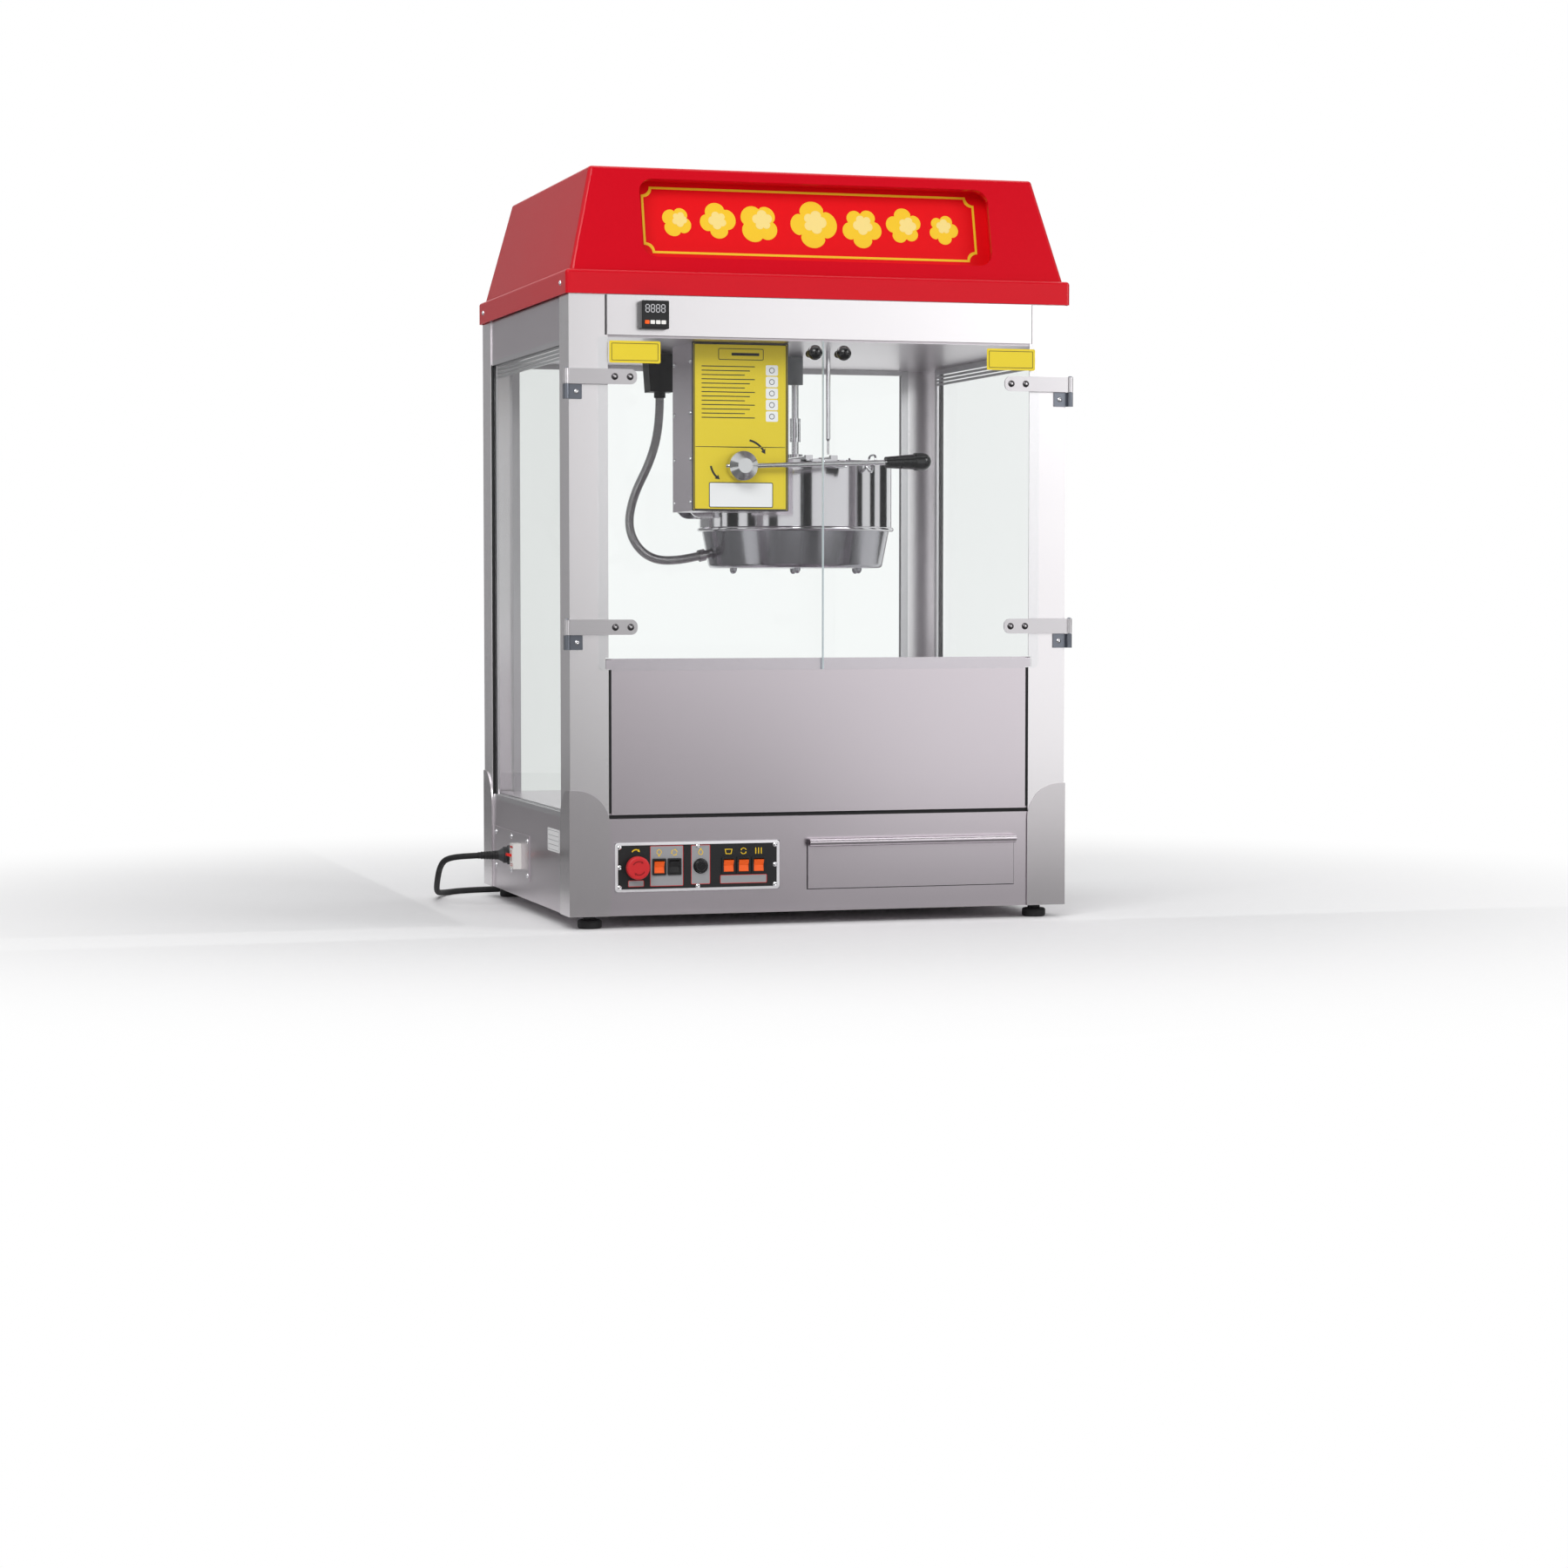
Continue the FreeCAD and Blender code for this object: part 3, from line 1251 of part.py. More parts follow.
def biarc(start, start_run, end, end_run):
    """Two tangent arcs from one point and direction to another."""
    chord = end - start
    runs = start_run + end_run
    along = chord.dot(runs)
    bend = 2 * (1 - start_run.dot(end_run))
    reach = (-along + math.sqrt(along ** 2 + bend * chord.dot(chord))) / bend
    joint = (start + end + (start_run - end_run) * reach) * 0.5
    first = arc_between(start, start_run, joint)
    second = arc_between(end, -end_run, joint)
    return [first, second]


def coil_wire():
    """The coil's line as biarcs of a quarter turn between straight ends of one cord diameter."""
    steps = int(round(COIL_TURNS * 4))
    places = [coil_place(i / 4) for i in range(steps + 1)]
    nudge = 1e-4
    marks = [i / 4 for i in range(steps + 1)]
    runs = [(coil_place(t + nudge) - coil_place(t - nudge)).normalize() for t in marks]
    runs[0] = X_AXIS
    runs[-1] = -X_AXIS
    edges = [Part.LineSegment(places[0] - X_AXIS * 2 * CORD_R, places[0]).toShape()]
    for i in range(steps):
        edges += biarc(places[i], runs[i], places[i + 1], runs[i + 1])
    edges.append(Part.LineSegment(places[-1], places[-1] - X_AXIS * COIL_TAIL).toShape())
    return Part.Wire(Part.sortEdges(edges)[0])


def least_self_gap(wire, radius):
    """Least clear distance between stretches of a tube that aren't neighbours along it."""
    step = radius
    points = wire.discretize(Distance=step)
    apart = int(6 * radius / step)
    least = min(
        (points[i] - points[j]).Length
        for i in range(len(points))
        for j in range(i + apart, len(points))
    )
    return least - 2 * radius


def power_cord_coil():
    """Put-away length of the cord in two layers of loops."""
    wire = coil_wire()
    gap = least_self_gap(wire, CORD_R)
    print("cord coil length %.0f, least gap to itself %.2f" % (wire.Length, gap))
    return tube(wire, CORD_R)


def cord_tie():
    """Band round the four strands of the coil where the layers lie over each other."""
    strands = [coil_place(turns).x for turns in (0.75, 1.75)]
    x0 = min(strands) - CORD_R - TIE_SIDE_PLAY
    x1 = max(strands) + CORD_R + TIE_SIDE_PLAY
    z0 = COIL_Z - CORD_R - TIE_PLAY
    z1 = COIL_TOP_Z + CORD_R + TIE_PLAY
    y0 = COIL_Y - TIE_W / 2
    y1 = COIL_Y + TIE_W / 2
    outer = rounded(box(x0 - TIE_T, x1 + TIE_T, y0, y1, z0 - TIE_T, z1 + TIE_T), Y_AXIS, TIE_ROUND)
    inner = rounded(box(x0, x1, y0 - TIE_T, y1 + TIE_T, z0, z1), Y_AXIS, TIE_ROUND - TIE_T)
    return outer.cut(inner).Solids[0]


def mains_plug():
    """Moulded plug with two pins and an earth pin, lying on the floor beside the coil."""
    start = coil_place(COIL_TURNS) - X_AXIS * COIL_TAIL
    shoulder = start - X_AXIS * PLUG_TAPER_L
    face = shoulder - X_AXIS * PLUG_L
    pins = []
    for y, z in ((-PLUG_PIN_PITCH / 2, 0), (PLUG_PIN_PITCH / 2, 0), (0, PLUG_EARTH_OFFSET)):
        base = face + V(0, y, z)
        pins.append(rod(base, base - X_AXIS * PLUG_PIN_L, PLUG_PIN_R))
    return fused(taper(start, shoulder, PLUG_NECK_R, PLUG_R), rod(shoulder, face, PLUG_R), *pins)


# Drive box, tilt shaft and lever


def bush_hole(seat):
    """The hole of a bush through the sheet at a seat."""
    reach = Y_AXIS * (2 * SHEET)
    middle = V(TILT_X, seat, TILT_Z)
    return rod(middle - reach, middle + reach, BUSH_R + BUSH_PLAY)


def drive_box():
    """Sheet box under the ceiling, open at the front, whose rear wall carries a bush."""
    block = box(BOX_X, BOX_X + BOX_W, BOX_Y, BOX_REAR, BOX_Z, CEILING_Z)
    room = box(
        BOX_X + SHEET, BOX_X + BOX_W - SHEET, BOX_Y - SHEET, BOX_REAR - SHEET,
        BOX_Z + SHEET, CEILING_Z - SHEET,
    )
    return hollow(block, room).cut(bush_hole(BOX_REAR)).Solids[0]


def drive_box_cover():
    """Yellow front cover of the drive box with the front bush's hole."""
    edge = BOX_COVER_EDGE
    cover = box(BOX_X + edge, BOX_X + BOX_W - edge, COVER_FACE, BOX_Y, BOX_Z + edge, CEILING_Z - edge)
    return cover.cut(bush_hole(COVER_FACE)).Solids[0]


def shaft_bushes():
    """Flanged bushes of the tilt shaft in the cover and the rear wall."""
    solids = []
    for seat, out in ((COVER_FACE, -1), (BOX_REAR, 1)):
        face = V(TILT_X, seat, TILT_Z)
        flange_end = face + Y_AXIS * (out * BUSH_FLANGE_T)
        inner_end = face - Y_AXIS * (out * BUSH_BITE)
        body = fused(rod(face, flange_end, BUSH_FLANGE_R), rod(face, inner_end, BUSH_R))
        bore = rod(flange_end + Y_AXIS * out, inner_end - Y_AXIS * out, SHAFT_R + PIN_PLAY)
        solids.append(body.cut(bore).Solids[0])
    return group(solids)


def lug_ys():
    """Middles of the two kettle lugs along the shaft."""
    return (KETTLE_Y - LUG_SPREAD, KETTLE_Y + LUG_SPREAD)


def shaft_ends():
    """Front and rear ends of the tilt shaft's centre line."""
    front = V(TILT_X, BOSS_BACK - BOSS_DEPTH, TILT_Z)
    rear = V(TILT_X, KETTLE_Y + SHAFT_BEHIND, TILT_Z)
    return front, rear


def tilt_shaft():
    """Shaft from the lever boss through the drive box to the kettle's lugs."""
    return rod(*shaft_ends(), SHAFT_R)


def lever_line():
    """Direction of the lever rod, a little above level."""
    angle = math.radians(LEVER_RISE_DEG)
    return V(math.cos(angle), 0, math.sin(angle))


def tilt_lever():
    """Turned boss with a coned nose and a set screw on the shaft's end, and the lever rod in its side."""
    shoulder = V(TILT_X, BOSS_BACK - BOSS_L + BOSS_NOSE_L, TILT_Z)
    back = V(TILT_X, BOSS_BACK, TILT_Z)
    nose = V(TILT_X, BOSS_BACK - BOSS_L, TILT_Z)
    boss = fused(rod(back, shoulder, BOSS_R), taper(shoulder, nose, BOSS_R, BOSS_NOSE_R))
    run = lever_line()
    start = V(TILT_X, LEVER_Y, TILT_Z) + run * (BOSS_R - LEVER_BITE)
    end = V(TILT_X, LEVER_Y, TILT_Z) + run * (LEVER_L + GRIP_SOCKET)
    front, rear = shaft_ends()
    socket = rod(front - Y_AXIS * PIN_PLAY, rear, SHAFT_R + PIN_PLAY)
    side = V(TILT_X - BOSS_R, LEVER_Y, TILT_Z)
    set_screw = rod(side + X_AXIS * SET_SCREW_PROUD, side - X_AXIS * SET_SCREW_PROUD, SET_SCREW_R)
    return fused(boss, rod(start, end, LEVER_R), set_screw).cut(socket).Solids[0]


def lever_grip():
    """Black hand grip on the end of the lever: a tapered neck and a round-ended bulb."""
    run = lever_line()
    start = V(TILT_X, LEVER_Y, TILT_Z) + run * LEVER_L
    neck = start + run * GRIP_NECK_L
    ball = start + run * (GRIP_L - GRIP_END_R)
    grip = fused(
        taper(start, neck, GRIP_R, GRIP_NECK_R),
        rod(neck, ball, GRIP_END_R),
        Part.makeSphere(GRIP_END_R, ball),
    )
    hole = rod(start - run, start + run * (GRIP_SOCKET + PIN_PLAY), LEVER_R + PIN_PLAY)
    return grip.cut(hole).Solids[0]


# Kettle


def kettle_lug(y):
    """Plate with a hub that hangs the kettle on the tilt shaft."""
    hub = rod(V(TILT_X, y - LUG_T / 2, TILT_Z), V(TILT_X, y + LUG_T / 2, TILT_Z), LUG_HUB_R)
    plate = box(
        TILT_X - LUG_HUB_R, KETTLE_X - KETTLE_R / 2, y - LUG_T / 2, y + LUG_T / 2,
        TILT_Z - LUG_DROP, TILT_Z + LUG_TOP,
    )
    low_left = TILT_Z - LUG_DROP + SHEET
    plate = rounded(plate, Y_AXIS, LUG_ROUND, lambda p: p.x < TILT_X and p.z < low_left)
    bore = rod(V(TILT_X, y - LUG_T, TILT_Z), V(TILT_X, y + LUG_T, TILT_Z), SHAFT_R + PIN_PLAY)
    drum_foot = V(KETTLE_X, KETTLE_Y, KETTLE_FLOOR_Z - KETTLE_H / 2)
    drum = Part.makeCylinder(KETTLE_R - LUG_BITE, 2 * KETTLE_H, drum_foot)
    return fused(hub, plate).cut([bore, drum]).Solids[0]


def kettle_pot():
    """Spun pot with a bead at its foot, a lip at its rim and two lugs welded to its side."""
    r = KETTLE_R
    inner = r - KETTLE_WALL
    floor = KETTLE_FLOOR_Z
    bead_top = floor + 2 * BEAD_R
    rim = KETTLE_RIM_Z
    floor_top = floor + KETTLE_FLOOR_T
    heel = KETTLE_HEEL
    slack = heel * (1 - math.sqrt(0.5))
    profile = [
        line((0, floor), (r, floor)),
        bow((r, floor), (r + BEAD_R, floor + BEAD_R), (r, bead_top)),
        line((r, bead_top), (r, rim - RIM_H)),
        line((r, rim - RIM_H), (r + RIM_LIP, rim - RIM_H)),
        line((r + RIM_LIP, rim - RIM_H), (r + RIM_LIP, rim)),
        line((r + RIM_LIP, rim), (inner, rim)),
        line((inner, rim), (inner, floor_top + heel)),
        bow((inner, floor_top + heel), (inner - slack, floor_top + slack), (inner - heel, floor_top)),
        line((inner - heel, floor_top), (0, floor_top)),
        line((0, floor_top), (0, floor)),
    ]
    pot = lathe(profile, KETTLE_X, KETTLE_Y)
    return fused(pot, *[kettle_lug(y) for y in lug_ys()])


def pan_outline(inset):
    """Turned edges of the heater pan's outer or inner face, from its axis to its rim."""
    top = KETTLE_FLOOR_Z
    low = PAN_Z + inset
    lean = math.atan2(PAN_TOP_R - PAN_LOW_R, PAN_H)
    wall = inset / math.cos(lean)
    slope = math.tan(lean)
    bend = PAN_ROUND - inset
    foot_r = PAN_LOW_R - wall + slope * inset
    on_wall = (foot_r + slope * bend, low + bend)
    on_floor = (foot_r - bend, low)
    middle = (foot_r - bend * (1 - math.sqrt(0.5)) + slope * bend / 2, low + bend * (1 - math.sqrt(0.5)))
    return on_floor, middle, on_wall, (PAN_TOP_R - wall, top)


def kettle_base():
    """Tapered heater pan under the pot, with acorn nuts below."""
    floor_out, mid_out, wall_out, top_out = pan_outline(0)
    floor_in, mid_in, wall_in, top_in = pan_outline(SHEET)
    profile = [
        line((0, PAN_Z), floor_out),
        bow(floor_out, mid_out, wall_out),
        line(wall_out, top_out),
        line(top_out, top_in),
        line(top_in, wall_in),
        bow(wall_in, mid_in, floor_in),
        line(floor_in, (0, PAN_Z + SHEET)),
        line((0, PAN_Z + SHEET), (0, PAN_Z)),
    ]
    pan = lathe(profile, KETTLE_X, KETTLE_Y)
    nuts = []
    for i in range(NUT_COUNT):
        angle = 2 * math.pi * (i + 0.25) / NUT_COUNT
        seat = V(KETTLE_X + NUT_RING_R * math.cos(angle), KETTLE_Y + NUT_RING_R * math.sin(angle), PAN_Z)
        low = seat - Z_AXIS * ACORN_H
        nuts.append(rod(seat + Z_AXIS * (SHEET / 2), low, ACORN_R))
        nuts.append(dome(low, -Z_AXIS, ACORN_R * 0.85, ACORN_H))
    return fused(pan, *nuts)


def heating_element():
    """Ring heater clamped under the pot's floor."""
    top = KETTLE_FLOOR_Z
    ring = Part.makeCylinder(ELEMENT_OUT_R, ELEMENT_T, V(KETTLE_X, KETTLE_Y, top - ELEMENT_T))
    hole = Part.makeCylinder(ELEMENT_IN_R, 2 * ELEMENT_T, V(KETTLE_X, KETTLE_Y, top - 1.5 * ELEMENT_T))
    return ring.cut(hole).Solids[0]


def ear_span():
    """Near and far faces of the front ears along Y, measured from the kettle's axis."""
    far = math.sqrt((KETTLE_R - KETTLE_WALL) ** 2 - (HINGE_OFFSET + EAR_T / 2) ** 2) - EAR_INSET
    return far - EAR_L, far


def lid_rod(axis_x, reach, radius):
    """A round bar on a lid's hinge line, as far to the front as to the back of the kettle's axis."""
    front = V(axis_x, KETTLE_Y - reach, LID_HINGE_Z)
    back = V(axis_x, KETTLE_Y + reach, LID_HINGE_Z)
    return rod(front, back, radius)


def kettle_crossbar():
    """Bar across the rim with the stirrer's bearing hub and the ears of the lid hinges."""
    top = KETTLE_RIM_Z + BAR_T
    reach = KETTLE_R + RIM_LIP
    bar = box(
        KETTLE_X - BAR_HALF, KETTLE_X + BAR_HALF, KETTLE_Y - reach, KETTLE_Y + reach, KETTLE_RIM_Z, top
    ).common(Part.makeCylinder(reach, 2 * BAR_T, V(KETTLE_X, KETTLE_Y, KETTLE_RIM_Z - BAR_T / 2)))
    hub = Part.makeCylinder(BAR_HUB_R, BAR_HUB_H, V(KETTLE_X, KETTLE_Y, KETTLE_RIM_Z))
    near, far = ear_span()
    ears = []
    bore_foot = V(KETTLE_X, KETTLE_Y, KETTLE_RIM_Z - BAR_HUB_H)
    bores = [Part.makeCylinder(STIR_R + STIR_PLAY, 4 * BAR_HUB_H, bore_foot)]
    for side in (-1, 1):
        axis_x = KETTLE_X + side * HINGE_OFFSET
        xs = sorted((KETTLE_X + side * (BAR_HALF - BAR_T), axis_x + side * EAR_T / 2))
        for end in (-1, 1):
            ys = sorted((KETTLE_Y + end * near, KETTLE_Y + end * far))
            ears.append(box(*xs, *ys, KETTLE_RIM_Z, LID_HINGE_Z + EAR_T / 2))
        bores.append(lid_rod(axis_x, reach, LID_ROD_R + PIN_PLAY))
    return fused(bar.Solids[0], hub, *ears).cut(bores).Solids[0]


def lid(side):
    """Half lid that rests on the rim and turns on a rod beside the crossbar, left (-1) or right (1)."""
    low = KETTLE_RIM_Z + LID_PLAY
    axis_x = KETTLE_X + side * HINGE_OFFSET
    near, far = ear_span()
    disc = Part.makeCylinder(KETTLE_R + LID_EDGE, LID_T, V(KETTLE_X, KETTLE_Y, low))
    clear_x = sorted((axis_x + side * (EAR_T / 2 + LID_EDGE), axis_x + side * 2 * KETTLE_R))
    wide = 2 * KETTLE_R
    plate = disc.common(box(*clear_x, KETTLE_Y - wide, KETTLE_Y + wide, low - LID_T, low + 2 * LID_T))
    web_x = sorted((axis_x, axis_x + side * (EAR_T / 2 + LID_EDGE + LID_WEB)))
    inner = near - LID_EDGE
    web = box(*web_x, KETTLE_Y - inner, KETTLE_Y + inner, low, low + LID_T)
    barrel = lid_rod(axis_x, inner, LID_BARREL_R)
    pin = lid_rod(axis_x, far, LID_ROD_R)
    neck_x = sorted((axis_x, axis_x + side * LID_BARREL_R))
    neck = box(*neck_x, KETTLE_Y - inner, KETTLE_Y + inner, low, LID_HINGE_Z)
    return fused(plate.Solids[0], web, barrel, pin, neck)


# Stirrer, drive, oil and conduit


def coupling_half(side):
    """Half of the lapped coupling on the left (-1) or right (1) of the stirrer's axis."""
    round_bar = Part.makeCylinder(COUPLING_R, COUPLING_H, V(KETTLE_X, KETTLE_Y, COUPLING_Z))
    xs = sorted((KETTLE_X + side * COUPLING_GAP, KETTLE_X + side * 2 * COUPLING_R))
    return round_bar.common(
        box(
            *xs, KETTLE_Y - 2 * COUPLING_R, KETTLE_Y + 2 * COUPLING_R,
            COUPLING_Z, COUPLING_Z + COUPLING_H,
        )
    ).Solids[0]


def stirrer():
    """Stirrer shaft with two blades near the pot's floor and the lower half of the coupling."""
    floor = KETTLE_FLOOR_Z + KETTLE_FLOOR_T + STIR_FLOOR_GAP
    neck = COUPLING_Z - COUPLING_NECK - COUPLING_GAP
    shaft = rod(V(KETTLE_X, KETTLE_Y, floor), V(KETTLE_X, KETTLE_Y, neck), STIR_R)
    collar = Part.makeCylinder(COUPLING_R, COUPLING_NECK, V(KETTLE_X, KETTLE_Y, neck))
    half = coupling_half(1)
    half.translate(-Z_AXIS * COUPLING_GAP)
    blade_z = floor + BLADE_LIFT
    blades = []
    for side in (-1, 1):
        section = [(side * -BLADE_W / 2, 0), (side * BLADE_W / 2, 0), (side * BLADE_W / 2, BLADE_T)]
        ends = sorted((KETTLE_X, KETTLE_X + side * BLADE_L))
        blades.append(prism([(KETTLE_Y + a, blade_z + b) for a, b in section], "x", *ends))
    return fused(shaft, collar, half, *blades)


def drive_shaft():
    """Shaft down from the gearmotor with the upper half of the coupling."""
    collar_z = COUPLING_Z + COUPLING_H
    collar = Part.makeCylinder(COUPLING_R, COUPLING_NECK, V(KETTLE_X, KETTLE_Y, collar_z))
    top = CEILING_TOP + SHAFT_SOCKET
    shaft = rod(V(KETTLE_X, KETTLE_Y, collar_z), V(KETTLE_X, KETTLE_Y, top), STIR_R)
    return fused(coupling_half(-1), collar, shaft)


def gearmotor():
    """Gearmotor on the ceiling tray, its bearing nose hanging through the ceiling."""
    gearbox = box(
        KETTLE_X - GEARBOX_W / 2, KETTLE_X + GEARBOX_W / 2,
        KETTLE_Y - GEARBOX_D / 2, KETTLE_Y + GEARBOX_D / 2,
        CEILING_TOP, CEILING_TOP + GEARBOX_H,
    )
    gearbox = rounded(gearbox, Z_AXIS, MOTOR_R / 4)
    motor = Part.makeCylinder(MOTOR_R, MOTOR_H, V(KETTLE_X, KETTLE_Y, CEILING_TOP + GEARBOX_H))
    nose = Part.makeCylinder(NOSE_R, NOSE_L + SHEET, V(KETTLE_X, KETTLE_Y, CEILING_Z - NOSE_L))
    bore_z = CEILING_Z - NOSE_L - SHEET
    bore_top = CEILING_TOP + SHAFT_SOCKET + COUPLING_GAP
    bore = Part.makeCylinder(STIR_R + STIR_PLAY, bore_top - bore_z, V(KETTLE_X, KETTLE_Y, bore_z))
    return fused(gearbox, motor, nose).cut(bore).Solids[0]


def oil_pump():
    """Oil pump on the ceiling tray above the feed tube."""
    half = PUMP_W / 2
    block = box(
        OIL_TUBE_X - half, OIL_TUBE_X + half, OIL_TUBE_Y - half, OIL_TUBE_Y + half,
        CEILING_TOP, CEILING_TOP + PUMP_H,
    )
    head = Part.makeCylinder(PUMP_HEAD_R, PUMP_HEAD_H, V(OIL_TUBE_X, OIL_TUBE_Y, CEILING_TOP + PUMP_H))
    socket = Part.makeCylinder(
        OIL_TUBE_R + PIN_PLAY, PUMP_SOCKET + SHEET, V(OIL_TUBE_X, OIL_TUBE_Y, CEILING_TOP - SHEET)
    )
    return fused(block, head).cut(socket).Solids[0]


def oil_tube():
    """Oil feed tube down to a thin tip above the crossbar."""
    tip = KETTLE_RIM_Z + BAR_T + OIL_TIP_GAP
    shoulder = tip + OIL_TIP_L
    low = V(OIL_TUBE_X, OIL_TUBE_Y, tip)
    neck = V(OIL_TUBE_X, OIL_TUBE_Y, shoulder)
    full = V(OIL_TUBE_X, OIL_TUBE_Y, shoulder + OIL_TAPER_L)
    top = V(OIL_TUBE_X, OIL_TUBE_Y, CEILING_TOP + PUMP_SOCKET)
    shoulder_cone = taper(neck, full, OIL_TIP_R, OIL_TUBE_R)
    solid = fused(rod(low, neck, OIL_TIP_R), shoulder_cone, rod(full, top, OIL_TUBE_R))
    return solid.cut(rod(low - Z_AXIS, top + Z_AXIS, OIL_TIP_R / 2)).Solids[0]


def conduit_connector():
    """Black socket under the ceiling with the gland of the conduit."""
    half = CONNECTOR_W / 2
    top = CEILING_Z
    low = CEILING_Z - CONNECTOR_H
    outline = [
        (CONDUIT_TOP_X - half, top), (CONDUIT_TOP_X + half, top),
        (CONDUIT_TOP_X + half - CONNECTOR_TAPER, low), (CONDUIT_TOP_X - half + CONNECTOR_TAPER, low),
    ]
    body = prism(outline, "y", KETTLE_Y - CONNECTOR_D / 2, KETTLE_Y + CONNECTOR_D / 2)
    gland = rod(
        V(CONDUIT_TOP_X, KETTLE_Y, low), V(CONDUIT_TOP_X, KETTLE_Y, CONDUIT_TOP_Z), CONNECTOR_GLAND_R
    )
    return fused(body, gland)


def conduit_points():
    """Corners of the conduit's route, in the kettle's middle plane."""
    drop = CONDUIT_TOP_Z - ELBOW_Z
    corners = [
        (CONDUIT_TOP_X, CONDUIT_TOP_Z),
        (CONDUIT_TOP_X, ELBOW_Z + 0.84 * drop),
        (CONDUIT_TOP_X - 0.26 * CONDUIT_SWEEP, ELBOW_Z + 0.61 * drop),
        (CONDUIT_TOP_X - 0.85 * CONDUIT_SWEEP, ELBOW_Z + 0.37 * drop),
        (CONDUIT_TOP_X - CONDUIT_SWEEP, ELBOW_Z + 0.16 * drop),
        (ELBOW_X - 2 * CONDUIT_RUN, ELBOW_Z),
        (ELBOW_X - CONDUIT_RUN, ELBOW_Z - CONDUIT_SAG),
        (ELBOW_X, ELBOW_Z),
    ]
    return [V(x, KETTLE_Y, z) for x, z in corners]


def circle_on(place, ahead, radius):
    """A circle square to a direction, whose seam always faces the back of the cabinet."""
    turn = FreeCAD.Rotation(Y_AXIS, ahead.cross(Y_AXIS), ahead, "ZXY")
    ring = Part.Wire(Part.makeCircle(radius))
    ring.Placement = FreeCAD.Placement(place, turn)
    return ring


def wire_frames(wire, distances):
    """Points and directions at distances along a wire."""
    frames = []
    start = 0.0
    edges = list(wire.OrderedEdges)
    for distance in distances:
        while distance > start + edges[0].Length + 1e-7 and len(edges) > 1:
            start += edges.pop(0).Length
        edge = edges[0]
        parameter = edge.getParameterByLength(min(distance - start, edge.Length))
        place = edge.valueAt(parameter)
        ahead = edge.tangentAt(parameter)
        if edge.Orientation == "Reversed":
            parameter = edge.getParameterByLength(max(edge.Length - distance + start, 0))
            place = edge.valueAt(parameter)
            ahead = -edge.tangentAt(parameter)
        frames.append((place, ahead))
    return frames


def kettle_conduit():
    """Ribbed flexible conduit with its bore, from the socket to the elbow on the kettle."""
    wire = route(conduit_points(), "conduit")
    ribs = int(wire.Length / CONDUIT_PITCH)
    pitch = wire.Length / ribs
    stations = []
    radii = []
    for i in range(ribs):
        stations += [(i + share) * pitch for share in (0, 0.3, 0.6, 0.9)]
        radii += [CONDUIT_VALLEY_R, CONDUIT_PEAK_R, CONDUIT_PEAK_R, CONDUIT_VALLEY_R]
    stations.append(wire.Length)
    radii.append(CONDUIT_VALLEY_R)
    frames = wire_frames(wire, stations)
    outer = Part.makeLoft([circle_on(p, a, r) for (p, a), r in zip(frames, radii)], True, True)
    solid = outer.cut(tube(wire, CONDUIT_BORE_R)).Solids[0]
    print("   ribs %d, volume %.0f" % (ribs, solid.Volume))
    return solid


def conduit_elbow():
    """Fitting on the heater pan that the conduit ends in."""
    points = conduit_points()
    run = (points[-1] - points[-2]).normalize()
    start = points[-1]
    collar_end = start + run * ELBOW_L
    neck_end = start + run * (ELBOW_L + ELBOW_NECK_L)
    pan = Part.makeCone(PAN_LOW_R, PAN_TOP_R, PAN_H, V(KETTLE_X, KETTLE_Y, PAN_Z))
    collar = rod(start, collar_end, ELBOW_R)
    neck = rod(collar_end, neck_end, ELBOW_NECK_R)
    return fused(collar, neck).cut(pan).Solids[0]


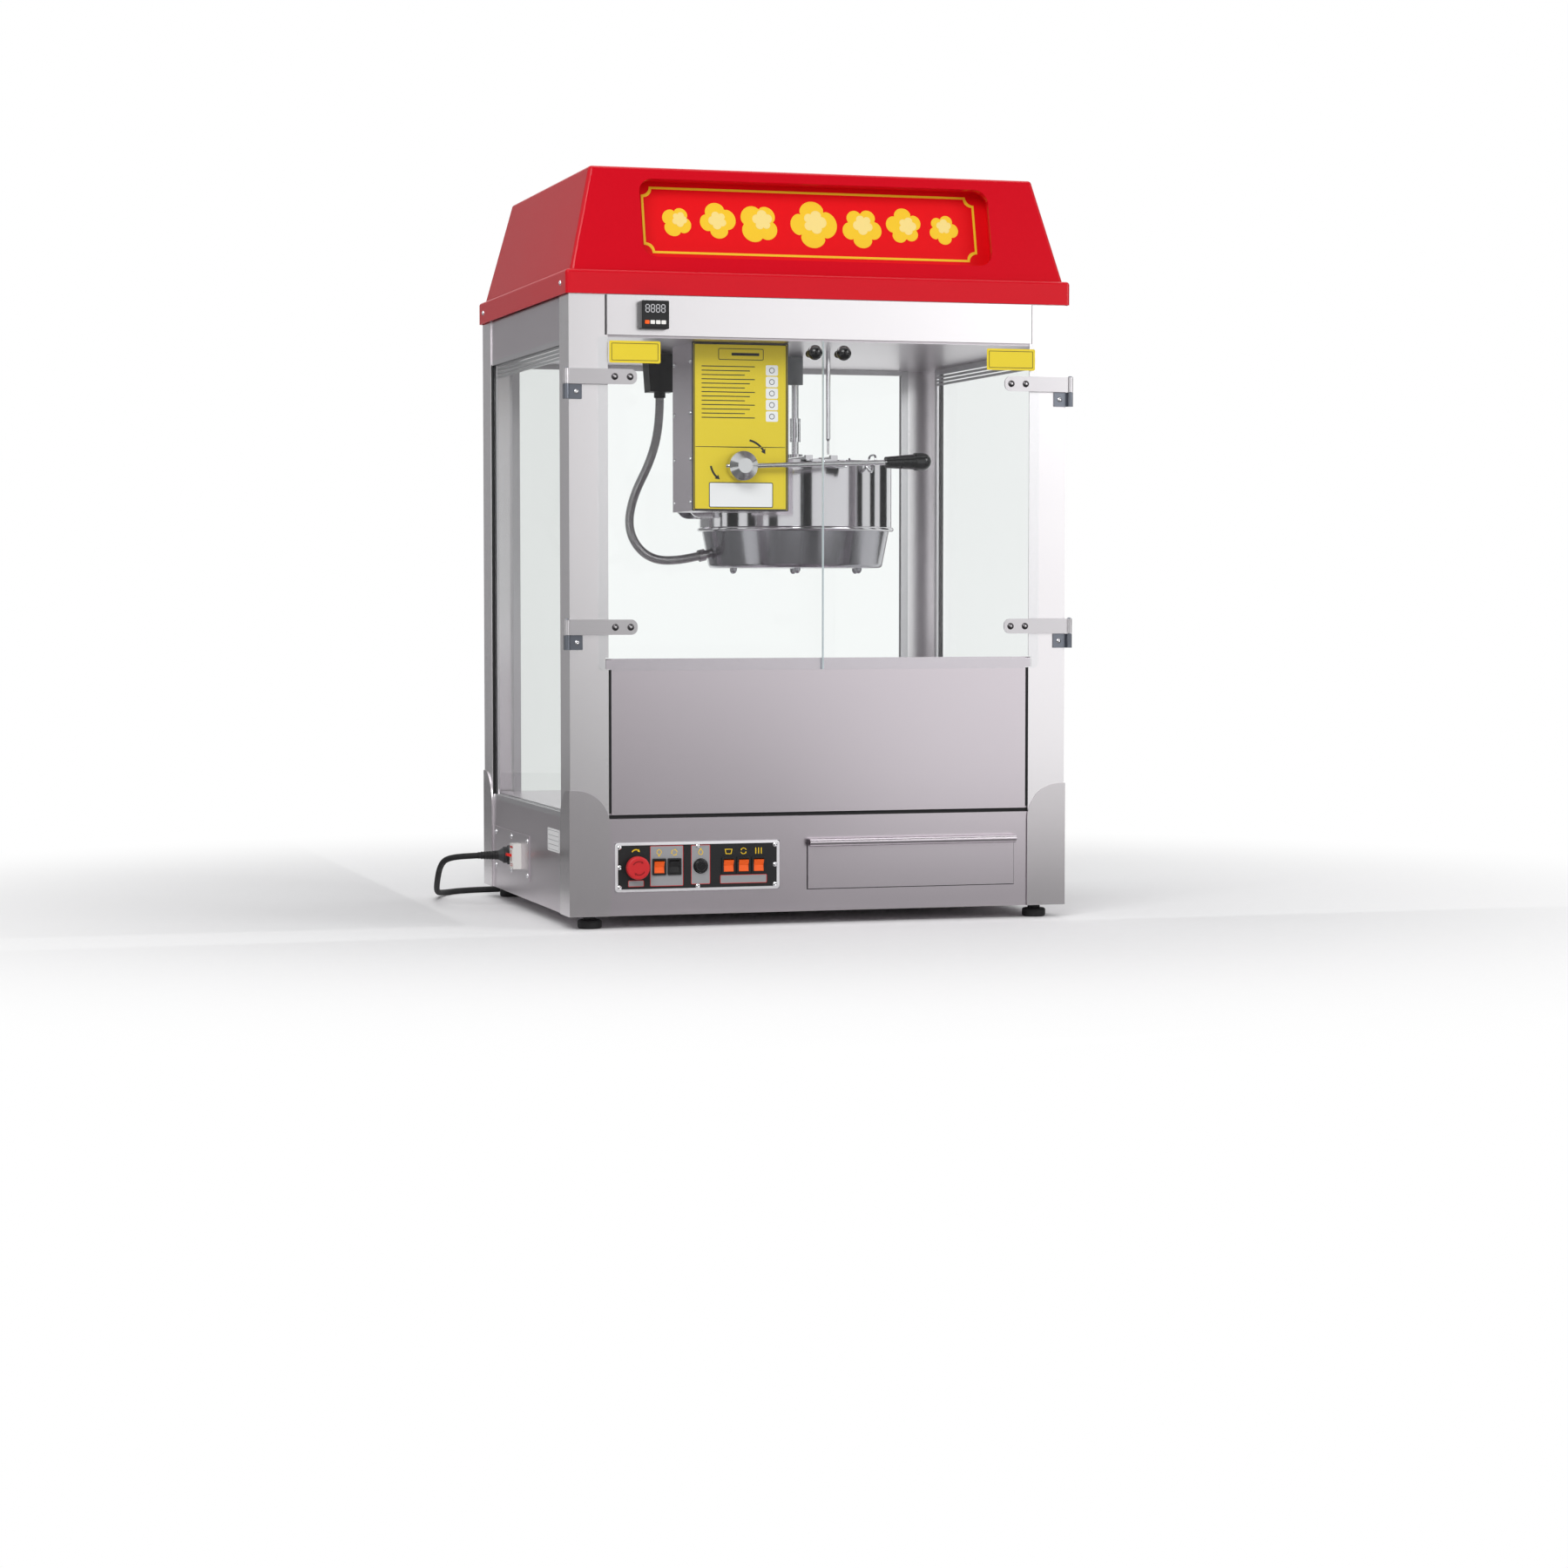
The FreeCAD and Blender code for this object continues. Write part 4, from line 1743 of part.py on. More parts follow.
def parts():
    """Every sub-part by its node name."""
    right_sheet = door_sheet()
    right_straps = door_straps()
    right_knob = door_knob()
    model = {
        "base_pan": base_pan(),
        "base_front_panel": base_front_panel(),
        "corner_posts": corner_posts(),
        "corner_boots": corner_boots(),
        "feet": feet(),
        "hopper_floor": hopper_floor(),
        "hopper_front_panel": hopper_front_panel(),
        "glass_panes": glass_panes(),
        "glass_seals": glass_seals(),
        "ceiling_pan": ceiling_pan(),
        "header_panel": header_panel(),
        "canopy_shell": canopy_shell(),
        "sign_panel": sign_panel(),
        "case_screws": case_screws(),
        "hinge_brackets": hinge_brackets(),
        "control_plate": control_plate(),
        "rocker_frames": rocker_frames(),
        "stop_button": stop_button(),
        "oil_button": oil_button(),
        "controller_body": controller_body(),
        "crumb_drawer": crumb_drawer(),
        "inlet_plate": inlet_plate(),
        "breaker_body": breaker_body(),
        "breaker_toggle": breaker_toggle(),
        "cord_connector": cord_connector(),
        "power_cord_lead": power_cord_lead(),
        "power_cord_coil": power_cord_coil(),
        "cord_tie": cord_tie(),
        "mains_plug": mains_plug(),
        "drive_box": drive_box(),
        "drive_box_cover": drive_box_cover(),
        "shaft_bushes": shaft_bushes(),
        "tilt_shaft": tilt_shaft(),
        "tilt_lever": tilt_lever(),
        "lever_grip": lever_grip(),
        "kettle_pot": kettle_pot(),
        "kettle_base": kettle_base(),
        "heating_element": heating_element(),
        "kettle_crossbar": kettle_crossbar(),
        "left_lid": lid(-1),
        "right_lid": lid(1),
        "stirrer": stirrer(),
        "drive_shaft": drive_shaft(),
        "gearmotor": gearmotor(),
        "oil_pump": oil_pump(),
        "oil_tube": oil_tube(),
        "conduit_connector": conduit_connector(),
        "kettle_conduit": kettle_conduit(),
        "conduit_elbow": conduit_elbow(),
        "right_door_sheet": right_sheet,
        "right_door_straps": right_straps,
        "right_door_knob": right_knob,
        "left_door_sheet": mirrored_x(right_sheet),
        "left_door_straps": mirrored_x(right_straps),
        "left_door_knob": mirrored_x(right_knob),
    }
    for number, x in enumerate(rocker_places(), start=1):
        model["rocker_%d" % number] = rocker(x)
    return model


def main():
    """Writes one STEP file for each sub-part."""
    os.makedirs("parts", exist_ok=True)
    for name, shape in parts().items():
        shape.translate(-Y_AXIS * MIDDLE_Y)
        if not shape.isValid() or shape.Volume <= 0:
            print("check", name, shape.isValid(), shape.Volume)
        shape.exportStep("parts/%s.step" % name)


main()
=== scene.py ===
"""Looks of the popcorn machine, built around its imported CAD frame."""
import logging
import math
from dataclasses import dataclass
from enum import Enum
from typing import Iterable, Optional, Sequence, Union

import bmesh
import bpy
from mathutils import Euler, Matrix, Vector


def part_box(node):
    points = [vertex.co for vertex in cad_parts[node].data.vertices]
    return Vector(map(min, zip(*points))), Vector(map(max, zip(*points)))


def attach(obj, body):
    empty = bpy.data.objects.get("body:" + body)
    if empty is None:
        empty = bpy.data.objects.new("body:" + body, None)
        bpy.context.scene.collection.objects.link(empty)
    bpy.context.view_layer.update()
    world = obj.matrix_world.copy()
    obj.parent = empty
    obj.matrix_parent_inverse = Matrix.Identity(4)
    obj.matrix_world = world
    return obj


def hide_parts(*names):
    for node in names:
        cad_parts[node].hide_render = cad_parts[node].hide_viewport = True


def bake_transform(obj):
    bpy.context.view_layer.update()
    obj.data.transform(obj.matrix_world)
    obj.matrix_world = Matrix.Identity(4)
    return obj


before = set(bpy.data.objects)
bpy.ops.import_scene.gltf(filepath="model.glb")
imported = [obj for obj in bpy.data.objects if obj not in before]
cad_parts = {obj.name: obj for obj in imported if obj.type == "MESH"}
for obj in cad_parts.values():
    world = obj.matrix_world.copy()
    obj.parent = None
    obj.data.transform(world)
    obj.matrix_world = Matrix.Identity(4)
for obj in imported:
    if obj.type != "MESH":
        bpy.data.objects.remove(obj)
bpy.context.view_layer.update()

Point2 = tuple[float, float]
Point3 = tuple[float, float, float]
Colour = tuple[float, float, float]
Loop = list[Point2]
# A rectangle: its left, right, lower and upper side.
Field = tuple[float, float, float, float]

LOG = logging.getLogger("popcorn_machine")
# Metres in a millimetre, and the decimals of a millimetre that are read from the frame.
MM = 0.001
DECIMALS = 2
# Gap in millimetres that keeps a flat piece off the face under it.
SKIN = 0.02
# Points nearer than this, in metres, are joined.
MERGE_DISTANCE = 1e-6
RIGHT = Vector((1, 0, 0))
LEFT = Vector((-1, 0, 0))
FRONT = Vector((0, -1, 0))
UP = Vector((0, 0, 1))
SIDES = ((-1, "left"), (1, "right"))
# Height of the upper door hinges over the lower ones, in millimetres.
HINGE_RISE = 426.0


def at(x: float, y: float, z: float) -> Vector:
    """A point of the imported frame, given in millimetres, in metres."""
    return Vector((x, y, z)) * MM


@dataclass(frozen=True)
class Span:
    """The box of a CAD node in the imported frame, in millimetres."""

    left: float
    front: float
    bottom: float
    right: float
    back: float
    top: float

    @classmethod
    def of(cls, node: str) -> "Span":
        """The box of a named node."""
        low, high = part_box(node)
        return cls(*(round(float(value) / MM, DECIMALS) for value in (*low, *high)))

    @property
    def middle(self) -> Vector:
        """The middle of the box."""
        return Vector((self.left + self.right, self.front + self.back, self.bottom + self.top)) / 2


# Shader trees


class Wire:
    """One value in a shader tree, with plain arithmetic."""

    def __init__(self, graph: "Graph", socket: Optional[bpy.types.NodeSocket]) -> None:
        """Keeps the tree and the socket that gives the value."""
        self.graph = graph
        self.socket = socket

    def math(self, operation: str, first: "Value", second: "Value") -> "Wire":
        """The result of a Math node."""
        return self.graph.node("ShaderNodeMath", {"operation": operation}, {0: first, 1: second})

    def __add__(self, other: "Value") -> "Wire":
        """This value plus another."""
        return self.math("ADD", self, other)

    def __radd__(self, other: "Value") -> "Wire":
        """Another value plus this one."""
        return self.math("ADD", other, self)

    def __sub__(self, other: "Value") -> "Wire":
        """This value less another."""
        return self.math("SUBTRACT", self, other)

    def __rsub__(self, other: "Value") -> "Wire":
        """Another value less this one."""
        return self.math("SUBTRACT", other, self)

    def __mul__(self, other: "Value") -> "Wire":
        """This value times another."""
        return self.math("MULTIPLY", self, other)

    def __rmul__(self, other: "Value") -> "Wire":
        """Another value times this one."""
        return self.math("MULTIPLY", other, self)

    def most(self, other: "Value") -> "Wire":
        """The larger of two values."""
        return self.math("MAXIMUM", self, other)

    def ramp(self, low: float, high: float) -> "Wire":
        """A smooth 0 to 1 between two values."""
        settings = {"interpolation_type": "SMOOTHSTEP"}
        return self.graph.node("ShaderNodeMapRange", settings, {0: self, 1: low, 2: high})


Value = Union[Wire, float, Sequence[float]]


class Graph:
    """A node tree that is emptied and built by short calls."""

    def __init__(self, tree: bpy.types.NodeTree) -> None:
        """Empties the tree."""
        self.tree = tree
        tree.nodes.clear()

    def node(self, kind: str, settings: dict, inputs: dict, output: Union[int, str] = 0) -> Wire:
        """Makes one node.

        Args:
            kind: The node's type.
            settings: Attributes, set before the sockets.
            inputs: Socket values or links by socket name or number.
            output: The output to return.
        Returns:
            That output as a wire, which is empty for a node without outputs.
        """
        made = self.tree.nodes.new(kind)
        for key, value in settings.items():
            setattr(made, key, value)
        for key, value in inputs.items():
            if isinstance(value, Wire):
                self.tree.links.new(value.socket, made.inputs[key])
            else:
                made.inputs[key].default_value = value
        return Wire(self, made.outputs[output] if len(made.outputs) else None)

    def place(self) -> Wire:
        """Object coordinates."""
        return self.node("ShaderNodeTexCoord", {}, {}, "Object")

    def vector(self, operation: str, first: Value, second: Value) -> Wire:
        """Vector arithmetic."""
        return self.node("ShaderNodeVectorMath", {"operation": operation}, {0: first, 1: second})

    def length(self, where: Wire) -> Wire:
        """The length of a vector."""
        return self.node("ShaderNodeVectorMath", {"operation": "LENGTH"}, {0: where}, "Value")

    def noise(self, where: Wire, scale: float, detail: float) -> Wire:
        """Noise from 0 to 1 at a place."""
        return self.node("ShaderNodeTexNoise", {}, {"Vector": where, "Scale": scale, "Detail": detail})

    def blend(self, share: Value, first: Value, second: Value) -> Wire:
        """A mix of two colours."""
        return self.node("ShaderNodeMix", {"data_type": "RGBA"}, {0: share, 6: first, 7: second}, 2)

    def light_path(self, *names: str) -> Wire:
        """Tells kinds of ray apart.

        Args:
            names: Outputs of the Light Path node.
        Returns:
            One where any of them is traced.
        """
        rays = [self.node("ShaderNodeLightPath", {}, {}, name) for name in names]
        total = rays[0]
        for ray in rays[1:]:
            total = total.most(ray)
        return total

    def seen(self) -> Wire:
        """One for the rays that show a surround: straight, mirrored or through glass."""
        return self.light_path("Is Camera Ray", "Is Glossy Ray", "Is Transmission Ray")


# Finishes


class Grain(Enum):
    """How the fine texture of a finish runs, as stretches of object coordinates."""

    SPECKLE = (1.0, 1.0, 1.0)
    ALONG_X = (0.012, 1.0, 1.0)
    ALONG_Y = (1.0, 0.012, 1.0)
    ALONG_Z = (1.0, 1.0, 0.012)
    TURNED_Y = (1.0, 0.0, 1.0)
    TURNED_Z = (1.0, 1.0, 0.0)


OPAQUE = 1.0
WHITE_LIGHT = (1.0, 1.0, 1.0, OPAQUE)
FINE_DETAIL = 3.0
FINE_SHARE = 0.6
BROAD_SCALE = 5.0
BROAD_DETAIL = 2.0
COAT_ROUGHNESS = 0.04
RELIEF_STRENGTH = 0.5


@dataclass(frozen=True)
class Finish:
    """An opaque surface with a fine grain and a broad unevenness.

    Attributes:
        name: Name of the material.
        colour: Linear colour.
        roughness: Middle roughness.
        metallic: 1 for metal.
        grain: Direction of the fine texture.
        fineness: Scale of the fine texture, per metre.
        tone: How much lighter and darker the colour runs.
        scatter: How much the roughness runs up and down.
        relief: Height of the fine texture, in metres.
        coat: Weight of a clear coat.
        axis: A point on the axis of a turned grain, in metres.
        shine: Specular level of the surface under the coat.
    """

    name: str
    colour: Colour
    roughness: float
    metallic: float = 0.0
    grain: Grain = Grain.SPECKLE
    fineness: float = 700.0
    tone: float = 0.06
    scatter: float = 0.08
    relief: float = 0.0
    coat: float = 0.0
    axis: Point3 = (0.0, 0.0, 0.0)
    shine: float = 0.3

    def material(self) -> bpy.types.Material:
        """The finish's material, made once."""
        known = bpy.data.materials.get("look_" + self.name)
        return known or self.make()

    def grain_place(self, graph: Graph) -> Wire:
        """Coordinates of the fine texture.

        Args:
            graph: The material's tree.
        Returns:
            Stretched coordinates, or the distance from the axis for a turned grain.
        """
        where = graph.vector("SUBTRACT", graph.place(), self.axis)
        stretched = graph.vector("MULTIPLY", where, self.grain.value)
        if self.grain not in (Grain.TURNED_Y, Grain.TURNED_Z):
            return stretched
        return graph.node("ShaderNodeCombineXYZ", {}, {0: graph.length(stretched)})

    def shader(self, graph: Graph) -> Wire:
        """The surface's shader.

        Args:
            graph: The material's tree.
        Returns:
            The shader's output.
        """
        fine = graph.noise(self.grain_place(graph), self.fineness, FINE_DETAIL)
        broad = graph.noise(graph.place(), BROAD_SCALE, BROAD_DETAIL)
        share = fine * FINE_SHARE + broad * (1 - FINE_SHARE)
        dark = tuple(c * (1 - self.tone) for c in self.colour)
        pale = tuple(min(c * (1 + self.tone), 1.0) for c in self.colour)
        inputs = {
            "Base Color": graph.blend(share, (*dark, OPAQUE), (*pale, OPAQUE)),
            "Roughness": self.roughness + (share - 0.5) * self.scatter,
            "Metallic": self.metallic,
            "Coat Weight": self.coat,
            "Coat Roughness": COAT_ROUGHNESS,
            "Specular IOR Level": self.shine,
        }
        if self.relief:
            bump = {"Strength": RELIEF_STRENGTH, "Distance": self.relief, "Height": fine}
            inputs["Normal"] = graph.node("ShaderNodeBump", {}, bump)
        return graph.node("ShaderNodeBsdfPrincipled", {}, inputs)

    def make(self) -> bpy.types.Material:
        """Builds the material.

        Returns:
            The material.
        """
        material = bpy.data.materials.new("look_" + self.name)
        material.use_nodes = True
        graph = Graph(material.node_tree)
        graph.node("ShaderNodeOutputMaterial", {}, {"Surface": self.shader(graph)})
        return material


@dataclass(frozen=True)
class BrushedSteel(Finish):
    """Sheet steel with a fine straight grain."""

    roughness: float = 0.26
    metallic: float = 1.0
    fineness: float = 1400.0
    tone: float = 0.03
    scatter: float = 0.05


@dataclass(frozen=True)
class Metal(Finish):
    """Plain or turned metal."""

    metallic: float = 1.0


@dataclass(frozen=True)
class Print(Finish):
    """Ink or a thin label, and thin lines of painted shadow."""

    roughness: float = 0.45
    fineness: float = 400.0
    tone: float = 0.03
    scatter: float = 0.05


@dataclass(frozen=True)
class ClearFinish(Finish):
    """A clear sheet that lets light through to what is behind it.

    Attributes:
        bend: Index of refraction, which sets the strength of the mirror image.
    """

    roughness: float = 0.0
    fineness: float = 8.0
    bend: float = 1.49

    def shader(self, graph: Graph) -> Wire:
        """A clear shader with a smudged gloss that casts almost no shadow.

        Args:
            graph: The material's tree.
        Returns:
            The shader's output.
        """
        smudge = graph.noise(graph.place(), self.fineness, BROAD_DETAIL)
        gloss = graph.node("ShaderNodeBsdfPrincipled", {}, {
            "Base Color": WHITE_LIGHT,
            "Metallic": 1.0,
            "Roughness": self.roughness + smudge * self.scatter,
        })
        sheet = graph.node("ShaderNodeBsdfTransparent", {}, {"Color": (*self.colour, OPAQUE)})
        share = graph.node("ShaderNodeFresnel", {}, {"IOR": self.bend})
        outer = 1.0 - graph.node("ShaderNodeNewGeometry", {}, {}, "Backfacing")
        passing = 1.0 - graph.light_path("Is Shadow Ray", "Is Diffuse Ray")
        return graph.node("ShaderNodeMixShader", {}, {0: share * outer * passing, 1: sheet, 2: gloss})


KETTLE_MIDDLE = Span.of("drive_shaft").middle
TILT_MIDDLE = Span.of("shaft_bushes").middle
KETTLE_AXIS = tuple(at(KETTLE_MIDDLE.x, KETTLE_MIDDLE.y, 0))
TILT_AXIS = tuple(at(*TILT_MIDDLE))

PANEL_STEEL = BrushedSteel("panel_steel", (0.70, 0.645, 0.69), grain=Grain.ALONG_X)
# Painted light: a paler copy of the panel steel for the posts and header, standing in for the strong light
# on their fronts.
LIT_UPRIGHT_STEEL = BrushedSteel("upright_steel", (0.90, 0.875, 0.895), grain=Grain.ALONG_Z)
BOOT_STEEL = BrushedSteel("boot_steel", (0.70, 0.67, 0.69), 0.24, grain=Grain.ALONG_Z)
SIDE_STEEL = BrushedSteel("side_steel", (0.64, 0.595, 0.63), 0.30, grain=Grain.ALONG_Y)
STRAP_STEEL = BrushedSteel("strap_steel", (0.66, 0.64, 0.66), 0.30, grain=Grain.ALONG_X)
BEZEL = BrushedSteel("bezel_steel", (0.80, 0.79, 0.81), 0.32, metallic=0.4, grain=Grain.ALONG_X)
CHROME = Metal("chrome", (0.78, 0.78, 0.80), 0.10, fineness=300, tone=0.03, scatter=0.06)
SPUN = Metal("spun_steel", (0.62, 0.605, 0.63), 0.10, grain=Grain.TURNED_Z, axis=KETTLE_AXIS,
             fineness=260, scatter=0.10, relief=4e-6)
PAN_SPUN = Metal("pan_steel", (0.40, 0.39, 0.42), 0.16, grain=Grain.ALONG_Z,
                 fineness=180, tone=0.08, scatter=0.12, relief=3e-6)
TURNED = Metal("turned_steel", (0.66, 0.66, 0.67), 0.18, grain=Grain.TURNED_Y, axis=TILT_AXIS,
               fineness=900, tone=0.22, scatter=0.16)
ALUMINIUM = Metal("aluminium", (0.62, 0.61, 0.63), 0.38, grain=Grain.ALONG_Z, fineness=600, tone=0.05)
CAST = Metal("cast_grey", (0.30, 0.31, 0.32), 0.55, metallic=0.4, fineness=420, tone=0.10, scatter=0.10,
             relief=2e-5)
BRASS = Metal("brass", (0.60, 0.43, 0.16), 0.30, grain=Grain.TURNED_Y, axis=TILT_AXIS,
              fineness=420, tone=0.08)
DARK_CHROME = Metal("conduit_steel", (0.40, 0.39, 0.40), 0.22, fineness=300, tone=0.08)
DARK_STEEL = Metal("dark_steel", (0.10, 0.095, 0.10), 0.30, fineness=600, tone=0.10, scatter=0.10)
BRACKET = Metal("bracket_steel", (0.20, 0.215, 0.25), 0.30, fineness=600, tone=0.08)
RED = Finish("canopy_red", (0.56, 0.001, 0.010), 0.36, fineness=180, tone=0.05, scatter=0.05, relief=1e-5,
             coat=0.3, shine=0.10)
SIGN_RED = Finish("sign_red", (0.74, 0.002, 0.006), 0.45, fineness=90, tone=0.05, scatter=0.05, shine=0.15)
YELLOW = Finish("cover_yellow", (0.72, 0.56, 0.030), 0.42, fineness=300, tone=0.03, scatter=0.06)
ORANGE = Finish("switch_orange", (0.86, 0.11, 0.008), 0.30, fineness=500, tone=0.04, scatter=0.06, coat=0.3)
STOP_RED = Finish("stop_red", (0.56, 0.020, 0.024), 0.42, fineness=500, tone=0.04, scatter=0.06)
TOGGLE_RED = Finish("toggle_red", (0.70, 0.025, 0.018), 0.34, fineness=500, tone=0.04, scatter=0.06)
GLOSS_BLACK = Finish("gloss_black", (0.012, 0.012, 0.013), 0.18, fineness=300, tone=0.10, scatter=0.06,
                     coat=0.3)
SATIN_BLACK = Finish("satin_black", (0.018, 0.018, 0.019), 0.40, fineness=900, tone=0.12, scatter=0.10,
                     relief=1e-5)
# Black rubber for the feet, the cord and its tie; also the dark strips of painted shade beside the hopper,
# at the header's ends and beside the side panes, and the hopper floor's front seam strip.
RUBBER_AND_SHADE = Finish("rubber", (0.015, 0.015, 0.016), 0.65, fineness=1200, tone=0.15, scatter=0.10, relief=2e-5)
GLAND_GREY = Finish("gland_grey", (0.035, 0.037, 0.040), 0.45, fineness=900, tone=0.10, relief=1e-5)
WHITE = Finish("white_plastic", (0.78, 0.77, 0.74), 0.42, tone=0.03, scatter=0.06)
EDGE = Finish("sheet_edge", (0.72, 0.80, 0.82), 0.30, grain=Grain.ALONG_Z, fineness=300, tone=0.05)
PRINT_YELLOW = Print("print_yellow", (0.86, 0.56, 0.02))
PRINT_CREAM = Print("print_cream", (0.86, 0.70, 0.24))
MARK_RED = Print("mark_red", (0.26, 0.006, 0.008))
PRINT_RED = Print("print_red", (0.60, 0.02, 0.02))
PRINT_GREY = Print("print_grey", (0.30, 0.30, 0.31), tone=0.04)
PRINT_SILVER = Print("print_silver", (0.52, 0.52, 0.54), tone=0.04)
PRINT_PALE = Print("print_pale", (0.80, 0.80, 0.80))
# Dark print on the cover and stickers, also used for the painted shadow lines round the drawer.
DARK_PRINT_AND_SHADE = Print("print_dark", (0.02, 0.02, 0.022), tone=0.10)
PANE = ClearFinish("pane_glass", (0.975, 0.985, 0.980), scatter=0.015, bend=1.35)
ACRYLIC = ClearFinish("door_clear", (0.985, 0.99, 0.99), scatter=0.02, bend=1.28)


# Pieces


def finished(name: str, mesh: bpy.types.Mesh, finish: Finish, body: Optional[str],
             stands_for: Sequence[str] = (), sharp: float = 35.0) -> bpy.types.Object:
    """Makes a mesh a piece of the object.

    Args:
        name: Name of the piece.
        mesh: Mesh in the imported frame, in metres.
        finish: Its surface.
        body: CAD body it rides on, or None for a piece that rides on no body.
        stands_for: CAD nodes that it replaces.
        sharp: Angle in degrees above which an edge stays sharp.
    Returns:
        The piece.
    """
    mesh.name = name
    mesh.materials.clear()
    mesh.materials.append(finish.material())
    mesh.shade_smooth()
    mesh.set_sharp_from_angle(angle=math.radians(sharp))
    piece = bpy.data.objects.new(name, mesh)
    bpy.context.scene.collection.objects.link(piece)
    if body:
        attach(piece, body)
    if stands_for:
        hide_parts(*stands_for)
    LOG.info("piece %s on %s with %s", name, body, finish.name)
    return piece


def dress(finish: Finish, *nodes: str) -> None:
    """Gives CAD nodes a finish.

    Args:
        finish: The surface.
        nodes: Names of the nodes.
    """
    for name in nodes:
        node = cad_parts[name]
        for slot in node.material_slots:
            slot.material = finish.material()
        LOG.info("node %s with %s", name, finish.name)


def plain_mesh(source: bpy.types.Object) -> bpy.types.Mesh:
    """The evaluated mesh of a helper object, which is then removed.

    Args:
        source: A curve or a mesh with a modifier.
    Returns:
        A mesh with joined seams and outward faces.
    """
    graph = bpy.context.evaluated_depsgraph_get()
    mesh = bpy.data.meshes.new_from_object(source.evaluated_get(graph))
    bpy.data.objects.remove(source)
    work = bmesh.new()
    work.from_mesh(mesh)
    bmesh.ops.remove_doubles(work, verts=work.verts, dist=MERGE_DISTANCE)
    bmesh.ops.recalc_face_normals(work, faces=work.faces)
    work.to_mesh(mesh)
    work.free()
    return mesh


@dataclass(frozen=True)
class Plane:
    """A flat face to draw on.

    Attributes:
        origin: Where (0, 0) lies, in metres.
        right: Direction of the first coordinate.
        up: Direction of the second coordinate.
    """

    origin: Vector
    right: Vector
    up: Vector

    def matrix(self) -> Matrix:
        """Places a drawing on the face.

        Returns:
            The matrix, whose third axis is the way out of the face.
        """
        out = self.right.cross(self.up)
        turn = Matrix((self.right, self.up, out)).transposed().to_4x4()
        return Matrix.Translation(self.origin) @ turn


def front(x: float, y: float, z: float) -> Plane:
    """A face that looks to the front, with its origin at a point in millimetres."""
    return Plane(at(x, y, z), RIGHT, UP)


def left_face(x: float, y: float, z: float) -> Plane:
    """A face that looks to the left, with its origin at a point in millimetres."""
    return Plane(at(x, y, z), FRONT, UP)


def polar(cx: float, cy: float, radius: float, turn: float) -> Point2:
    """A point round a centre, at an angle in degrees."""
    angle = math.radians(turn)
    return cx + radius * math.cos(angle), cy + radius * math.sin(angle)


def arc(cx: float, cy: float, radius: float, start: float, end: float, steps: int = 24) -> Loop:
    """Points of an arc between two angles in degrees."""
    return [polar(cx, cy, radius, start + (end - start) * i / steps) for i in range(steps + 1)]


def circle(cx: float, cy: float, radius: float, steps: int = 48) -> Loop:
    """Points of a circle."""
    return arc(cx, cy, radius, 0, 360 * (1 - 1 / steps), steps - 1)


def ring(cx: float, cy: float, radius: float, inner: float, steps: int = 48) -> list[Loop]:
    """A band between two circles."""
    return [circle(cx, cy, radius, steps), circle(cx, cy, inner, steps)]


def panel(x0: float, x1: float, y0: float, y1: float, corner: float = 0.0) -> Loop:
    """A rectangle with rounded corners.

    Args:
        x0, x1: Its left and right sides.
        y0, y1: Its lower and upper sides.
        corner: Radius of its corners, or 0 for sharp ones.
    Returns:
        The outline.
    """
    if corner <= 0:
        return [(x0, y0), (x1, y0), (x1, y1), (x0, y1)]
    spots = [(x1 - corner, y0 + corner, -90), (x1 - corner, y1 - corner, 0),
             (x0 + corner, y1 - corner, 90), (x0 + corner, y0 + corner, 180)]
    return [p for cx, cy, turn in spots for p in arc(cx, cy, corner, turn, turn + 90, 8)]


def scooped(x0: float, x1: float, y0: float, y1: float, scoop: float) -> Loop:
    """Points of a rectangle with hollow round corners."""
    spots = [(x1, y0, 180, 90), (x1, y1, 270, 180), (x0, y1, 360, 270), (x0, y0, 90, 0)]
    return [p for cx, cy, start, end in spots for p in arc(cx, cy, scoop, start, end, 10)]


def inset(box: Field, wide: float) -> Field:
    """A rectangle made smaller on all sides."""
    x0, x1, y0, y1 = box
    return x0 + wide, x1 - wide, y0 + wide, y1 - wide


def frame_band(box: Field, wide: float, corner: float) -> list[Loop]:
    """A rectangular band of a given width inside a rectangle."""
    return [panel(*box, corner), panel(*inset(box, wide), max(corner - wide, 0.0))]


def arrow_arc(cx: float, cy: float, radius: float, start: float, end: float, wide: float) -> Loop:
    """A curved arrow that points along its arc.

    Args:
        cx, cy: Centre of the arc.
        radius: Radius of its middle line.
        start, end: Angles in degrees; the head stands at the end.
        wide: Width of the line.
    Returns:
        The outline.
    """
    head_length = 2.2 * wide
    head_reach = 1.3 * wide
    way = 1 if end > start else -1
    outer = arc(cx, cy, radius + wide / 2, start, end)
    inner = arc(cx, cy, radius - wide / 2, end, start)
    tip_turn = end + way * math.degrees(head_length / radius)
    head = [polar(cx, cy, radius + head_reach, end), polar(cx, cy, radius, tip_turn),
            polar(cx, cy, radius - head_reach, end)]
    return outer + head + inner


def puff(cx: float, cy: float, radius: float, lumps: int, turn: float) -> Loop:
    """The outline of a popped kernel: a ring of lumps.

    Args:
        cx, cy: Its middle.
        radius: Its largest reach.
        lumps: Number of lumps.
        turn: Turn of the lumps, in radians.
    Returns:
        The outline.
    """
    steps, core, swelling, lean, bluntness = 96, 0.62, 0.28, 0.10, 0.6
    points = []
    for i in range(steps):
        angle = 2 * math.pi * i / steps
        swell = abs(math.cos(lumps * angle / 2 + turn)) ** bluntness
        reach = radius * (core + swelling * swell + lean * math.cos(angle + 2 * turn))
        points.append((cx + reach * math.cos(angle), cy + reach * math.sin(angle)))
    return points


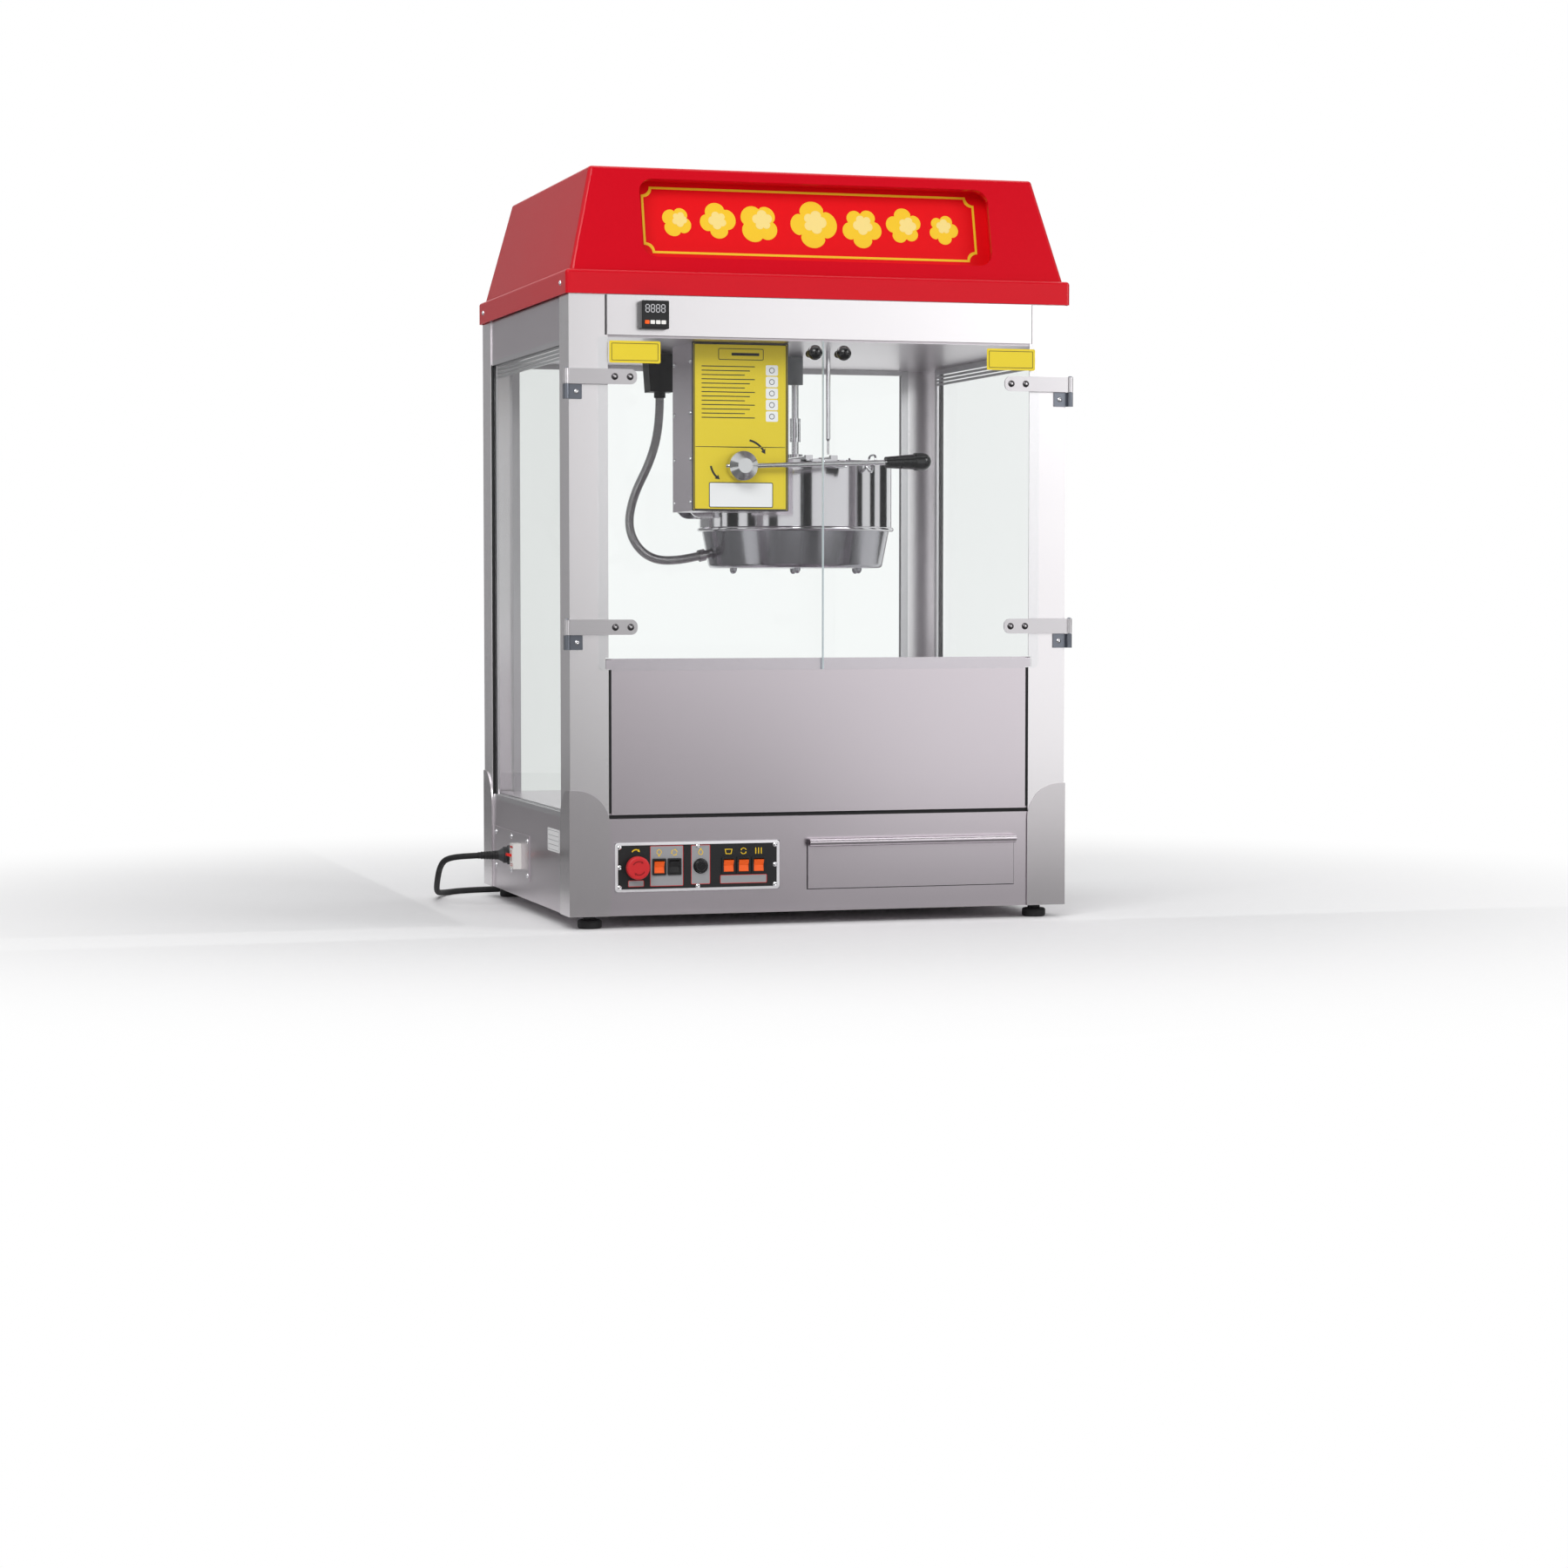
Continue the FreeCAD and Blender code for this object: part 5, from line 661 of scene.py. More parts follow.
def printed(name: str, plane: Plane, loops: Iterable[Sequence[Point2]], thick: float, finish: Finish,
            body: str, bevel: float = 0.0, lift: float = 0.0) -> bpy.types.Object:
    """A flat piece on a face, cut to closed loops, in millimetres. Loops inside loops are holes.

    Args:
        name: Name of the piece.
        plane: The face.
        loops: Closed outlines in the face's coordinates.
        thick: Thickness.
        finish: Its surface.
        body: CAD body it rides on.
        bevel: Width of the rounding of its outer edges.
        lift: Height of its back over the face.
    Returns:
        The piece.
    """
    curve = bpy.data.curves.new(name, "CURVE")
    curve.dimensions = "2D"
    curve.fill_mode = "BOTH"
    curve.extrude = thick * MM / 2
    for loop in loops:
        spline = curve.splines.new("POLY")
        spline.points.add(len(loop) - 1)
        for point, (x, y) in zip(spline.points, loop):
            point.co = (x * MM, y * MM, 0.0, 1.0)
        spline.use_cyclic_u = True
    helper = bpy.data.objects.new(name, curve)
    bpy.context.scene.collection.objects.link(helper)
    mesh = plain_mesh(helper)
    bpy.data.curves.remove(curve)
    if bevel:
        round_edges(mesh, bevel * MM)
    out = Matrix.Translation((0.0, 0.0, (thick / 2 + lift + SKIN) * MM))
    mesh.transform(plane.matrix() @ out)
    return finished(name, mesh, finish, body)


def round_edges(mesh: bpy.types.Mesh, width: float) -> None:
    """Rounds the rim edges of a flat piece.

    Args:
        mesh: The piece, flat across Z.
        width: Width of the rounding, in metres.
    """
    level, steep = 1e-7, 1.0
    work = bmesh.new()
    work.from_mesh(mesh)
    top = max(v.co.z for v in work.verts)
    rim = [e for e in work.edges if all(abs(v.co.z - top) < level for v in e.verts)
           and len(e.link_faces) == 2 and e.calc_face_angle() > steep]
    bmesh.ops.bevel(work, geom=rim, offset=width, segments=3, profile=0.5, affect="EDGES")
    work.to_mesh(mesh)
    work.free()


def lathed(profile: Sequence[Point2], foot: Vector, axis: Vector, steps: int = 48) -> bpy.types.Mesh:
    """A closed body of revolution.

    Args:
        profile: (radius, height) points in millimetres from the axis to the axis, or a closed ring.
        foot: Where height 0 lies, in metres.
        axis: Direction of the height.
        steps: Sides round the axis.
    Returns:
        The mesh.
    """
    work = bmesh.new()
    closed = profile[0][0] > 0
    turns = [2 * math.pi * i / steps for i in range(steps)]
    rings = []
    for radius, height in profile:
        if radius <= 0:
            rings.append([work.verts.new((0.0, 0.0, height * MM))] * steps)
            continue
        rings.append([work.verts.new((radius * MM * math.cos(t), radius * MM * math.sin(t), height * MM))
                      for t in turns])
    for low, high in zip(rings, rings[1:] + rings[:1] if closed else rings[1:]):
        for i in range(steps):
            j = (i + 1) % steps
            corners = list(dict.fromkeys((low[i], low[j], high[j], high[i])))
            if len(corners) > 2:
                work.faces.new(corners)
    bmesh.ops.recalc_face_normals(work, faces=work.faces)
    mesh = bpy.data.meshes.new("turned")
    work.to_mesh(mesh)
    work.free()
    turn = UP.rotation_difference(axis).to_matrix().to_4x4()
    mesh.transform(Matrix.Translation(foot) @ turn)
    return mesh


def joined(meshes: Sequence[bpy.types.Mesh]) -> bpy.types.Mesh:
    """Joins meshes.

    Args:
        meshes: The meshes, which are removed.
    Returns:
        One mesh with all of them.
    """
    work = bmesh.new()
    for mesh in meshes:
        work.from_mesh(mesh)
        bpy.data.meshes.remove(mesh)
    total = bpy.data.meshes.new("joined")
    work.to_mesh(total)
    work.free()
    return total


def nurbs(name: str, points: Sequence[Vector]) -> bpy.types.Object:
    """A smooth open curve led by control points, linked to the scene.

    Args:
        name: Name of the curve.
        points: Control points in metres.
    Returns:
        The curve object.
    """
    curve = bpy.data.curves.new(name, "CURVE")
    curve.dimensions = "3D"
    curve.resolution_u = 12
    spline = curve.splines.new("NURBS")
    spline.points.add(len(points) - 1)
    for control, point in zip(spline.points, points):
        control.co = (*point, 1.0)
    spline.order_u = 3
    spline.use_endpoint_u = True
    made = bpy.data.objects.new(name, curve)
    bpy.context.scene.collection.objects.link(made)
    return made


def thicken(line: bpy.types.Object, radius: float, roundness: int) -> None:
    """Makes a curve a round bar with closed ends.

    Args:
        line: The curve object.
        radius: Radius of the bar in millimetres.
        roundness: Steps of its round section.
    """
    line.data.bevel_depth = radius * MM
    line.data.bevel_resolution = roundness
    line.data.use_fill_caps = True


def wire_mesh(points: Sequence[Point3], radius: float) -> bpy.types.Mesh:
    """A bent round wire with closed ends.

    Args:
        points: Control points in millimetres.
        radius: Radius of the wire in millimetres.
    Returns:
        The mesh.
    """
    helper = nurbs("wire", [at(*point) for point in points])
    thicken(helper, radius, 4)
    return plain_mesh(helper)


# Geometry node trees


HOSE_SIDES = 28
RIB_SIDES = 8


class NodeModel:
    """A geometry node tree that is built by short calls and run on a helper object."""

    def __init__(self, name: str, inputs: dict[str, str]) -> None:
        """Makes a tree with a geometry input and named inputs.

        Args:
            name: Name of the tree.
            inputs: Kind of socket by the name of the input.
        """
        self.tree = bpy.data.node_groups.new(name, "GeometryNodeTree")
        self.keys: dict[str, str] = {}
        sockets = self.tree.interface
        sockets.new_socket(name="Geometry", in_out="INPUT", socket_type="NodeSocketGeometry")
        sockets.new_socket(name="Geometry", in_out="OUTPUT", socket_type="NodeSocketGeometry")
        for label, kind in inputs.items():
            made = sockets.new_socket(name=label, in_out="INPUT", socket_type="NodeSocket" + kind)
            self.keys[label] = made.identifier
        self.source = self.tree.nodes.new("NodeGroupInput")

    def given(self, label: str) -> bpy.types.NodeSocket:
        """One of the tree's named inputs."""
        return self.source.outputs[label]

    def node(self, kind: str, settings: dict, inputs: dict) -> bpy.types.Node:
        """Makes one node.

        Args:
            kind: The node's type.
            settings: Attributes, set before the sockets.
            inputs: Socket values, links or lists of links by socket name or number.
        Returns:
            The node.
        """
        made = self.tree.nodes.new(kind)
        for key, value in settings.items():
            setattr(made, key, value)
        for key, value in inputs.items():
            if isinstance(value, (list, bpy.types.NodeSocket)):
                for link in value if isinstance(value, list) else [value]:
                    self.tree.links.new(link, made.inputs[key])
            else:
                made.inputs[key].default_value = value
        return made

    def end(self, geometry: bpy.types.NodeSocket) -> None:
        """Closes the tree with realized instances and the finish.

        Args:
            geometry: What the tree has made.
        """
        real = self.node("GeometryNodeRealizeInstances", {}, {"Geometry": geometry})
        painted = self.node("GeometryNodeSetMaterial", {}, {
            "Geometry": real.outputs["Geometry"], "Material": self.given("Finish")})
        self.node("NodeGroupOutput", {}, {"Geometry": painted.outputs["Geometry"]})

    def run(self, helper: bpy.types.Object, values: dict) -> bpy.types.Mesh:
        """Runs the tree on a helper object.

        Args:
            helper: The object, which is removed.
            values: Values of the named inputs.
        Returns:
            The plain mesh.
        """
        modifier = helper.modifiers.new("model", "NODES")
        modifier.node_group = self.tree
        for label, value in values.items():
            modifier[self.keys[label]] = value
        return plain_mesh(helper)


def scatter_model() -> NodeModel:
    """A tree that sets a part on every point of a mesh, turned by the point's own angles.

    Returns:
        The tree, with the part, the largest spin, a seed and the finish as inputs.
    """
    model = NodeModel("scatter_parts", {
        "Part": "Object", "Spin": "Float", "Seed": "Int", "Finish": "Material"})
    part = model.node("GeometryNodeObjectInfo", {}, {"Object": model.given("Part"), "As Instance": True})
    turn = model.node("GeometryNodeInputNamedAttribute", {"data_type": "FLOAT_VECTOR"}, {"Name": "turn"})
    spots = model.node("GeometryNodeInstanceOnPoints", {}, {
        "Points": model.given("Geometry"), "Instance": part.outputs["Geometry"],
        "Rotation": turn.outputs["Attribute"]})
    chance = model.node("FunctionNodeRandomValue", {"data_type": "FLOAT"}, {
        2: 0.0, 3: model.given("Spin"), "Seed": model.given("Seed")})
    about = model.node("ShaderNodeCombineXYZ", {}, {"Z": chance.outputs[1]})
    spun = model.node("GeometryNodeRotateInstances", {}, {
        "Instances": spots.outputs["Instances"], "Rotation": about.outputs["Vector"], "Local Space": True})
    model.end(spun.outputs["Instances"])
    return model


def hose_model() -> NodeModel:
    """A tree that makes a ribbed hose along a curve.

    Returns:
        The tree, with the pitch of the ribs, the radii of core and rib and the finish as inputs.
    """
    model = NodeModel("ribbed_hose", {
        "Pitch": "Float", "Core": "Float", "Rib": "Float", "Finish": "Material"})
    line = model.node("GeometryNodeResampleCurve", {"mode": "LENGTH"}, {
        "Curve": model.given("Geometry"), "Length": model.given("Pitch")})
    core = model.node("GeometryNodeCurvePrimitiveCircle", {}, {
        "Resolution": HOSE_SIDES, "Radius": model.given("Core")})
    tube = model.node("GeometryNodeCurveToMesh", {}, {
        "Curve": line.outputs["Curve"], "Profile Curve": core.outputs["Curve"], "Fill Caps": True})
    thread = model.node("GeometryNodeCurvePrimitiveCircle", {}, {
        "Resolution": RIB_SIDES, "Radius": model.given("Rib")})
    rib = model.node("GeometryNodeCurveToMesh", {}, {
        "Curve": core.outputs["Curve"], "Profile Curve": thread.outputs["Curve"]})
    spots = model.node("GeometryNodeCurveToPoints", {"mode": "LENGTH"}, {
        "Curve": model.given("Geometry"), "Length": model.given("Pitch")})
    ribs = model.node("GeometryNodeInstanceOnPoints", {}, {
        "Points": spots.outputs["Points"], "Instance": rib.outputs["Mesh"],
        "Rotation": spots.outputs["Rotation"]})
    both = model.node("GeometryNodeJoinGeometry", {}, {
        "Geometry": [tube.outputs["Mesh"], ribs.outputs["Instances"]]})
    model.end(both.outputs["Geometry"])
    return model


@dataclass(frozen=True)
class Spot:
    """A place on a face for a scattered part.

    Attributes:
        place: Point in metres.
        out: Way out of the face.
    """

    place: Vector
    out: Vector


def scattered(model: NodeModel, part: bpy.types.Mesh, spots: Sequence[Spot], finish: Finish,
              seed: int, spin: float = math.pi) -> bpy.types.Mesh:
    """Sets copies of a part on faces.

    Args:
        model: The scatter tree.
        part: A mesh whose local Z is the way out of the face.
        spots: Places.
        finish: Surface of the copies.
        seed: Seed of the copies' spin.
        spin: Largest turn of a copy about its axis, in radians.
    Returns:
        One mesh with all copies.
    """
    points = bpy.data.meshes.new("spots")
    points.from_pydata([s.place for s in spots], [], [])
    turns = points.attributes.new("turn", "FLOAT_VECTOR", "POINT")
    for item, spot in zip(turns.data, spots):
        item.vector = UP.rotation_difference(spot.out).to_euler()
    helper = bpy.data.objects.new("spots", points)
    sample = bpy.data.objects.new("part", part)
    for made in (helper, sample):
        bpy.context.scene.collection.objects.link(made)
    values = {"Part": sample, "Spin": spin, "Seed": seed, "Finish": finish.material()}
    mesh = model.run(helper, values)
    bpy.data.objects.remove(sample)
    return mesh


@dataclass(frozen=True)
class ScrewHead:
    """A pan head with a round socket, in millimetres.

    Attributes:
        radius: Radius of the head.
        height: Height of the head.
        root: Depth of its foot in the face.
        dome: Angles in degrees of the points of its round side.
        socket_share: Radius of the socket, as a share of the head's.
        socket: Points of the socket, in its own radius and the head's height.
    """

    radius: float
    height: float
    root: float = 0.4
    dome: tuple[float, ...] = (0, 20, 40, 58)
    socket_share: float = 0.36
    socket: tuple[Point2, ...] = ((1.15, 0.94), (1.0, 0.88), (0.9, 0.35), (0.0, 0.3))

    def mesh(self) -> bpy.types.Mesh:
        """Makes the head.

        Returns:
            Its mesh, standing on the origin.
        """
        turns = [math.radians(turn) for turn in self.dome]
        rise = [(self.radius * math.cos(t), self.height * math.sin(t)) for t in turns]
        wide = self.socket_share * self.radius
        well = [(wide * across, self.height * up) for across, up in self.socket]
        profile = [(0, -self.root), (self.radius, -self.root), *rise, *well]
        return lathed(profile, Vector((0, 0, 0)), UP, 24)


# Sub-assemblies


def facing(place: Point3, aim: Point3, axis: str = "Z") -> Euler:
    """The turn that points an axis of something at a place towards a target."""
    return (Vector(aim) - Vector(place)).to_track_quat(axis, "Y").to_euler()


@dataclass(frozen=True)
class Lamp:
    """A soft rectangular lamp.

    Attributes:
        name: Its name.
        place: Where it hangs, in metres.
        aim: What it points at.
        size: Width and height.
        watts: Its power.
    """

    name: str
    place: Point3
    aim: Point3
    size: Point2
    watts: float

    def hang(self) -> None:
        """Makes the lamp."""
        light = bpy.data.lights.new(self.name, "AREA")
        light.shape = "RECTANGLE"
        light.size, light.size_y = self.size
        light.energy = self.watts
        lamp = bpy.data.objects.new(self.name, light)
        lamp.location = self.place
        lamp.rotation_euler = facing(self.place, self.aim, "-Z")
        bpy.context.scene.collection.objects.link(lamp)


@dataclass(frozen=True)
class Card:
    """A dark card that only polished surfaces see.

    Attributes:
        name: Its name.
        place: Its middle, in metres.
        half: Half its width and height.
        shade: Its grey.
        aim: What it faces, or None for a card that lies on the floor.
        turn_deg: Turn of a card on the floor.
    """

    name: str
    place: Point3
    half: Point2
    shade: float
    aim: Optional[Point3] = None
    turn_deg: float = 0.0

    def stand(self) -> None:
        """Makes the card."""
        flat = Euler((0.0, 0.0, math.radians(self.turn_deg)))
        card = sheet(self.name, *self.half)
        card.location = self.place
        card.rotation_euler = facing(self.place, self.aim) if self.aim else flat
        card.visible_camera = False
        card.visible_diffuse = False
        card.visible_transmission = False
        card.visible_shadow = False
        grey = Finish("card_%g" % self.shade, (self.shade, self.shade, self.shade), 0.8)
        card.data.materials.append(grey.material())


def sheet(name: str, x: float, y: float) -> bpy.types.Object:
    """A flat rectangle of the set.

    Args:
        name: Its name.
        x, y: Half its sides, in metres.
    Returns:
        The object, at the origin.
    """
    mesh = bpy.data.meshes.new(name)
    mesh.from_pydata([(-x, -y, 0), (x, -y, 0), (x, y, 0), (-x, y, 0)], [], [(0, 1, 2, 3)])
    made = bpy.data.objects.new(name, mesh)
    bpy.context.scene.collection.objects.link(made)
    return made


@dataclass
class Studio:
    """Camera, floor, lamps and reflecting cards around the object. Lengths are in metres."""

    lens: float = 79.09
    sensor: float = 36.0
    eye: Point3 = (-1.7607, -6.0765, 0.577)
    tilt_deg: float = 86.83
    yaw_deg: float = -16.43
    view_depth: float = 100.0
    fill_light: tuple[float, ...] = (0.38, 0.38, 0.39, OPAQUE)
    floor_half: float = 30.0
    floor_dark: tuple[float, ...] = (0.90, 0.90, 0.90, OPAQUE)
    floor_pale: tuple[float, ...] = (0.93, 0.93, 0.93, OPAQUE)
    floor_roughness: float = 0.7
    floor_grain: float = 40.0
    floor_fade: Point2 = (0.7, 2.2)
    lamps: tuple[Lamp, ...] = (
        Lamp("key", (-1.9, -3.4, 3.0), (0.0, -0.1, 0.75), (2.6, 1.8), 95.0),
        Lamp("fill", (2.7, -2.9, 2.1), (0.0, -0.1, 0.7), (1.8, 1.8), 40.0),
        Lamp("top", (0.2, 0.6, 3.6), (0.0, 0.0, 1.2), (3.2, 3.2), 40.0),
    )
    cards: tuple[Card, ...] = (
        Card("carpet_near", (0.5, -1.15, 0.004), (2.1, 0.75), 0.18),
        Card("carpet_far", (0.25, -5.1, 0.004), (1.2, 3.1), 0.08, turn_deg=17.0),
        Card("carpet_left", (-2.0, 2.4, 0.004), (1.4, 2.6), 0.26),
        Card("dark_above", (1.3, -3.9, 4.0), (2.6, 1.3), 0.03, (0.0, -0.3, 1.2)),
        Card("dark_back", (-2.4, 4.2, 1.4), (2.0, 2.2), 0.48, (-0.5, 0.0, 1.2)),
    )
    strips: tuple[Point2, ...] = ((-96, 0.8), (-68, 0.6), (-42, 0.5), (-3, 0.6), (60, 0.9), (88, 0.4),
                                  (114, 0.9))
    strip_distance: float = 5.0
    strip_middle: float = 1.6
    strip_shade: float = 0.02

    def build(self) -> None:
        """Makes the camera."""
        camera = bpy.data.cameras.new("camera")
        camera.lens = self.lens
        camera.sensor_width = self.sensor
        camera.clip_end = self.view_depth
        view = bpy.data.objects.new("camera", camera)
        view.location = self.eye
        view.rotation_euler = Euler((math.radians(self.tilt_deg), 0.0, math.radians(self.yaw_deg)))
        bpy.context.scene.collection.objects.link(view)
        bpy.context.scene.camera = view
        bpy.context.scene.view_settings.view_transform = "Standard"

    def dress(self) -> None:
        """Makes the world, the floor, the lamps and the cards."""
        self.world()
        self.floor()
        for lamp in self.lamps:
            lamp.hang()
        for card in self.cards:
            card.stand()
        for turn, half in self.strips:
            angle = math.radians(turn)
            x, y = self.strip_distance * math.sin(angle), -self.strip_distance * math.cos(angle)
            strip = Card("dark_strip_%d" % turn, (x, y, self.strip_middle), (half, self.strip_middle),
                         self.strip_shade, (0.0, 0.0, self.strip_middle))
            strip.stand()

    def world(self) -> None:
        """A white surround for what the camera, metal and glass see, and a softer one for fill light."""
        world = bpy.data.worlds.new("surround")
        bpy.context.scene.world = world
        world.use_nodes = True
        graph = Graph(world.node_tree)
        colour = graph.blend(graph.seen(), self.fill_light, WHITE_LIGHT)
        light = graph.node("ShaderNodeBackground", {}, {"Color": colour, "Strength": 1.0})
        graph.node("ShaderNodeOutputWorld", {}, {"Surface": light})

    def floor(self) -> None:
        """A pale floor that keeps the object's shadow and fades into the white surround."""
        floor = sheet("floor", self.floor_half, self.floor_half)
        material = bpy.data.materials.new("look_floor")
        material.use_nodes = True
        graph = Graph(material.node_tree)
        where = graph.place()
        speck = graph.noise(where, self.floor_grain, BROAD_DETAIL)
        pale = graph.blend(speck, self.floor_dark, self.floor_pale)
        body = graph.node("ShaderNodeBsdfPrincipled", {}, {
            "Base Color": pale, "Roughness": self.floor_roughness})
        glow = graph.node("ShaderNodeEmission", {}, {"Color": WHITE_LIGHT, "Strength": 1.0})
        reach = graph.length(where).ramp(*self.floor_fade)
        both = graph.node("ShaderNodeMixShader", {}, {0: reach * graph.seen(), 1: body, 2: glow})
        graph.node("ShaderNodeOutputMaterial", {}, {"Surface": both})
        floor.data.materials.append(material)


@dataclass
class PowerCord:
    """Mains cord with its strain relief, and the CAD nodes at its ends. Sizes are in millimetres."""

    radius: float = 5.5
    length_m: float = 2.55
    floor_gap: float = 0.1
    lead: tuple[Point3, ...] = ((-535, 108, 98.25), (-571, 144, 92), (-574, 196, 74), (-568, 258, 41),
                                (-556, 330, 13))
    lead_on_floor: tuple[Point2, ...] = ((-530, 402), (-484, 444), (-412, 456))
    lead_to_coil: tuple[float, ...] = (-333, -261)
    coil_x: float = -250.0
    coil_y: float = 527.0
    coil_z: float = 7.8
    coil_radius: float = 78.0
    coil_step: float = 12.0
    coil_turns: float = 4.5
    climb_turns: float = 0.5
    tail: float = 50.0
    marks_per_turn: int = 24
    roundness: int = 5
    relief_play: float = 0.15
    relief_foot: float = 8.6
    relief_tip: float = 6.2
    relief_length: float = 36.0
    rib_count: int = 6
    rib_pitch: float = 5.0
    rib_radius: float = 8.4
    rib_taper: float = 0.3
    rib: tuple[Point2, ...] = ((0.0, 3.0), (0.0, 5.6), (0.9, 6.2), (1.0, 7.4))

    def exit(self) -> Vector:
        """Where the cord leaves the gland."""
        gland = Span.of("cord_connector")
        return at(gland.left, gland.middle.y, Span.of("inlet_plate").middle.z)

    def coil_place(self, turns: float) -> Vector:
        """A point of the coil.

        Args:
            turns: Turns from its start.
        Returns:
            The point in metres.
        """
        inward = min(turns, self.coil_turns - turns)
        radius = self.coil_radius - self.coil_step * inward
        start = (self.coil_turns - self.climb_turns) / 2
        share = min(max((turns - start) / self.climb_turns, 0.0), 1.0)
        height = self.coil_z + self.coil_step * (1 - math.cos(math.pi * share)) / 2
        angle = 2 * math.pi * turns - math.pi / 2
        return at(self.coil_x + radius * math.cos(angle), self.coil_y + radius * math.sin(angle), height)

    def route(self) -> list[Vector]:
        """The cord's way from the gland to the plug.

        Returns:
            Control points in metres.
        """
        floor = self.radius + self.floor_gap
        lead = [self.exit(), *(at(*point) for point in self.lead)]
        lead += [at(x, y, floor) for x, y in self.lead_on_floor]
        lead += [at(x, self.coil_y - self.coil_radius, self.coil_z) for x in self.lead_to_coil]
        steps = int(self.coil_turns * self.marks_per_turn)
        coil = [self.coil_place(i / self.marks_per_turn) for i in range(steps + 1)]
        return lead + coil + [coil[-1] + LEFT * (self.tail * MM)]

    def relief(self) -> bpy.types.Object:
        """The ribbed sleeve where the cord leaves the gland.

        Returns:
            The piece.
        """
        bore = self.radius + self.relief_play
        profile = [(bore, 0.0), (self.relief_foot, 0.0)]
        for i in range(self.rib_count):
            wide = self.rib_radius - self.rib_taper * i
            profile += [(wide - depth, height + self.rib_pitch * i) for depth, height in self.rib]
        profile += [(self.relief_tip, self.relief_length), (bore, self.relief_length)]
        mesh = lathed(profile, self.exit(), LEFT)
        return finished("strain_relief", mesh, SATIN_BLACK, "cabinet")

    def build(self) -> None:
        """Makes the cord and its strain relief."""
        cord = nurbs("power_cord", self.route())
        thicken(cord, self.radius, self.roundness)
        cord.data.materials.append(RUBBER_AND_SHADE.material())
        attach(cord, "cabinet")
        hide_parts("power_cord_lead", "power_cord_coil")
        ends = [self.relief(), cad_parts["mains_plug"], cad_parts["cord_tie"]]
        self.exit()
        LOG.info("piece power_cord on cabinet with %s", RUBBER_AND_SHADE.name)

    def dress(self) -> None:
        """Finishes of the CAD nodes at the cord's ends."""
        dress(GLAND_GREY, "cord_connector")
        dress(SATIN_BLACK, "mains_plug")
        dress(RUBBER_AND_SHADE, "cord_tie", "power_cord_lead", "power_cord_coil")


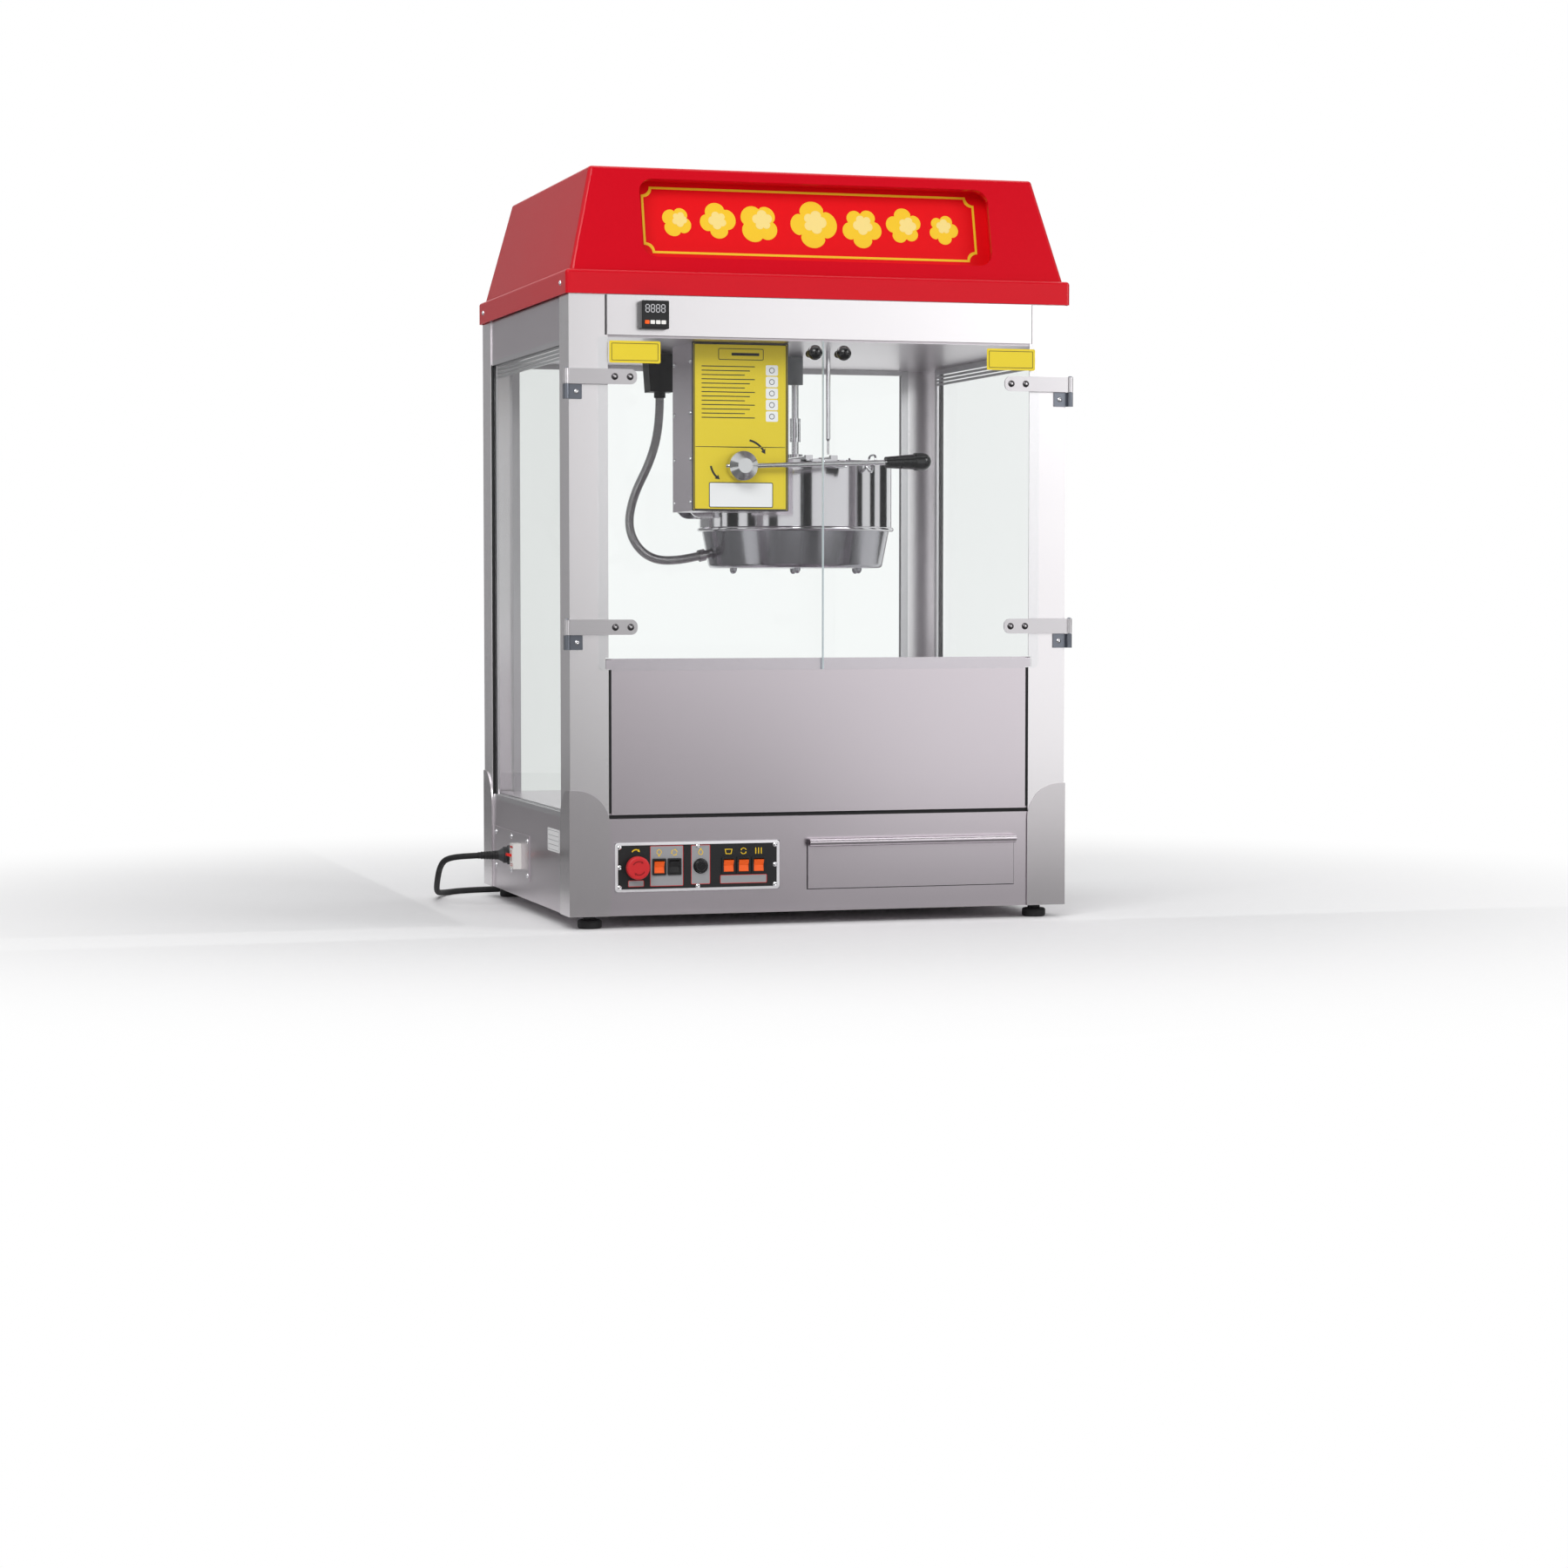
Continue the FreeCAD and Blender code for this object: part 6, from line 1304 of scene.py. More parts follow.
@dataclass
class Cabinet:
    """Steel case, glazing, canopy, sign and inlet. Sizes are in millimetres."""

    scatter: NodeModel
    screw: ScrewHead = ScrewHead(4.5, 2.6)
    screw_seed: int = 3
    plate_screw_inset: float = 8.0
    inlet_screw_inset: float = 10.0
    bracket_thickness: float = 3.0
    bracket_screw_inset: float = 12.0
    bracket_screw_z: float = 492.9
    canopy_screw_inset: float = 42.0
    canopy_screw_rise: float = 19.5
    drive_screw_inset: float = 11.0
    drive_screw_rises: tuple[float, ...] = (15.0, 90.0, 170.0, 260.0)
    lip_depth: float = 10.0
    lip_height: float = 41.0
    sign_lean: Point2 = (44.0, 181.0)
    sign_recess: float = 40.0
    sign_rise: float = 26.0
    border: Field = (-304.0, 304.0, 20.0, 140.0)
    border_wide: float = 4.0
    border_scoop: float = 15.0
    kernels: tuple[Point2, ...] = ((0, 47), (92, 40), (-92, 40), (172, 36), (-172, 36), (242, 30),
                                   (-242, 30))
    kernel_lumps: tuple[int, ...] = (4, 5)
    kernel_turn: float = 0.7
    heart_lumps: int = 5
    heart_turn: float = 1.1
    heart_share: float = 0.5
    heart_shift: float = 0.1
    ink: float = 0.4
    heart_ink: float = 0.3
    nut_stand: float = 5.0
    nut: tuple[Point2, ...] = ((13.1, 0), (17, 0), (17.6, 1.4), (17.6, 9.6), (17, 11), (13.1, 11))
    nut_sides: int = 6
    collar_stand: float = 18.0
    collar: tuple[Point2, ...] = ((13.1, 0), (15, 0), (15, 2), (14.2, 2.6), (15, 3.2), (15, 5), (13.1, 5))
    breaker_bar: Field = (-11.0, 11.0, 15.0, 18.5)
    breaker_box: Field = (-9.0, 9.0, -18.0, -13.5)
    breaker_opening: Field = (-10.0, 10.0, -13.0, 13.0)
    breaker_ink: float = 0.3
    trim_thickness: float = 1.2
    rating_gap: float = 198.0
    rating_drop: float = 44.0
    rating_plate: Field = (-47.0, 47.0, -20.0, 20.0)
    rating_frame: Field = (-44.0, 44.0, -17.0, 17.0)
    rating_rule: Field = (-40.0, 40.0, -0.4, 0.4)
    rating_rows: tuple[float, ...] = (-8.0, 0.0, 8.0)
    rating_thickness: float = 0.5
    rating_ink: float = 0.2
    # Black strips of painted shade beside the posts, at the side panes' recess edges.
    recess_shade_out: float = 2.0
    recess_shade_front: float = 12.0
    recess_shade_back: float = 68.0
    recess_shade_end_gap: float = 3.0
    recess_shade_radius: float = 2.6
    recess_shade_tip: float = 2.2
    recess_shade_round: float = 1.0
    rail_in: float = 11.0
    rail_drop: float = 34.0
    rail_rib: Field = (-286.0, 286.0, 2.0, 6.5)
    rail_pitch: float = 7.0
    rail_count: int = 4
    rail_thickness: float = 5.0
    # Dark strips of painted shade in the gaps between the hopper's front and the posts.
    strip_half: float = 7.0
    strip_in: float = 3.0
    strip_height: float = 246.0
    strip_thickness: float = 1.5
    # Dark lines of painted shade at the header's ends.
    header_gap: float = 1.6
    header_line_half: float = 1.3
    header_line_thickness: float = 0.4
    seam_inset: float = 2.0
    seam_rise: float = 0.2
    seam_height: float = 6.4
    seam_thickness: float = 1.0
    # Painted shadow beside and below the drawer's plate: its offsets, height, break and thickness.
    line_near: float = 0.3
    line_far: float = 1.6
    line_height: float = 86.0
    line_break: float = 0.1
    line_ink: float = 0.2

    def build(self) -> None:
        """Makes the screws, the sign's print, the inlet's details and the trims."""
        self.screws()
        self.sign()
        self.inlet()
        self.gaskets()
        self.rails()
        self.gaps()
        self.drawer_shadow_lines()

    def screws(self) -> None:
        """Screws of the case, in the CAD places."""
        plate, inlet, posts = Span.of("control_plate"), Span.of("inlet_plate"), Span.of("corner_posts")
        canopy, drive = Span.of("canopy_shell"), Span.of("drive_box")
        columns = (plate.left + self.plate_screw_inset, plate.middle.x, plate.right - self.plate_screw_inset)
        rows = (plate.bottom + self.plate_screw_inset, plate.top - self.plate_screw_inset)
        spots = [Spot(at(x, plate.front, z), FRONT) for x in columns for z in rows]
        spots += [Spot(at(x, plate.front, plate.middle.z), FRONT) for x in columns[::2]]
        columns = (inlet.front + self.inlet_screw_inset, inlet.middle.y, inlet.back - self.inlet_screw_inset)
        rows = (inlet.bottom + self.inlet_screw_inset, inlet.top - self.inlet_screw_inset)
        spots += [Spot(at(inlet.left, y, z), LEFT) for y in columns for z in rows]
        x, y = posts.right - self.bracket_screw_inset, posts.front - self.bracket_thickness
        rows = (self.bracket_screw_z, self.bracket_screw_z + HINGE_RISE)
        spots += [Spot(at(side * x, y, z), FRONT) for side, _ in SIDES for z in rows]
        columns = (canopy.front + self.canopy_screw_inset, canopy.back - self.canopy_screw_inset)
        z = canopy.bottom + self.canopy_screw_rise
        spots += [Spot(at(side * canopy.right, y, z), RIGHT * side) for side, _ in SIDES for y in columns]
        columns = (drive.front + self.drive_screw_inset, drive.back - self.drive_screw_inset)
        spots += [Spot(at(drive.left, y, drive.bottom + rise), LEFT) for y in columns
                  for rise in self.drive_screw_rises]
        mesh = scattered(self.scatter, self.screw.mesh(), spots, CHROME, self.screw_seed)
        finished("case_screw_heads", mesh, CHROME, "cabinet", ["case_screws"])

    def sign(self) -> None:
        """Border and popped kernels on the sign."""
        canopy = Span.of("canopy_shell")
        up = Vector((0, *self.sign_lean)).normalized()
        out = RIGHT.cross(up)
        foot = at(0, canopy.front + self.lip_depth, canopy.bottom + self.lip_height)
        plane = Plane(foot - out * (self.sign_recess * MM) + up * (self.sign_rise * MM), RIGHT, up)
        inner = inset(self.border, self.border_wide)
        border = [scooped(*self.border, self.border_scoop), scooped(*inner, self.border_scoop)]
        printed("sign_border", plane, border, self.ink, PRINT_YELLOW, "cabinet")
        middle = (self.border[2] + self.border[3]) / 2
        large, small = [], []
        for i, (x, size) in enumerate(self.kernels):
            large.append(puff(x, middle, size, self.kernel_lumps[i % 2], self.kernel_turn * i))
            shift = self.heart_shift * size
            small.append(puff(x + shift, middle + shift, self.heart_share * size, self.heart_lumps,
                              self.heart_turn * i))
        printed("sign_kernels", plane, large, self.ink, PRINT_YELLOW, "cabinet")
        printed("sign_kernel_hearts", plane, small, self.heart_ink, PRINT_CREAM, "cabinet",
                lift=self.ink)

    def inlet(self) -> None:
        """Gland nut, breaker marks and the blank rating plate."""
        inlet, breaker, pan = Span.of("inlet_plate"), Span.of("breaker_body"), Span.of("base_pan")
        y, z = Span.of("cord_connector").middle.y, inlet.middle.z
        nut = lathed(self.nut, at(inlet.left - self.nut_stand, y, z), LEFT, self.nut_sides)
        collar = lathed(self.collar, at(inlet.left - self.collar_stand, y, z), LEFT)
        finished("gland_nut", joined([nut, collar]), GLAND_GREY, "cabinet")
        face = left_face(breaker.left, breaker.middle.y, breaker.middle.z)
        marks = [panel(*self.breaker_bar, corner=0.8), *frame_band(self.breaker_box, wide=0.8, corner=0.6)]
        printed("breaker_marks", face, marks, self.breaker_ink, PRINT_RED, "cabinet")
        trim = frame_band(self.breaker_opening, wide=2.6, corner=1.5)
        printed("breaker_trim", face, trim, self.trim_thickness, WHITE, "cabinet",
                bevel=0.5)
        plate = left_face(pan.left, inlet.front - self.rating_gap, pan.top - self.rating_drop)
        blank = [panel(*self.rating_plate, corner=4)]
        printed("rating_plate", plate, blank, self.rating_thickness, PRINT_PALE, "cabinet")
        x0, x1, y0, y1 = self.rating_rule
        rules = [panel(x0, x1, row + y0, row + y1) for row in self.rating_rows]
        rules += frame_band(self.rating_frame, wide=0.7, corner=2.5)
        printed("rating_plate_rules", plate, rules, self.rating_ink, PRINT_GREY, "cabinet",
                lift=self.rating_thickness)

    def gaskets(self) -> None:
        """Painted shade: black strips beside the posts, where the edges of the side panes' recess fall into
        shade.
        """
        panes = Span.of("glass_panes")
        x, foot = panes.right + self.recess_shade_out, panes.bottom + self.recess_shade_end_gap
        tall = panes.top - panes.bottom - 2 * self.recess_shade_end_gap
        profile = [(0, 0), (self.recess_shade_tip, 0), (self.recess_shade_radius, self.recess_shade_round),
                   (self.recess_shade_radius, tall - self.recess_shade_round), (self.recess_shade_tip, tall), (0, tall)]
        rows = (panes.front + self.recess_shade_front, panes.back - self.recess_shade_back)
        strips = [lathed(profile, at(side * x, y, foot), UP, 12) for side, _ in SIDES for y in rows]
        finished("glass_gaskets", joined(strips), RUBBER_AND_SHADE, "cabinet")

    def rails(self) -> None:
        """Ribbed rails under the ceiling."""
        x0, x1, y0, y1 = self.rail_rib
        ribs = [panel(x0, x1, y0 + self.rail_pitch * i, y1 + self.rail_pitch * i, corner=1.2)
                for i in range(self.rail_count)]
        x = Span.of("glass_panes").right - self.rail_in
        y = Span.of("corner_posts").middle.y
        z = Span.of("ceiling_pan").bottom - self.rail_drop
        for side, label in SIDES:
            face = Plane(at(side * x, y, z), Vector((0, side, 0)), UP)
            printed("ceiling_rail_" + label, face, ribs, self.rail_thickness, ALUMINIUM, "cabinet",
                    bevel=0.8)

    def gaps(self) -> None:
        """Dark strips of painted shade beside the hopper's front and at the header's ends, and a dark strip
        on the hopper floor's front seam.
        """
        hopper, header = Span.of("hopper_front_panel"), Span.of("header_panel")
        posts, floor = Span.of("corner_posts"), Span.of("hopper_floor")
        half = self.strip_half
        y, z = hopper.front + self.strip_in, hopper.bottom + self.strip_in
        strip = [panel(-half, half, 0, self.strip_height, corner=1)]
        # Painted shade: dark strips that fill the shaded gaps beside the hopper's front.
        for side, label in SIDES:
            face = front(side * (hopper.right - half), y, z)
            printed("hopper_gap_" + label, face, strip, self.strip_thickness, RUBBER_AND_SHADE, "cabinet",
                    bevel=0.4)
        # Painted shade: thin dark lines at the header's ends, where its shaded end faces and the gaps to the
        # posts show.
        x, half = header.right + self.header_gap, self.header_line_half
        lines = [panel(side * x - half, side * x + half, 0, header.top - header.bottom) for side, _ in SIDES]
        face = front(0, posts.front, header.bottom)
        printed("header_gap_lines", face, lines, self.header_line_thickness, RUBBER_AND_SHADE, "cabinet")
        half = hopper.right - self.seam_inset
        face = front(0, floor.front, floor.bottom + self.seam_rise)
        seam = [panel(-half, half, 0, self.seam_height)]
        printed("hopper_seam", face, seam, self.seam_thickness, RUBBER_AND_SHADE, "cabinet")

    def drawer_shadow_lines(self) -> None:
        """Painted shadow: dark lines beside and below the drawer's plate, where its recess falls into shade.
        """
        drawer = Span.of("crumb_drawer")
        near, far, tall = self.line_near, self.line_far, self.line_height
        wide = drawer.right - drawer.left
        lines = [panel(-far, -near, -far, tall), panel(self.line_break - near, wide, -far, -near),
                 panel(wide + near, wide + far, -far, tall)]
        face = front(drawer.left, Span.of("base_front_panel").front, drawer.bottom)
        printed("drawer_gap_lines", face, lines, self.line_ink, DARK_PRINT_AND_SHADE, "cabinet")

    def dress(self) -> None:
        """Finishes of the case's CAD nodes."""
        dress(PANEL_STEEL, "base_front_panel", "hopper_front_panel", "hopper_floor", "crumb_drawer",
              "drive_box")
        dress(SIDE_STEEL, "base_pan", "inlet_plate", "ceiling_pan")
        # The posts and header get the paler steel with painted light.
        dress(LIT_UPRIGHT_STEEL, "corner_posts", "header_panel")
        dress(BOOT_STEEL, "corner_boots")
        dress(RUBBER_AND_SHADE, "feet")
        dress(PANE, "glass_panes")
        dress(ALUMINIUM, "glass_seals")
        dress(RED, "canopy_shell")
        dress(SIGN_RED, "sign_panel")
        dress(CHROME, "case_screws")
        dress(BRACKET, "hinge_brackets")
        dress(WHITE, "breaker_body")
        dress(TOGGLE_RED, "breaker_toggle")


@dataclass
class Doors:
    """Two clear doors with straps, knobs and blank stickers. Sizes are in millimetres."""

    scatter: NodeModel
    screw: ScrewHead = ScrewHead(6.0, 3.4)
    screw_seed: int = 5
    screw_columns: tuple[float, ...] = (345.0, 372.0)
    lower_strap_z: float = 519.0
    strap_thickness: float = 3.0
    edge_corner: float = 0.6
    edge_thickness: float = 0.4
    sticker_wide: float = 90.0
    sticker_tall: float = 37.5
    sticker_thickness: float = 0.25
    sticker_drop: float = 7.0
    sticker_left_inset: float = 19.0
    sticker_right_inset: float = 10.0
    sticker_margin: float = 4.0
    sticker_line: float = 0.9
    sticker_ink: float = 0.15

    def build(self) -> None:
        """Makes the bright edges, the strap screws and the stickers of each door."""
        for side, label in SIDES:
            name = label + "_door"
            pane = Span.of(name + "_sheet")
            self.edge(side, name, pane)
            self.screws(side, name, pane)
            self.sticker(side, name, pane)

    def edge(self, side: int, name: str, pane: Span) -> None:
        """Bright cut edge where the doors meet.

        Args:
            side: -1 for the left door and 1 for the right one.
            name: Name of the door's body.
            pane: Box of its sheet.
        """
        x = pane.right if side < 0 else pane.left
        face = Plane(at(x, pane.middle.y, pane.middle.z), Vector((0, -side, 0)), UP)
        thick, tall = (pane.back - pane.front) / 2, (pane.top - pane.bottom) / 2
        loops = [panel(-thick, thick, -tall, tall, self.edge_corner)]
        printed(name + "_edge", face, loops, self.edge_thickness, EDGE, name, bevel=0.15)

    def screws(self, side: int, name: str, pane: Span) -> None:
        """Dark screw heads on the straps.

        Args:
            side: -1 for the left door and 1 for the right one.
            name: Name of the door's body.
            pane: Box of its sheet.
        """
        y = pane.front - self.strap_thickness
        rows = (self.lower_strap_z, self.lower_strap_z + HINGE_RISE)
        spots = [Spot(at(side * x, y, z), FRONT) for x in self.screw_columns for z in rows]
        mesh = scattered(self.scatter, self.screw.mesh(), spots, DARK_STEEL, self.screw_seed)
        finished(name + "_screw_heads", mesh, DARK_STEEL, name)

    def sticker(self, side: int, name: str, pane: Span) -> None:
        """Blank yellow sticker in the upper outer corner.

        Args:
            side: -1 for the left door and 1 for the right one.
            name: Name of the door's body.
            pane: Box of its sheet.
        """
        left = pane.left + self.sticker_left_inset
        right = pane.right - self.sticker_right_inset - self.sticker_wide
        low = pane.top - self.sticker_drop - self.sticker_tall
        face = front(left if side < 0 else right, pane.front, low)
        box = (0, self.sticker_wide, 0, self.sticker_tall)
        printed(name + "_sticker", face, [panel(*box, corner=3)], self.sticker_thickness, YELLOW, name)
        band = frame_band(inset(box, self.sticker_margin), self.sticker_line, corner=1.5)
        printed(name + "_sticker_line", face, band, self.sticker_ink, DARK_PRINT_AND_SHADE, name,
                lift=self.sticker_thickness)

    def dress(self) -> None:
        """Finishes of the doors' CAD nodes."""
        for _, label in SIDES:
            dress(ACRYLIC, label + "_door_sheet")
            dress(STRAP_STEEL, label + "_door_straps")
            dress(GLOSS_BLACK, label + "_door_knob")


@dataclass
class Controls:
    """Switch plate and temperature controller. Sizes are in millimetres."""

    rocker_half: Point2 = (11.0, 13.0)
    stop_hole: float = 9.0
    oil_hole: float = 12.0
    overlay_inset: float = 5.0
    overlay_thickness: float = 0.4
    bezel_inset: float = 0.2
    bezel_wide: float = 5.0
    bezel_thickness: float = 1.2
    ink: float = 0.15
    field_lift: float = 0.4
    line_lift: float = 0.56
    icon_lift: float = 0.72
    line_wide: float = 0.8
    field_corner: float = 2.0
    field_drop: float = 6.0
    field_rise: float = 11.0
    deep_rise: float = 9.0
    pair_side: float = 16.0
    oil_side: float = 17.0
    strip_side: float = 15.0
    strip_tall: float = 15.0
    tag_side: float = 14.0
    tag_tall: float = 11.0
    icon_drop: float = 18.0
    icon_line: float = 1.2
    lamp_rise: float = 1.0
    lamp_radii: Point2 = (4.6, 3.5)
    lamp_base: Field = (-2.0, 2.0, -6.2, -4.4)
    fan_radius: float = 4.8
    fan_sweep: float = 70.0
    fan_turns: tuple[float, ...] = (0.0, 120.0, 240.0)
    stir_radius: float = 5.0
    stir_sweep: float = 120.0
    stir_turns: Point2 = (20.0, 200.0)
    heat_bar: Field = (-0.8, 0.8, -5.5, 5.5)
    heat_places: tuple[float, ...] = (-5.0, 0.0, 5.0)
    drop_fall: float = 1.0
    drop_arc: Point2 = (30.0, -210.0)
    drop_sizes: tuple[Point2, ...] = ((7.0, 4.4), (4.4, 3.2))
    stop_icon_fall: float = 2.0
    stop_icon_radius: float = 8.0
    stop_icon_arc: Point2 = (150.0, 60.0)
    bowl: tuple[Point2, ...] = ((-7, 4), (7, 4), (5, -5), (-5, -5))
    bowl_inside: tuple[Point2, ...] = ((-5.4, 2.8), (5.4, 2.8), (4, -3.8), (-4, -3.8))
    stop_collar: tuple[Point2, ...] = ((8.6, 0.5), (15.5, 0.5), (15.5, 3.4), (14.6, 4.2), (12.2, 4.4),
                                       (11.4, 5.4), (8.6, 5.4))
    oil_collar: tuple[Point2, ...] = ((11.6, 0.5), (13.2, 0.5), (13.3, 1.0), (12.9, 1.8), (12.3, 2.2),
                                      (11.6, 2.2))
    stop_arrow_radius: float = 11.5
    stop_arrow_sweep: float = 85.0
    stop_arrow_turns: Point2 = (150.0, 330.0)
    stop_arrow_thickness: float = 0.6
    dish_radius: float = 8.6
    dish_inner: float = 7.8
    dish_thickness: float = 0.25
    mask: Field = (-22.5, 22.5, -22.5, 22.5)
    mask_thickness: float = 0.8
    window: Field = (-19.5, 19.5, 1.0, 19.5)
    window_thickness: float = 0.3
    digit_count: int = 4
    digit_start: Point2 = (-17.5, 3.5)
    digit_pitch: float = 9.2
    digit_wide: float = 7.4
    digit_tall: float = 14.0
    digit_bar: float = 1.4
    digit_ink: float = 0.12
    key: Field = (-18.5, -10.6, -16.0, -9.5)
    key_pitch: float = 9.7
    key_count: int = 4
    key_thickness: float = 1.0

    def __post_init__(self) -> None:
        """Reads the places of the plate, the rockers and the buttons from the frame."""
        self.plate = Span.of("control_plate")
        self.stop = Span.of("stop_button")
        self.oil = Span.of("oil_button")
        self.rocker_x = [Span.of("rocker_%d" % (i + 1)).middle.x for i in range(5)]
        self.stop_x, self.oil_x, self.z = self.stop.middle.x, self.oil.middle.x, self.plate.middle.z
        self.face = front(0, self.plate.front, 0)

    def build(self) -> None:
        """Makes the plate's overlay, bezel and print, the button rings and the controller."""
        self.overlay()
        self.icons()
        self.buttons()
        self.controller()

    def cut(self, x: float) -> Loop:
        """Opening round one rocker."""
        wide, tall = self.rocker_half
        return panel(x - wide, x + wide, self.z - tall, self.z + tall)

    def fields(self) -> list[Field]:
        """The grey fields of the plate.

        Returns:
            Their boxes: round two rockers, round the oil button, under three rockers and under the stop.
        """
        x = self.rocker_x
        low, deep = self.plate.bottom + self.field_rise, self.plate.bottom + self.deep_rise
        high = self.plate.top - self.field_drop
        return [(x[0] - self.pair_side, x[1] + self.pair_side, deep, high),
                (self.oil_x - self.oil_side, self.oil_x + self.oil_side, low, high),
                (x[2] - self.strip_side, x[4] + self.strip_side, low, low + self.strip_tall),
                (self.stop_x - self.tag_side, self.stop_x + self.tag_side, deep, deep + self.tag_tall)]

    def overlay(self) -> None:
        """Black overlay, chrome bezel, grey fields and their red lines."""
        whole = (self.plate.left, self.plate.right, self.plate.bottom, self.plate.top)
        cuts = [self.cut(x) for x in self.rocker_x]
        oil = circle(self.oil_x, self.z, self.oil_hole)
        holes = [*cuts, circle(self.stop_x, self.z, self.stop_hole), oil]
        black = panel(*inset(whole, self.overlay_inset), corner=2.5)
        printed("panel_overlay", self.face, [black, *holes], self.overlay_thickness, SATIN_BLACK, "cabinet")
        bezel = frame_band(inset(whole, self.bezel_inset), self.bezel_wide, corner=6.0)
        printed("panel_bezel", self.face, bezel, self.bezel_thickness, BEZEL, "cabinet",
                bevel=0.5)
        boxes = self.fields()
        fields = [panel(*box, self.field_corner) for box in boxes] + cuts[:2] + [oil]
        printed("panel_fields", self.face, fields, self.ink, PRINT_GREY, "cabinet",
                lift=self.field_lift)
        lines = [loop for box in boxes for loop in frame_band(box, self.line_wide, self.field_corner)]
        printed("panel_lines", self.face, lines, self.ink, PRINT_RED, "cabinet",
                lift=self.line_lift)

    def icons(self) -> None:
        """Plain line drawings above the switches."""
        y = self.plate.top - self.icon_drop
        lamp, fan, bowl, stir, heat = self.rocker_x
        oil, line = self.oil_x, self.icon_line
        loops = ring(lamp, y + self.lamp_rise, *self.lamp_radii, 24)
        x0, x1, y0, y1 = self.lamp_base
        loops += [panel(lamp + x0, lamp + x1, y + y0, y + y1)]
        loops += [arrow_arc(fan, y, self.fan_radius, turn, turn + self.fan_sweep, line)
                  for turn in self.fan_turns]
        loops += [[(bowl + dx, y + dy) for dx, dy in shape] for shape in (self.bowl, self.bowl_inside)]
        loops += [arrow_arc(stir, y, self.stir_radius, turn, turn + self.stir_sweep, line)
                  for turn in self.stir_turns]
        x0, x1, y0, y1 = self.heat_bar
        loops += [panel(heat + dx + x0, heat + dx + x1, y + y0, y + y1, corner=0.6)
                  for dx in self.heat_places]
        start, end = self.drop_arc
        loops += [[(oil, y + tip), *arc(oil, y - self.drop_fall, radius, start, end, 20)]
                  for tip, radius in self.drop_sizes]
        start, end = self.stop_icon_arc
        y -= self.stop_icon_fall
        loops += [arrow_arc(self.stop_x, y, self.stop_icon_radius, start, end, wide=2.0)]
        printed("panel_icons", self.face, loops, self.ink, PRINT_YELLOW, "cabinet",
                lift=self.icon_lift)

    def buttons(self) -> None:
        """Collars of the two buttons, the stop head's arrows and the oil button's dish."""
        foot = at(self.stop_x, self.plate.front, self.z)
        collar = lathed(self.stop_collar, foot, FRONT)
        finished("stop_collar", collar, SATIN_BLACK, "cabinet")
        foot = at(self.oil_x, self.plate.front, self.z)
        collar = lathed(self.oil_collar, foot, FRONT)
        finished("oil_ring", collar, GLOSS_BLACK, "cabinet")
        head = front(self.stop_x, self.stop.front, self.z)
        arrows = [arrow_arc(0, 0, self.stop_arrow_radius, turn, turn - self.stop_arrow_sweep, wide=1.8)
                  for turn in self.stop_arrow_turns]
        printed("stop_arrows", head, arrows, self.stop_arrow_thickness, MARK_RED, "stop_button",
                bevel=0.2)
        dish = front(self.oil_x, self.oil.front, self.z)
        rim = ring(0, 0, self.dish_radius, self.dish_inner)
        printed("oil_button_ring", dish, rim, self.dish_thickness, DARK_STEEL, "oil_button",
                bevel=0.1)

    def controller(self) -> None:
        """Display window, digits and keys of the temperature controller."""
        body = Span.of("controller_body")
        face = front(body.middle.x, body.front, body.middle.z)
        mask = frame_band(self.mask, wide=2.2, corner=2.0)
        printed("controller_mask", face, mask, self.mask_thickness, SATIN_BLACK, "cabinet",
                bevel=0.3)
        window = [panel(*self.window, corner=1.2)]
        printed("controller_window", face, window, self.window_thickness, SATIN_BLACK, "cabinet")
        digits = [bar for i in range(self.digit_count) for bar in self.digit(i)]
        printed("controller_digits", face, digits, self.digit_ink, PRINT_SILVER, "cabinet",
                lift=self.window_thickness)
        x0, x1, y0, y1 = self.key
        places = [self.key_pitch * i for i in range(self.key_count)]
        keys = [panel(x0 + place, x1 + place, y0, y1, corner=1.2) for place in places]
        printed("controller_key_set", face, keys[:1], self.key_thickness, ORANGE, "cabinet",
                bevel=0.35)
        printed("controller_keys", face, keys[1:], self.key_thickness, WHITE, "cabinet",
                bevel=0.35)

    def digit(self, place: int) -> list[Loop]:
        """The seven bars of one digit.

        Args:
            place: Number of the digit, from the left.
        Returns:
            The bars' outlines.
        """
        wide, tall, bar = self.digit_wide, self.digit_tall, self.digit_bar
        x, y = self.digit_start[0] + self.digit_pitch * place, self.digit_start[1]
        rises = (0, (tall - bar) / 2, tall - bar)
        flat = [panel(x + bar, x + wide - bar, y + rise, y + rise + bar) for rise in rises]
        low, high = (y + bar, y + (tall - bar) / 2), (y + (tall + bar) / 2, y + tall - bar)
        upright = [panel(x0, x0 + bar, *span) for x0 in (x, x + wide - bar) for span in (low, high)]
        return flat + upright

    def dress(self) -> None:
        """Finishes of the controls' CAD nodes."""
        dress(CHROME, "control_plate")
        dress(SATIN_BLACK, "rocker_frames", "controller_body", "rocker_2")
        dress(ORANGE, "rocker_1", "rocker_3", "rocker_4", "rocker_5")
        dress(STOP_RED, "stop_button")
        dress(GLOSS_BLACK, "oil_button")


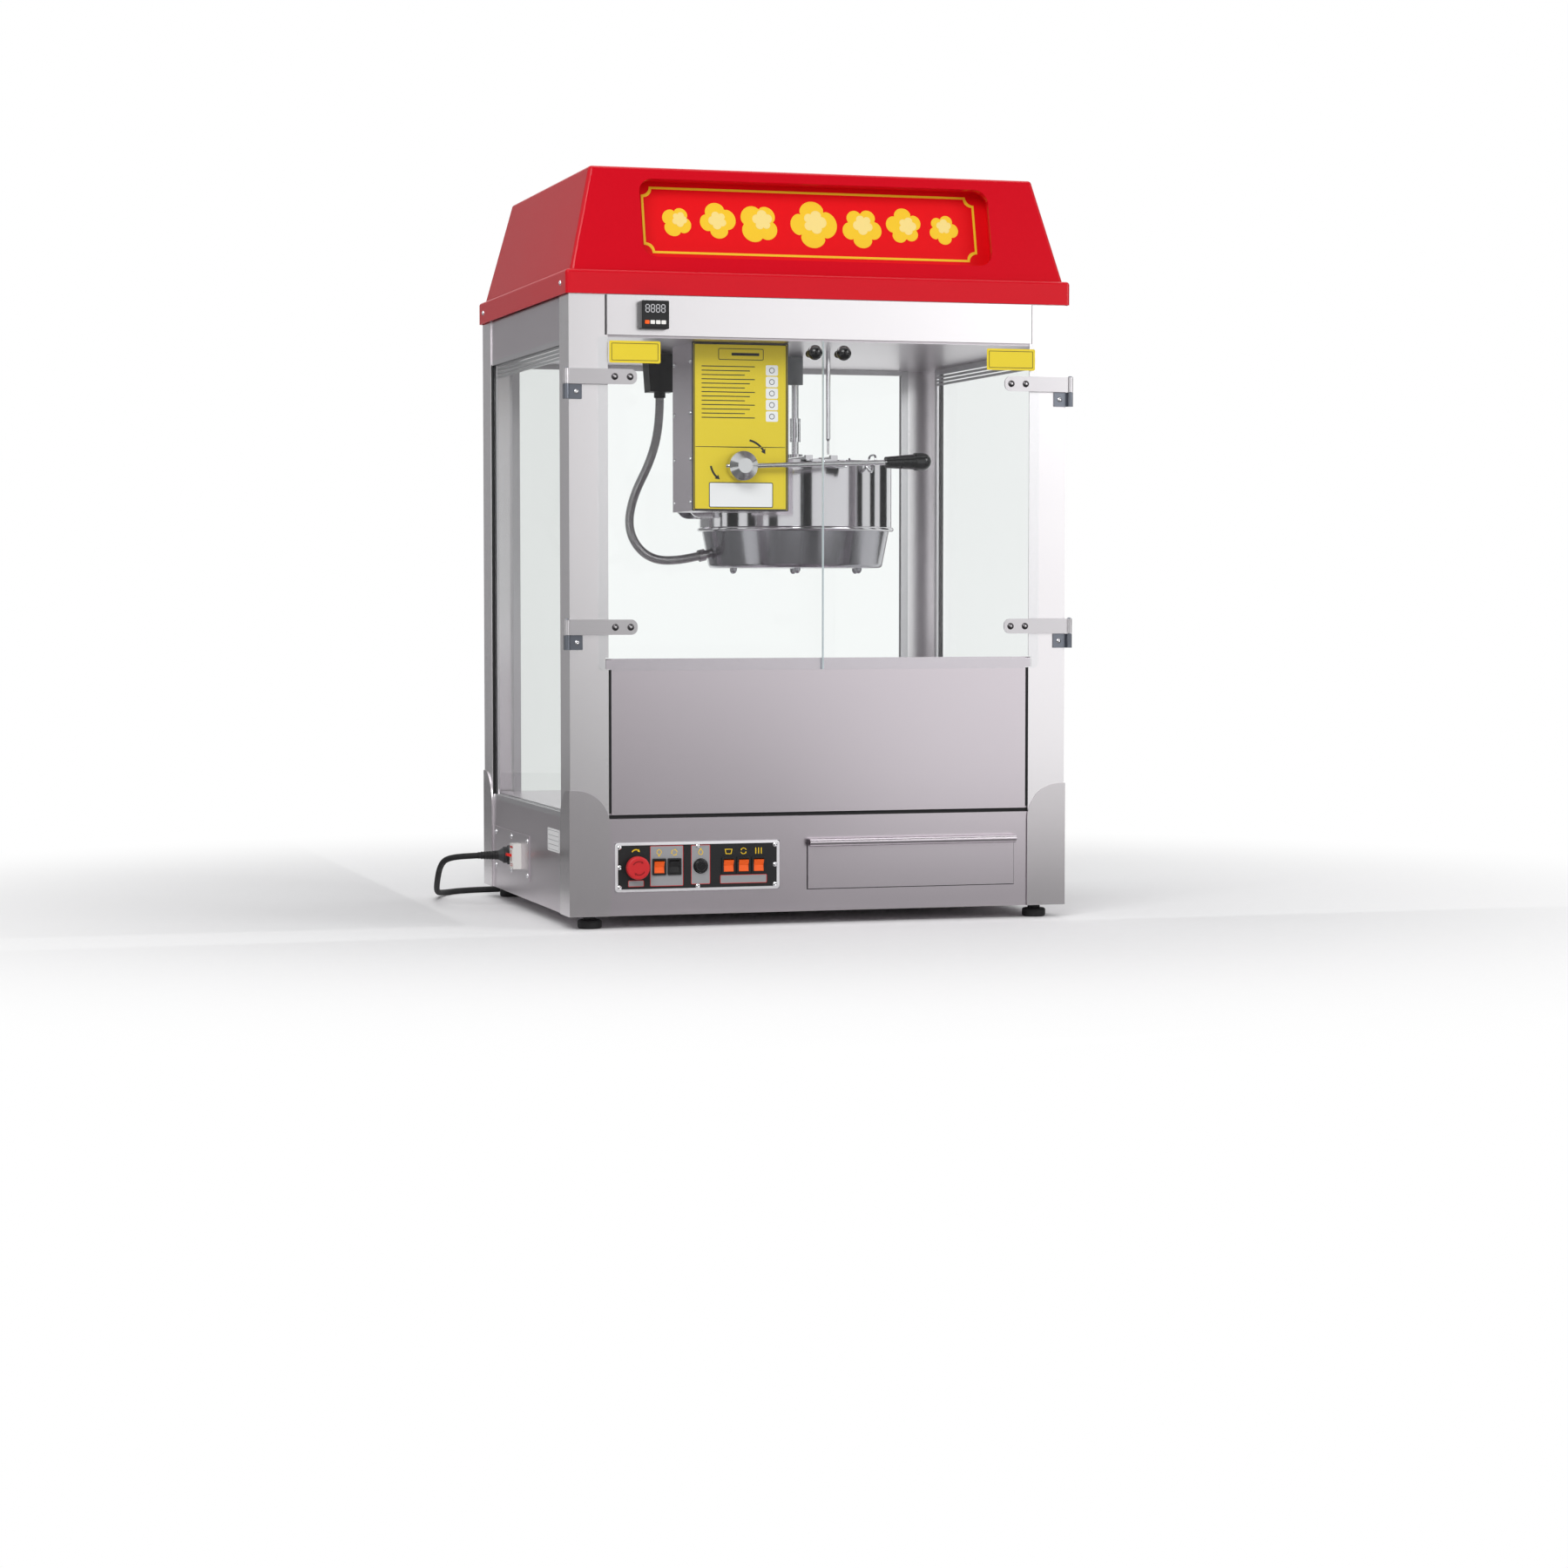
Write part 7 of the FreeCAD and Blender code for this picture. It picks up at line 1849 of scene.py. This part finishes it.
@dataclass
class Drive:
    """Drive box cover's print, tilt lever, stirrer drive and oil feed.

    Sizes are in millimetres, and the print's places are measured from the lever's axis.
    """

    edge_inset: float = 1.0
    edge_line: float = 1.6
    rim_wide: float = 2.2
    rim_thickness: float = 0.8
    ink: float = 0.2
    tile_ink: float = 0.15
    ring_ink: float = 0.12
    plate: Field = (-57.0, 59.0, -72.0, -28.0)
    plate_line: float = 1.4
    seam: Field = (-81.0, 81.0, 33.0, 33.9)
    arrows: tuple[tuple[float, ...], ...] = ((8, 6, 40, 78, 34, 3.6), (-20, 6, 34, 190, 226, 3.6))
    heading: Field = (-40.0, 42.0, 184.0, 204.0)
    heading_line: float = 1.2
    heading_bar: Field = (-16.0, 34.0, 191.5, 196.5)
    corner: float = 3.0
    row_count: int = 13
    row_pitch: float = 7.4
    row_top: float = 172.0
    row_thickness: float = 1.6
    row_start: float = -70.0
    row_end: float = 26.0
    row_steps: int = 3
    row_step: float = 9.0
    tile: Field = (46.0, 68.0, 158.0, 176.0)
    tile_corner: float = 2.5
    tile_pitch: float = 20.0
    tile_count: int = 5
    tile_ring: float = 5.0
    tile_ring_inner: float = 3.9

    def build(self) -> None:
        """Makes the print on the yellow cover."""
        box, cover = Span.of("drive_box"), Span.of("drive_box_cover")
        axis_z = TILT_MIDDLE.z
        face = front(box.middle.x, cover.front, axis_z)
        x0, x1, y0, y1 = self.tile
        drops = [self.tile_pitch * i for i in range(self.tile_count)]
        tiles = [panel(x0, x1, y0 - drop, y1 - drop, self.tile_corner) for drop in drops]
        printed("cover_tiles", face, tiles, self.tile_ink, PRINT_PALE, "cabinet")
        x, y = (x0 + x1) / 2, (y0 + y1) / 2
        outer, inner = self.tile_ring, self.tile_ring_inner
        rings = [loop for drop in drops for loop in ring(x, y - drop, outer, inner, 24)]
        printed("cover_tile_rings", face, rings, self.ring_ink, DARK_PRINT_AND_SHADE, "cabinet",
                lift=self.tile_ink)
        half = (cover.right - cover.left) / 2 - self.edge_inset
        edge = (-half, half, cover.bottom - axis_z, cover.top - axis_z)
        dark = frame_band(edge, self.edge_line, self.corner)
        dark += frame_band(self.plate, self.plate_line, self.corner)
        dark += [panel(*self.seam)] + [arrow_arc(*arrow) for arrow in self.arrows]
        dark += frame_band(self.heading, self.heading_line, self.corner)
        dark += [panel(*self.heading_bar, corner=1.0)]
        dark += [self.row(i) for i in range(self.row_count)]
        printed("cover_print", face, dark, self.ink, DARK_PRINT_AND_SHADE, "cabinet")
        blank = panel(*inset(self.plate, self.plate_line), corner=2)
        printed("cover_plate", face, [blank], self.tile_ink, PRINT_PALE, "cabinet")
        half = (box.right - box.left) / 2
        rim = frame_band((-half, half, box.bottom - axis_z, box.top - axis_z), self.rim_wide, corner=1.5)
        printed("cover_rim", face, rim, self.rim_thickness, DARK_STEEL, "cabinet", bevel=0.3)

    def row(self, place: int) -> Loop:
        """One of the plain rules on the cover.

        Args:
            place: Number of the rule, from the top.
        Returns:
            Its outline.
        """
        y = self.row_top - self.row_pitch * place
        end = self.row_end - self.row_step * (place % self.row_steps)
        return panel(self.row_start, end, y, y + self.row_thickness)

    def dress(self) -> None:
        """Finishes of the drive's CAD nodes."""
        dress(YELLOW, "drive_box_cover")
        dress(BRASS, "shaft_bushes")
        dress(TURNED, "tilt_lever")
        dress(CHROME, "tilt_shaft", "oil_tube", "drive_shaft", "stirrer")
        dress(GLOSS_BLACK, "lever_grip")
        dress(CAST, "gearmotor", "oil_pump")
        dress(SATIN_BLACK, "conduit_connector")


@dataclass
class Kettle:
    """Kettle with its lids, hooks and flexible conduit. Sizes are in millimetres."""

    hose: NodeModel
    hose_pitch: float = 2.6
    hose_core: float = 7.3
    hose_rib: float = 1.0
    hose_root: float = 4.0
    sweep: float = 61.0
    bends: tuple[Point2, ...] = ((0.0, 0.84), (0.26, 0.61), (0.85, 0.37), (1.0, 0.16))
    elbow_x: float = -118.0
    elbow_z: float = 645.0
    elbow_root: Point2 = (3.0, 0.7)
    run: float = 52.0
    sag: float = 12.0
    hook_radius: float = 2.0
    hook: tuple[Point3, ...] = ((62, -122, 819), (64, -134, 819), (70, -138, 808), (86, -139, 803),
                                (108, -138, 804), (116, -134, 812), (117, -126, 819))
    latch_radius: float = 2.6
    latch: tuple[Point3, ...] = ((150, -112, 812), (152, -119, 806), (158, -119, 797), (164, -115, 797),
                                 (166, -108, 806))
    loop_out: float = 150.0
    loop_radius: float = 2.2
    loop: tuple[Point2, ...] = ((-20, 816), (-20, 826), (-17, 832), (0, 834), (17, 832), (20, 826),
                                (20, 816))
    smooth_deg: float = 60.0

    def route(self) -> list[Vector]:
        """The conduit's way from its connector to the elbow.

        Returns:
            Control points in metres.
        """
        top = Span.of("conduit_connector")
        x, y, z = top.middle.x, top.middle.y, self.elbow_z
        corners = [(x, top.bottom + self.hose_root)]
        corners += [(x - across * self.sweep, z + down * (top.bottom - z)) for across, down in self.bends]
        corners += [(self.elbow_x - 2 * self.run, z), (self.elbow_x - self.run, z - self.sag),
                    (self.elbow_x + self.elbow_root[0], z + self.elbow_root[1])]
        return [at(cx, y, cz) for cx, cz in corners]

    def build(self) -> None:
        """Makes the conduit, the hooks and the lids' lifting loops."""
        points = self.route()
        values = {"Pitch": self.hose_pitch * MM, "Core": self.hose_core * MM, "Rib": self.hose_rib * MM,
                  "Finish": DARK_CHROME.material()}
        mesh = self.hose.run(nurbs("conduit_line", points), values)
        conduit = finished("flexible_conduit", mesh, DARK_CHROME, None, ["kettle_conduit"],
                           self.smooth_deg)
        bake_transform(conduit)
        wires = joined([wire_mesh(self.hook, self.hook_radius), wire_mesh(self.latch, self.latch_radius)])
        finished("kettle_hooks", wires, CHROME, "kettle", sharp=self.smooth_deg)
        for side, label in SIDES:
            x = KETTLE_MIDDLE.x + side * self.loop_out
            loop = wire_mesh([(x, KETTLE_MIDDLE.y + dy, z) for dy, z in self.loop], self.loop_radius)
            finished(label + "_lid_loop", loop, CHROME, label + "_lid",
                     sharp=self.smooth_deg)

    def dress(self) -> None:
        """Finishes of the kettle's CAD nodes."""
        dress(SPUN, "kettle_pot", "kettle_crossbar", "left_lid", "right_lid")
        dress(PAN_SPUN, "kettle_base")
        dress(CAST, "heating_element")
        dress(DARK_CHROME, "conduit_elbow", "kettle_conduit")


def main() -> None:
    """Builds the looks in order: camera, cord, pieces, then finishes and the set."""
    logging.basicConfig(level=logging.INFO, format="%(name)s: %(message)s")
    scatter = scatter_model()
    assemblies = [Studio(), PowerCord(), Cabinet(scatter), Doors(scatter), Controls(), Drive(),
                  Kettle(hose_model())]
    for assembly in assemblies:
        assembly.build()
    for assembly in assemblies:
        assembly.dress()


if __name__ == "__main__":
    main()
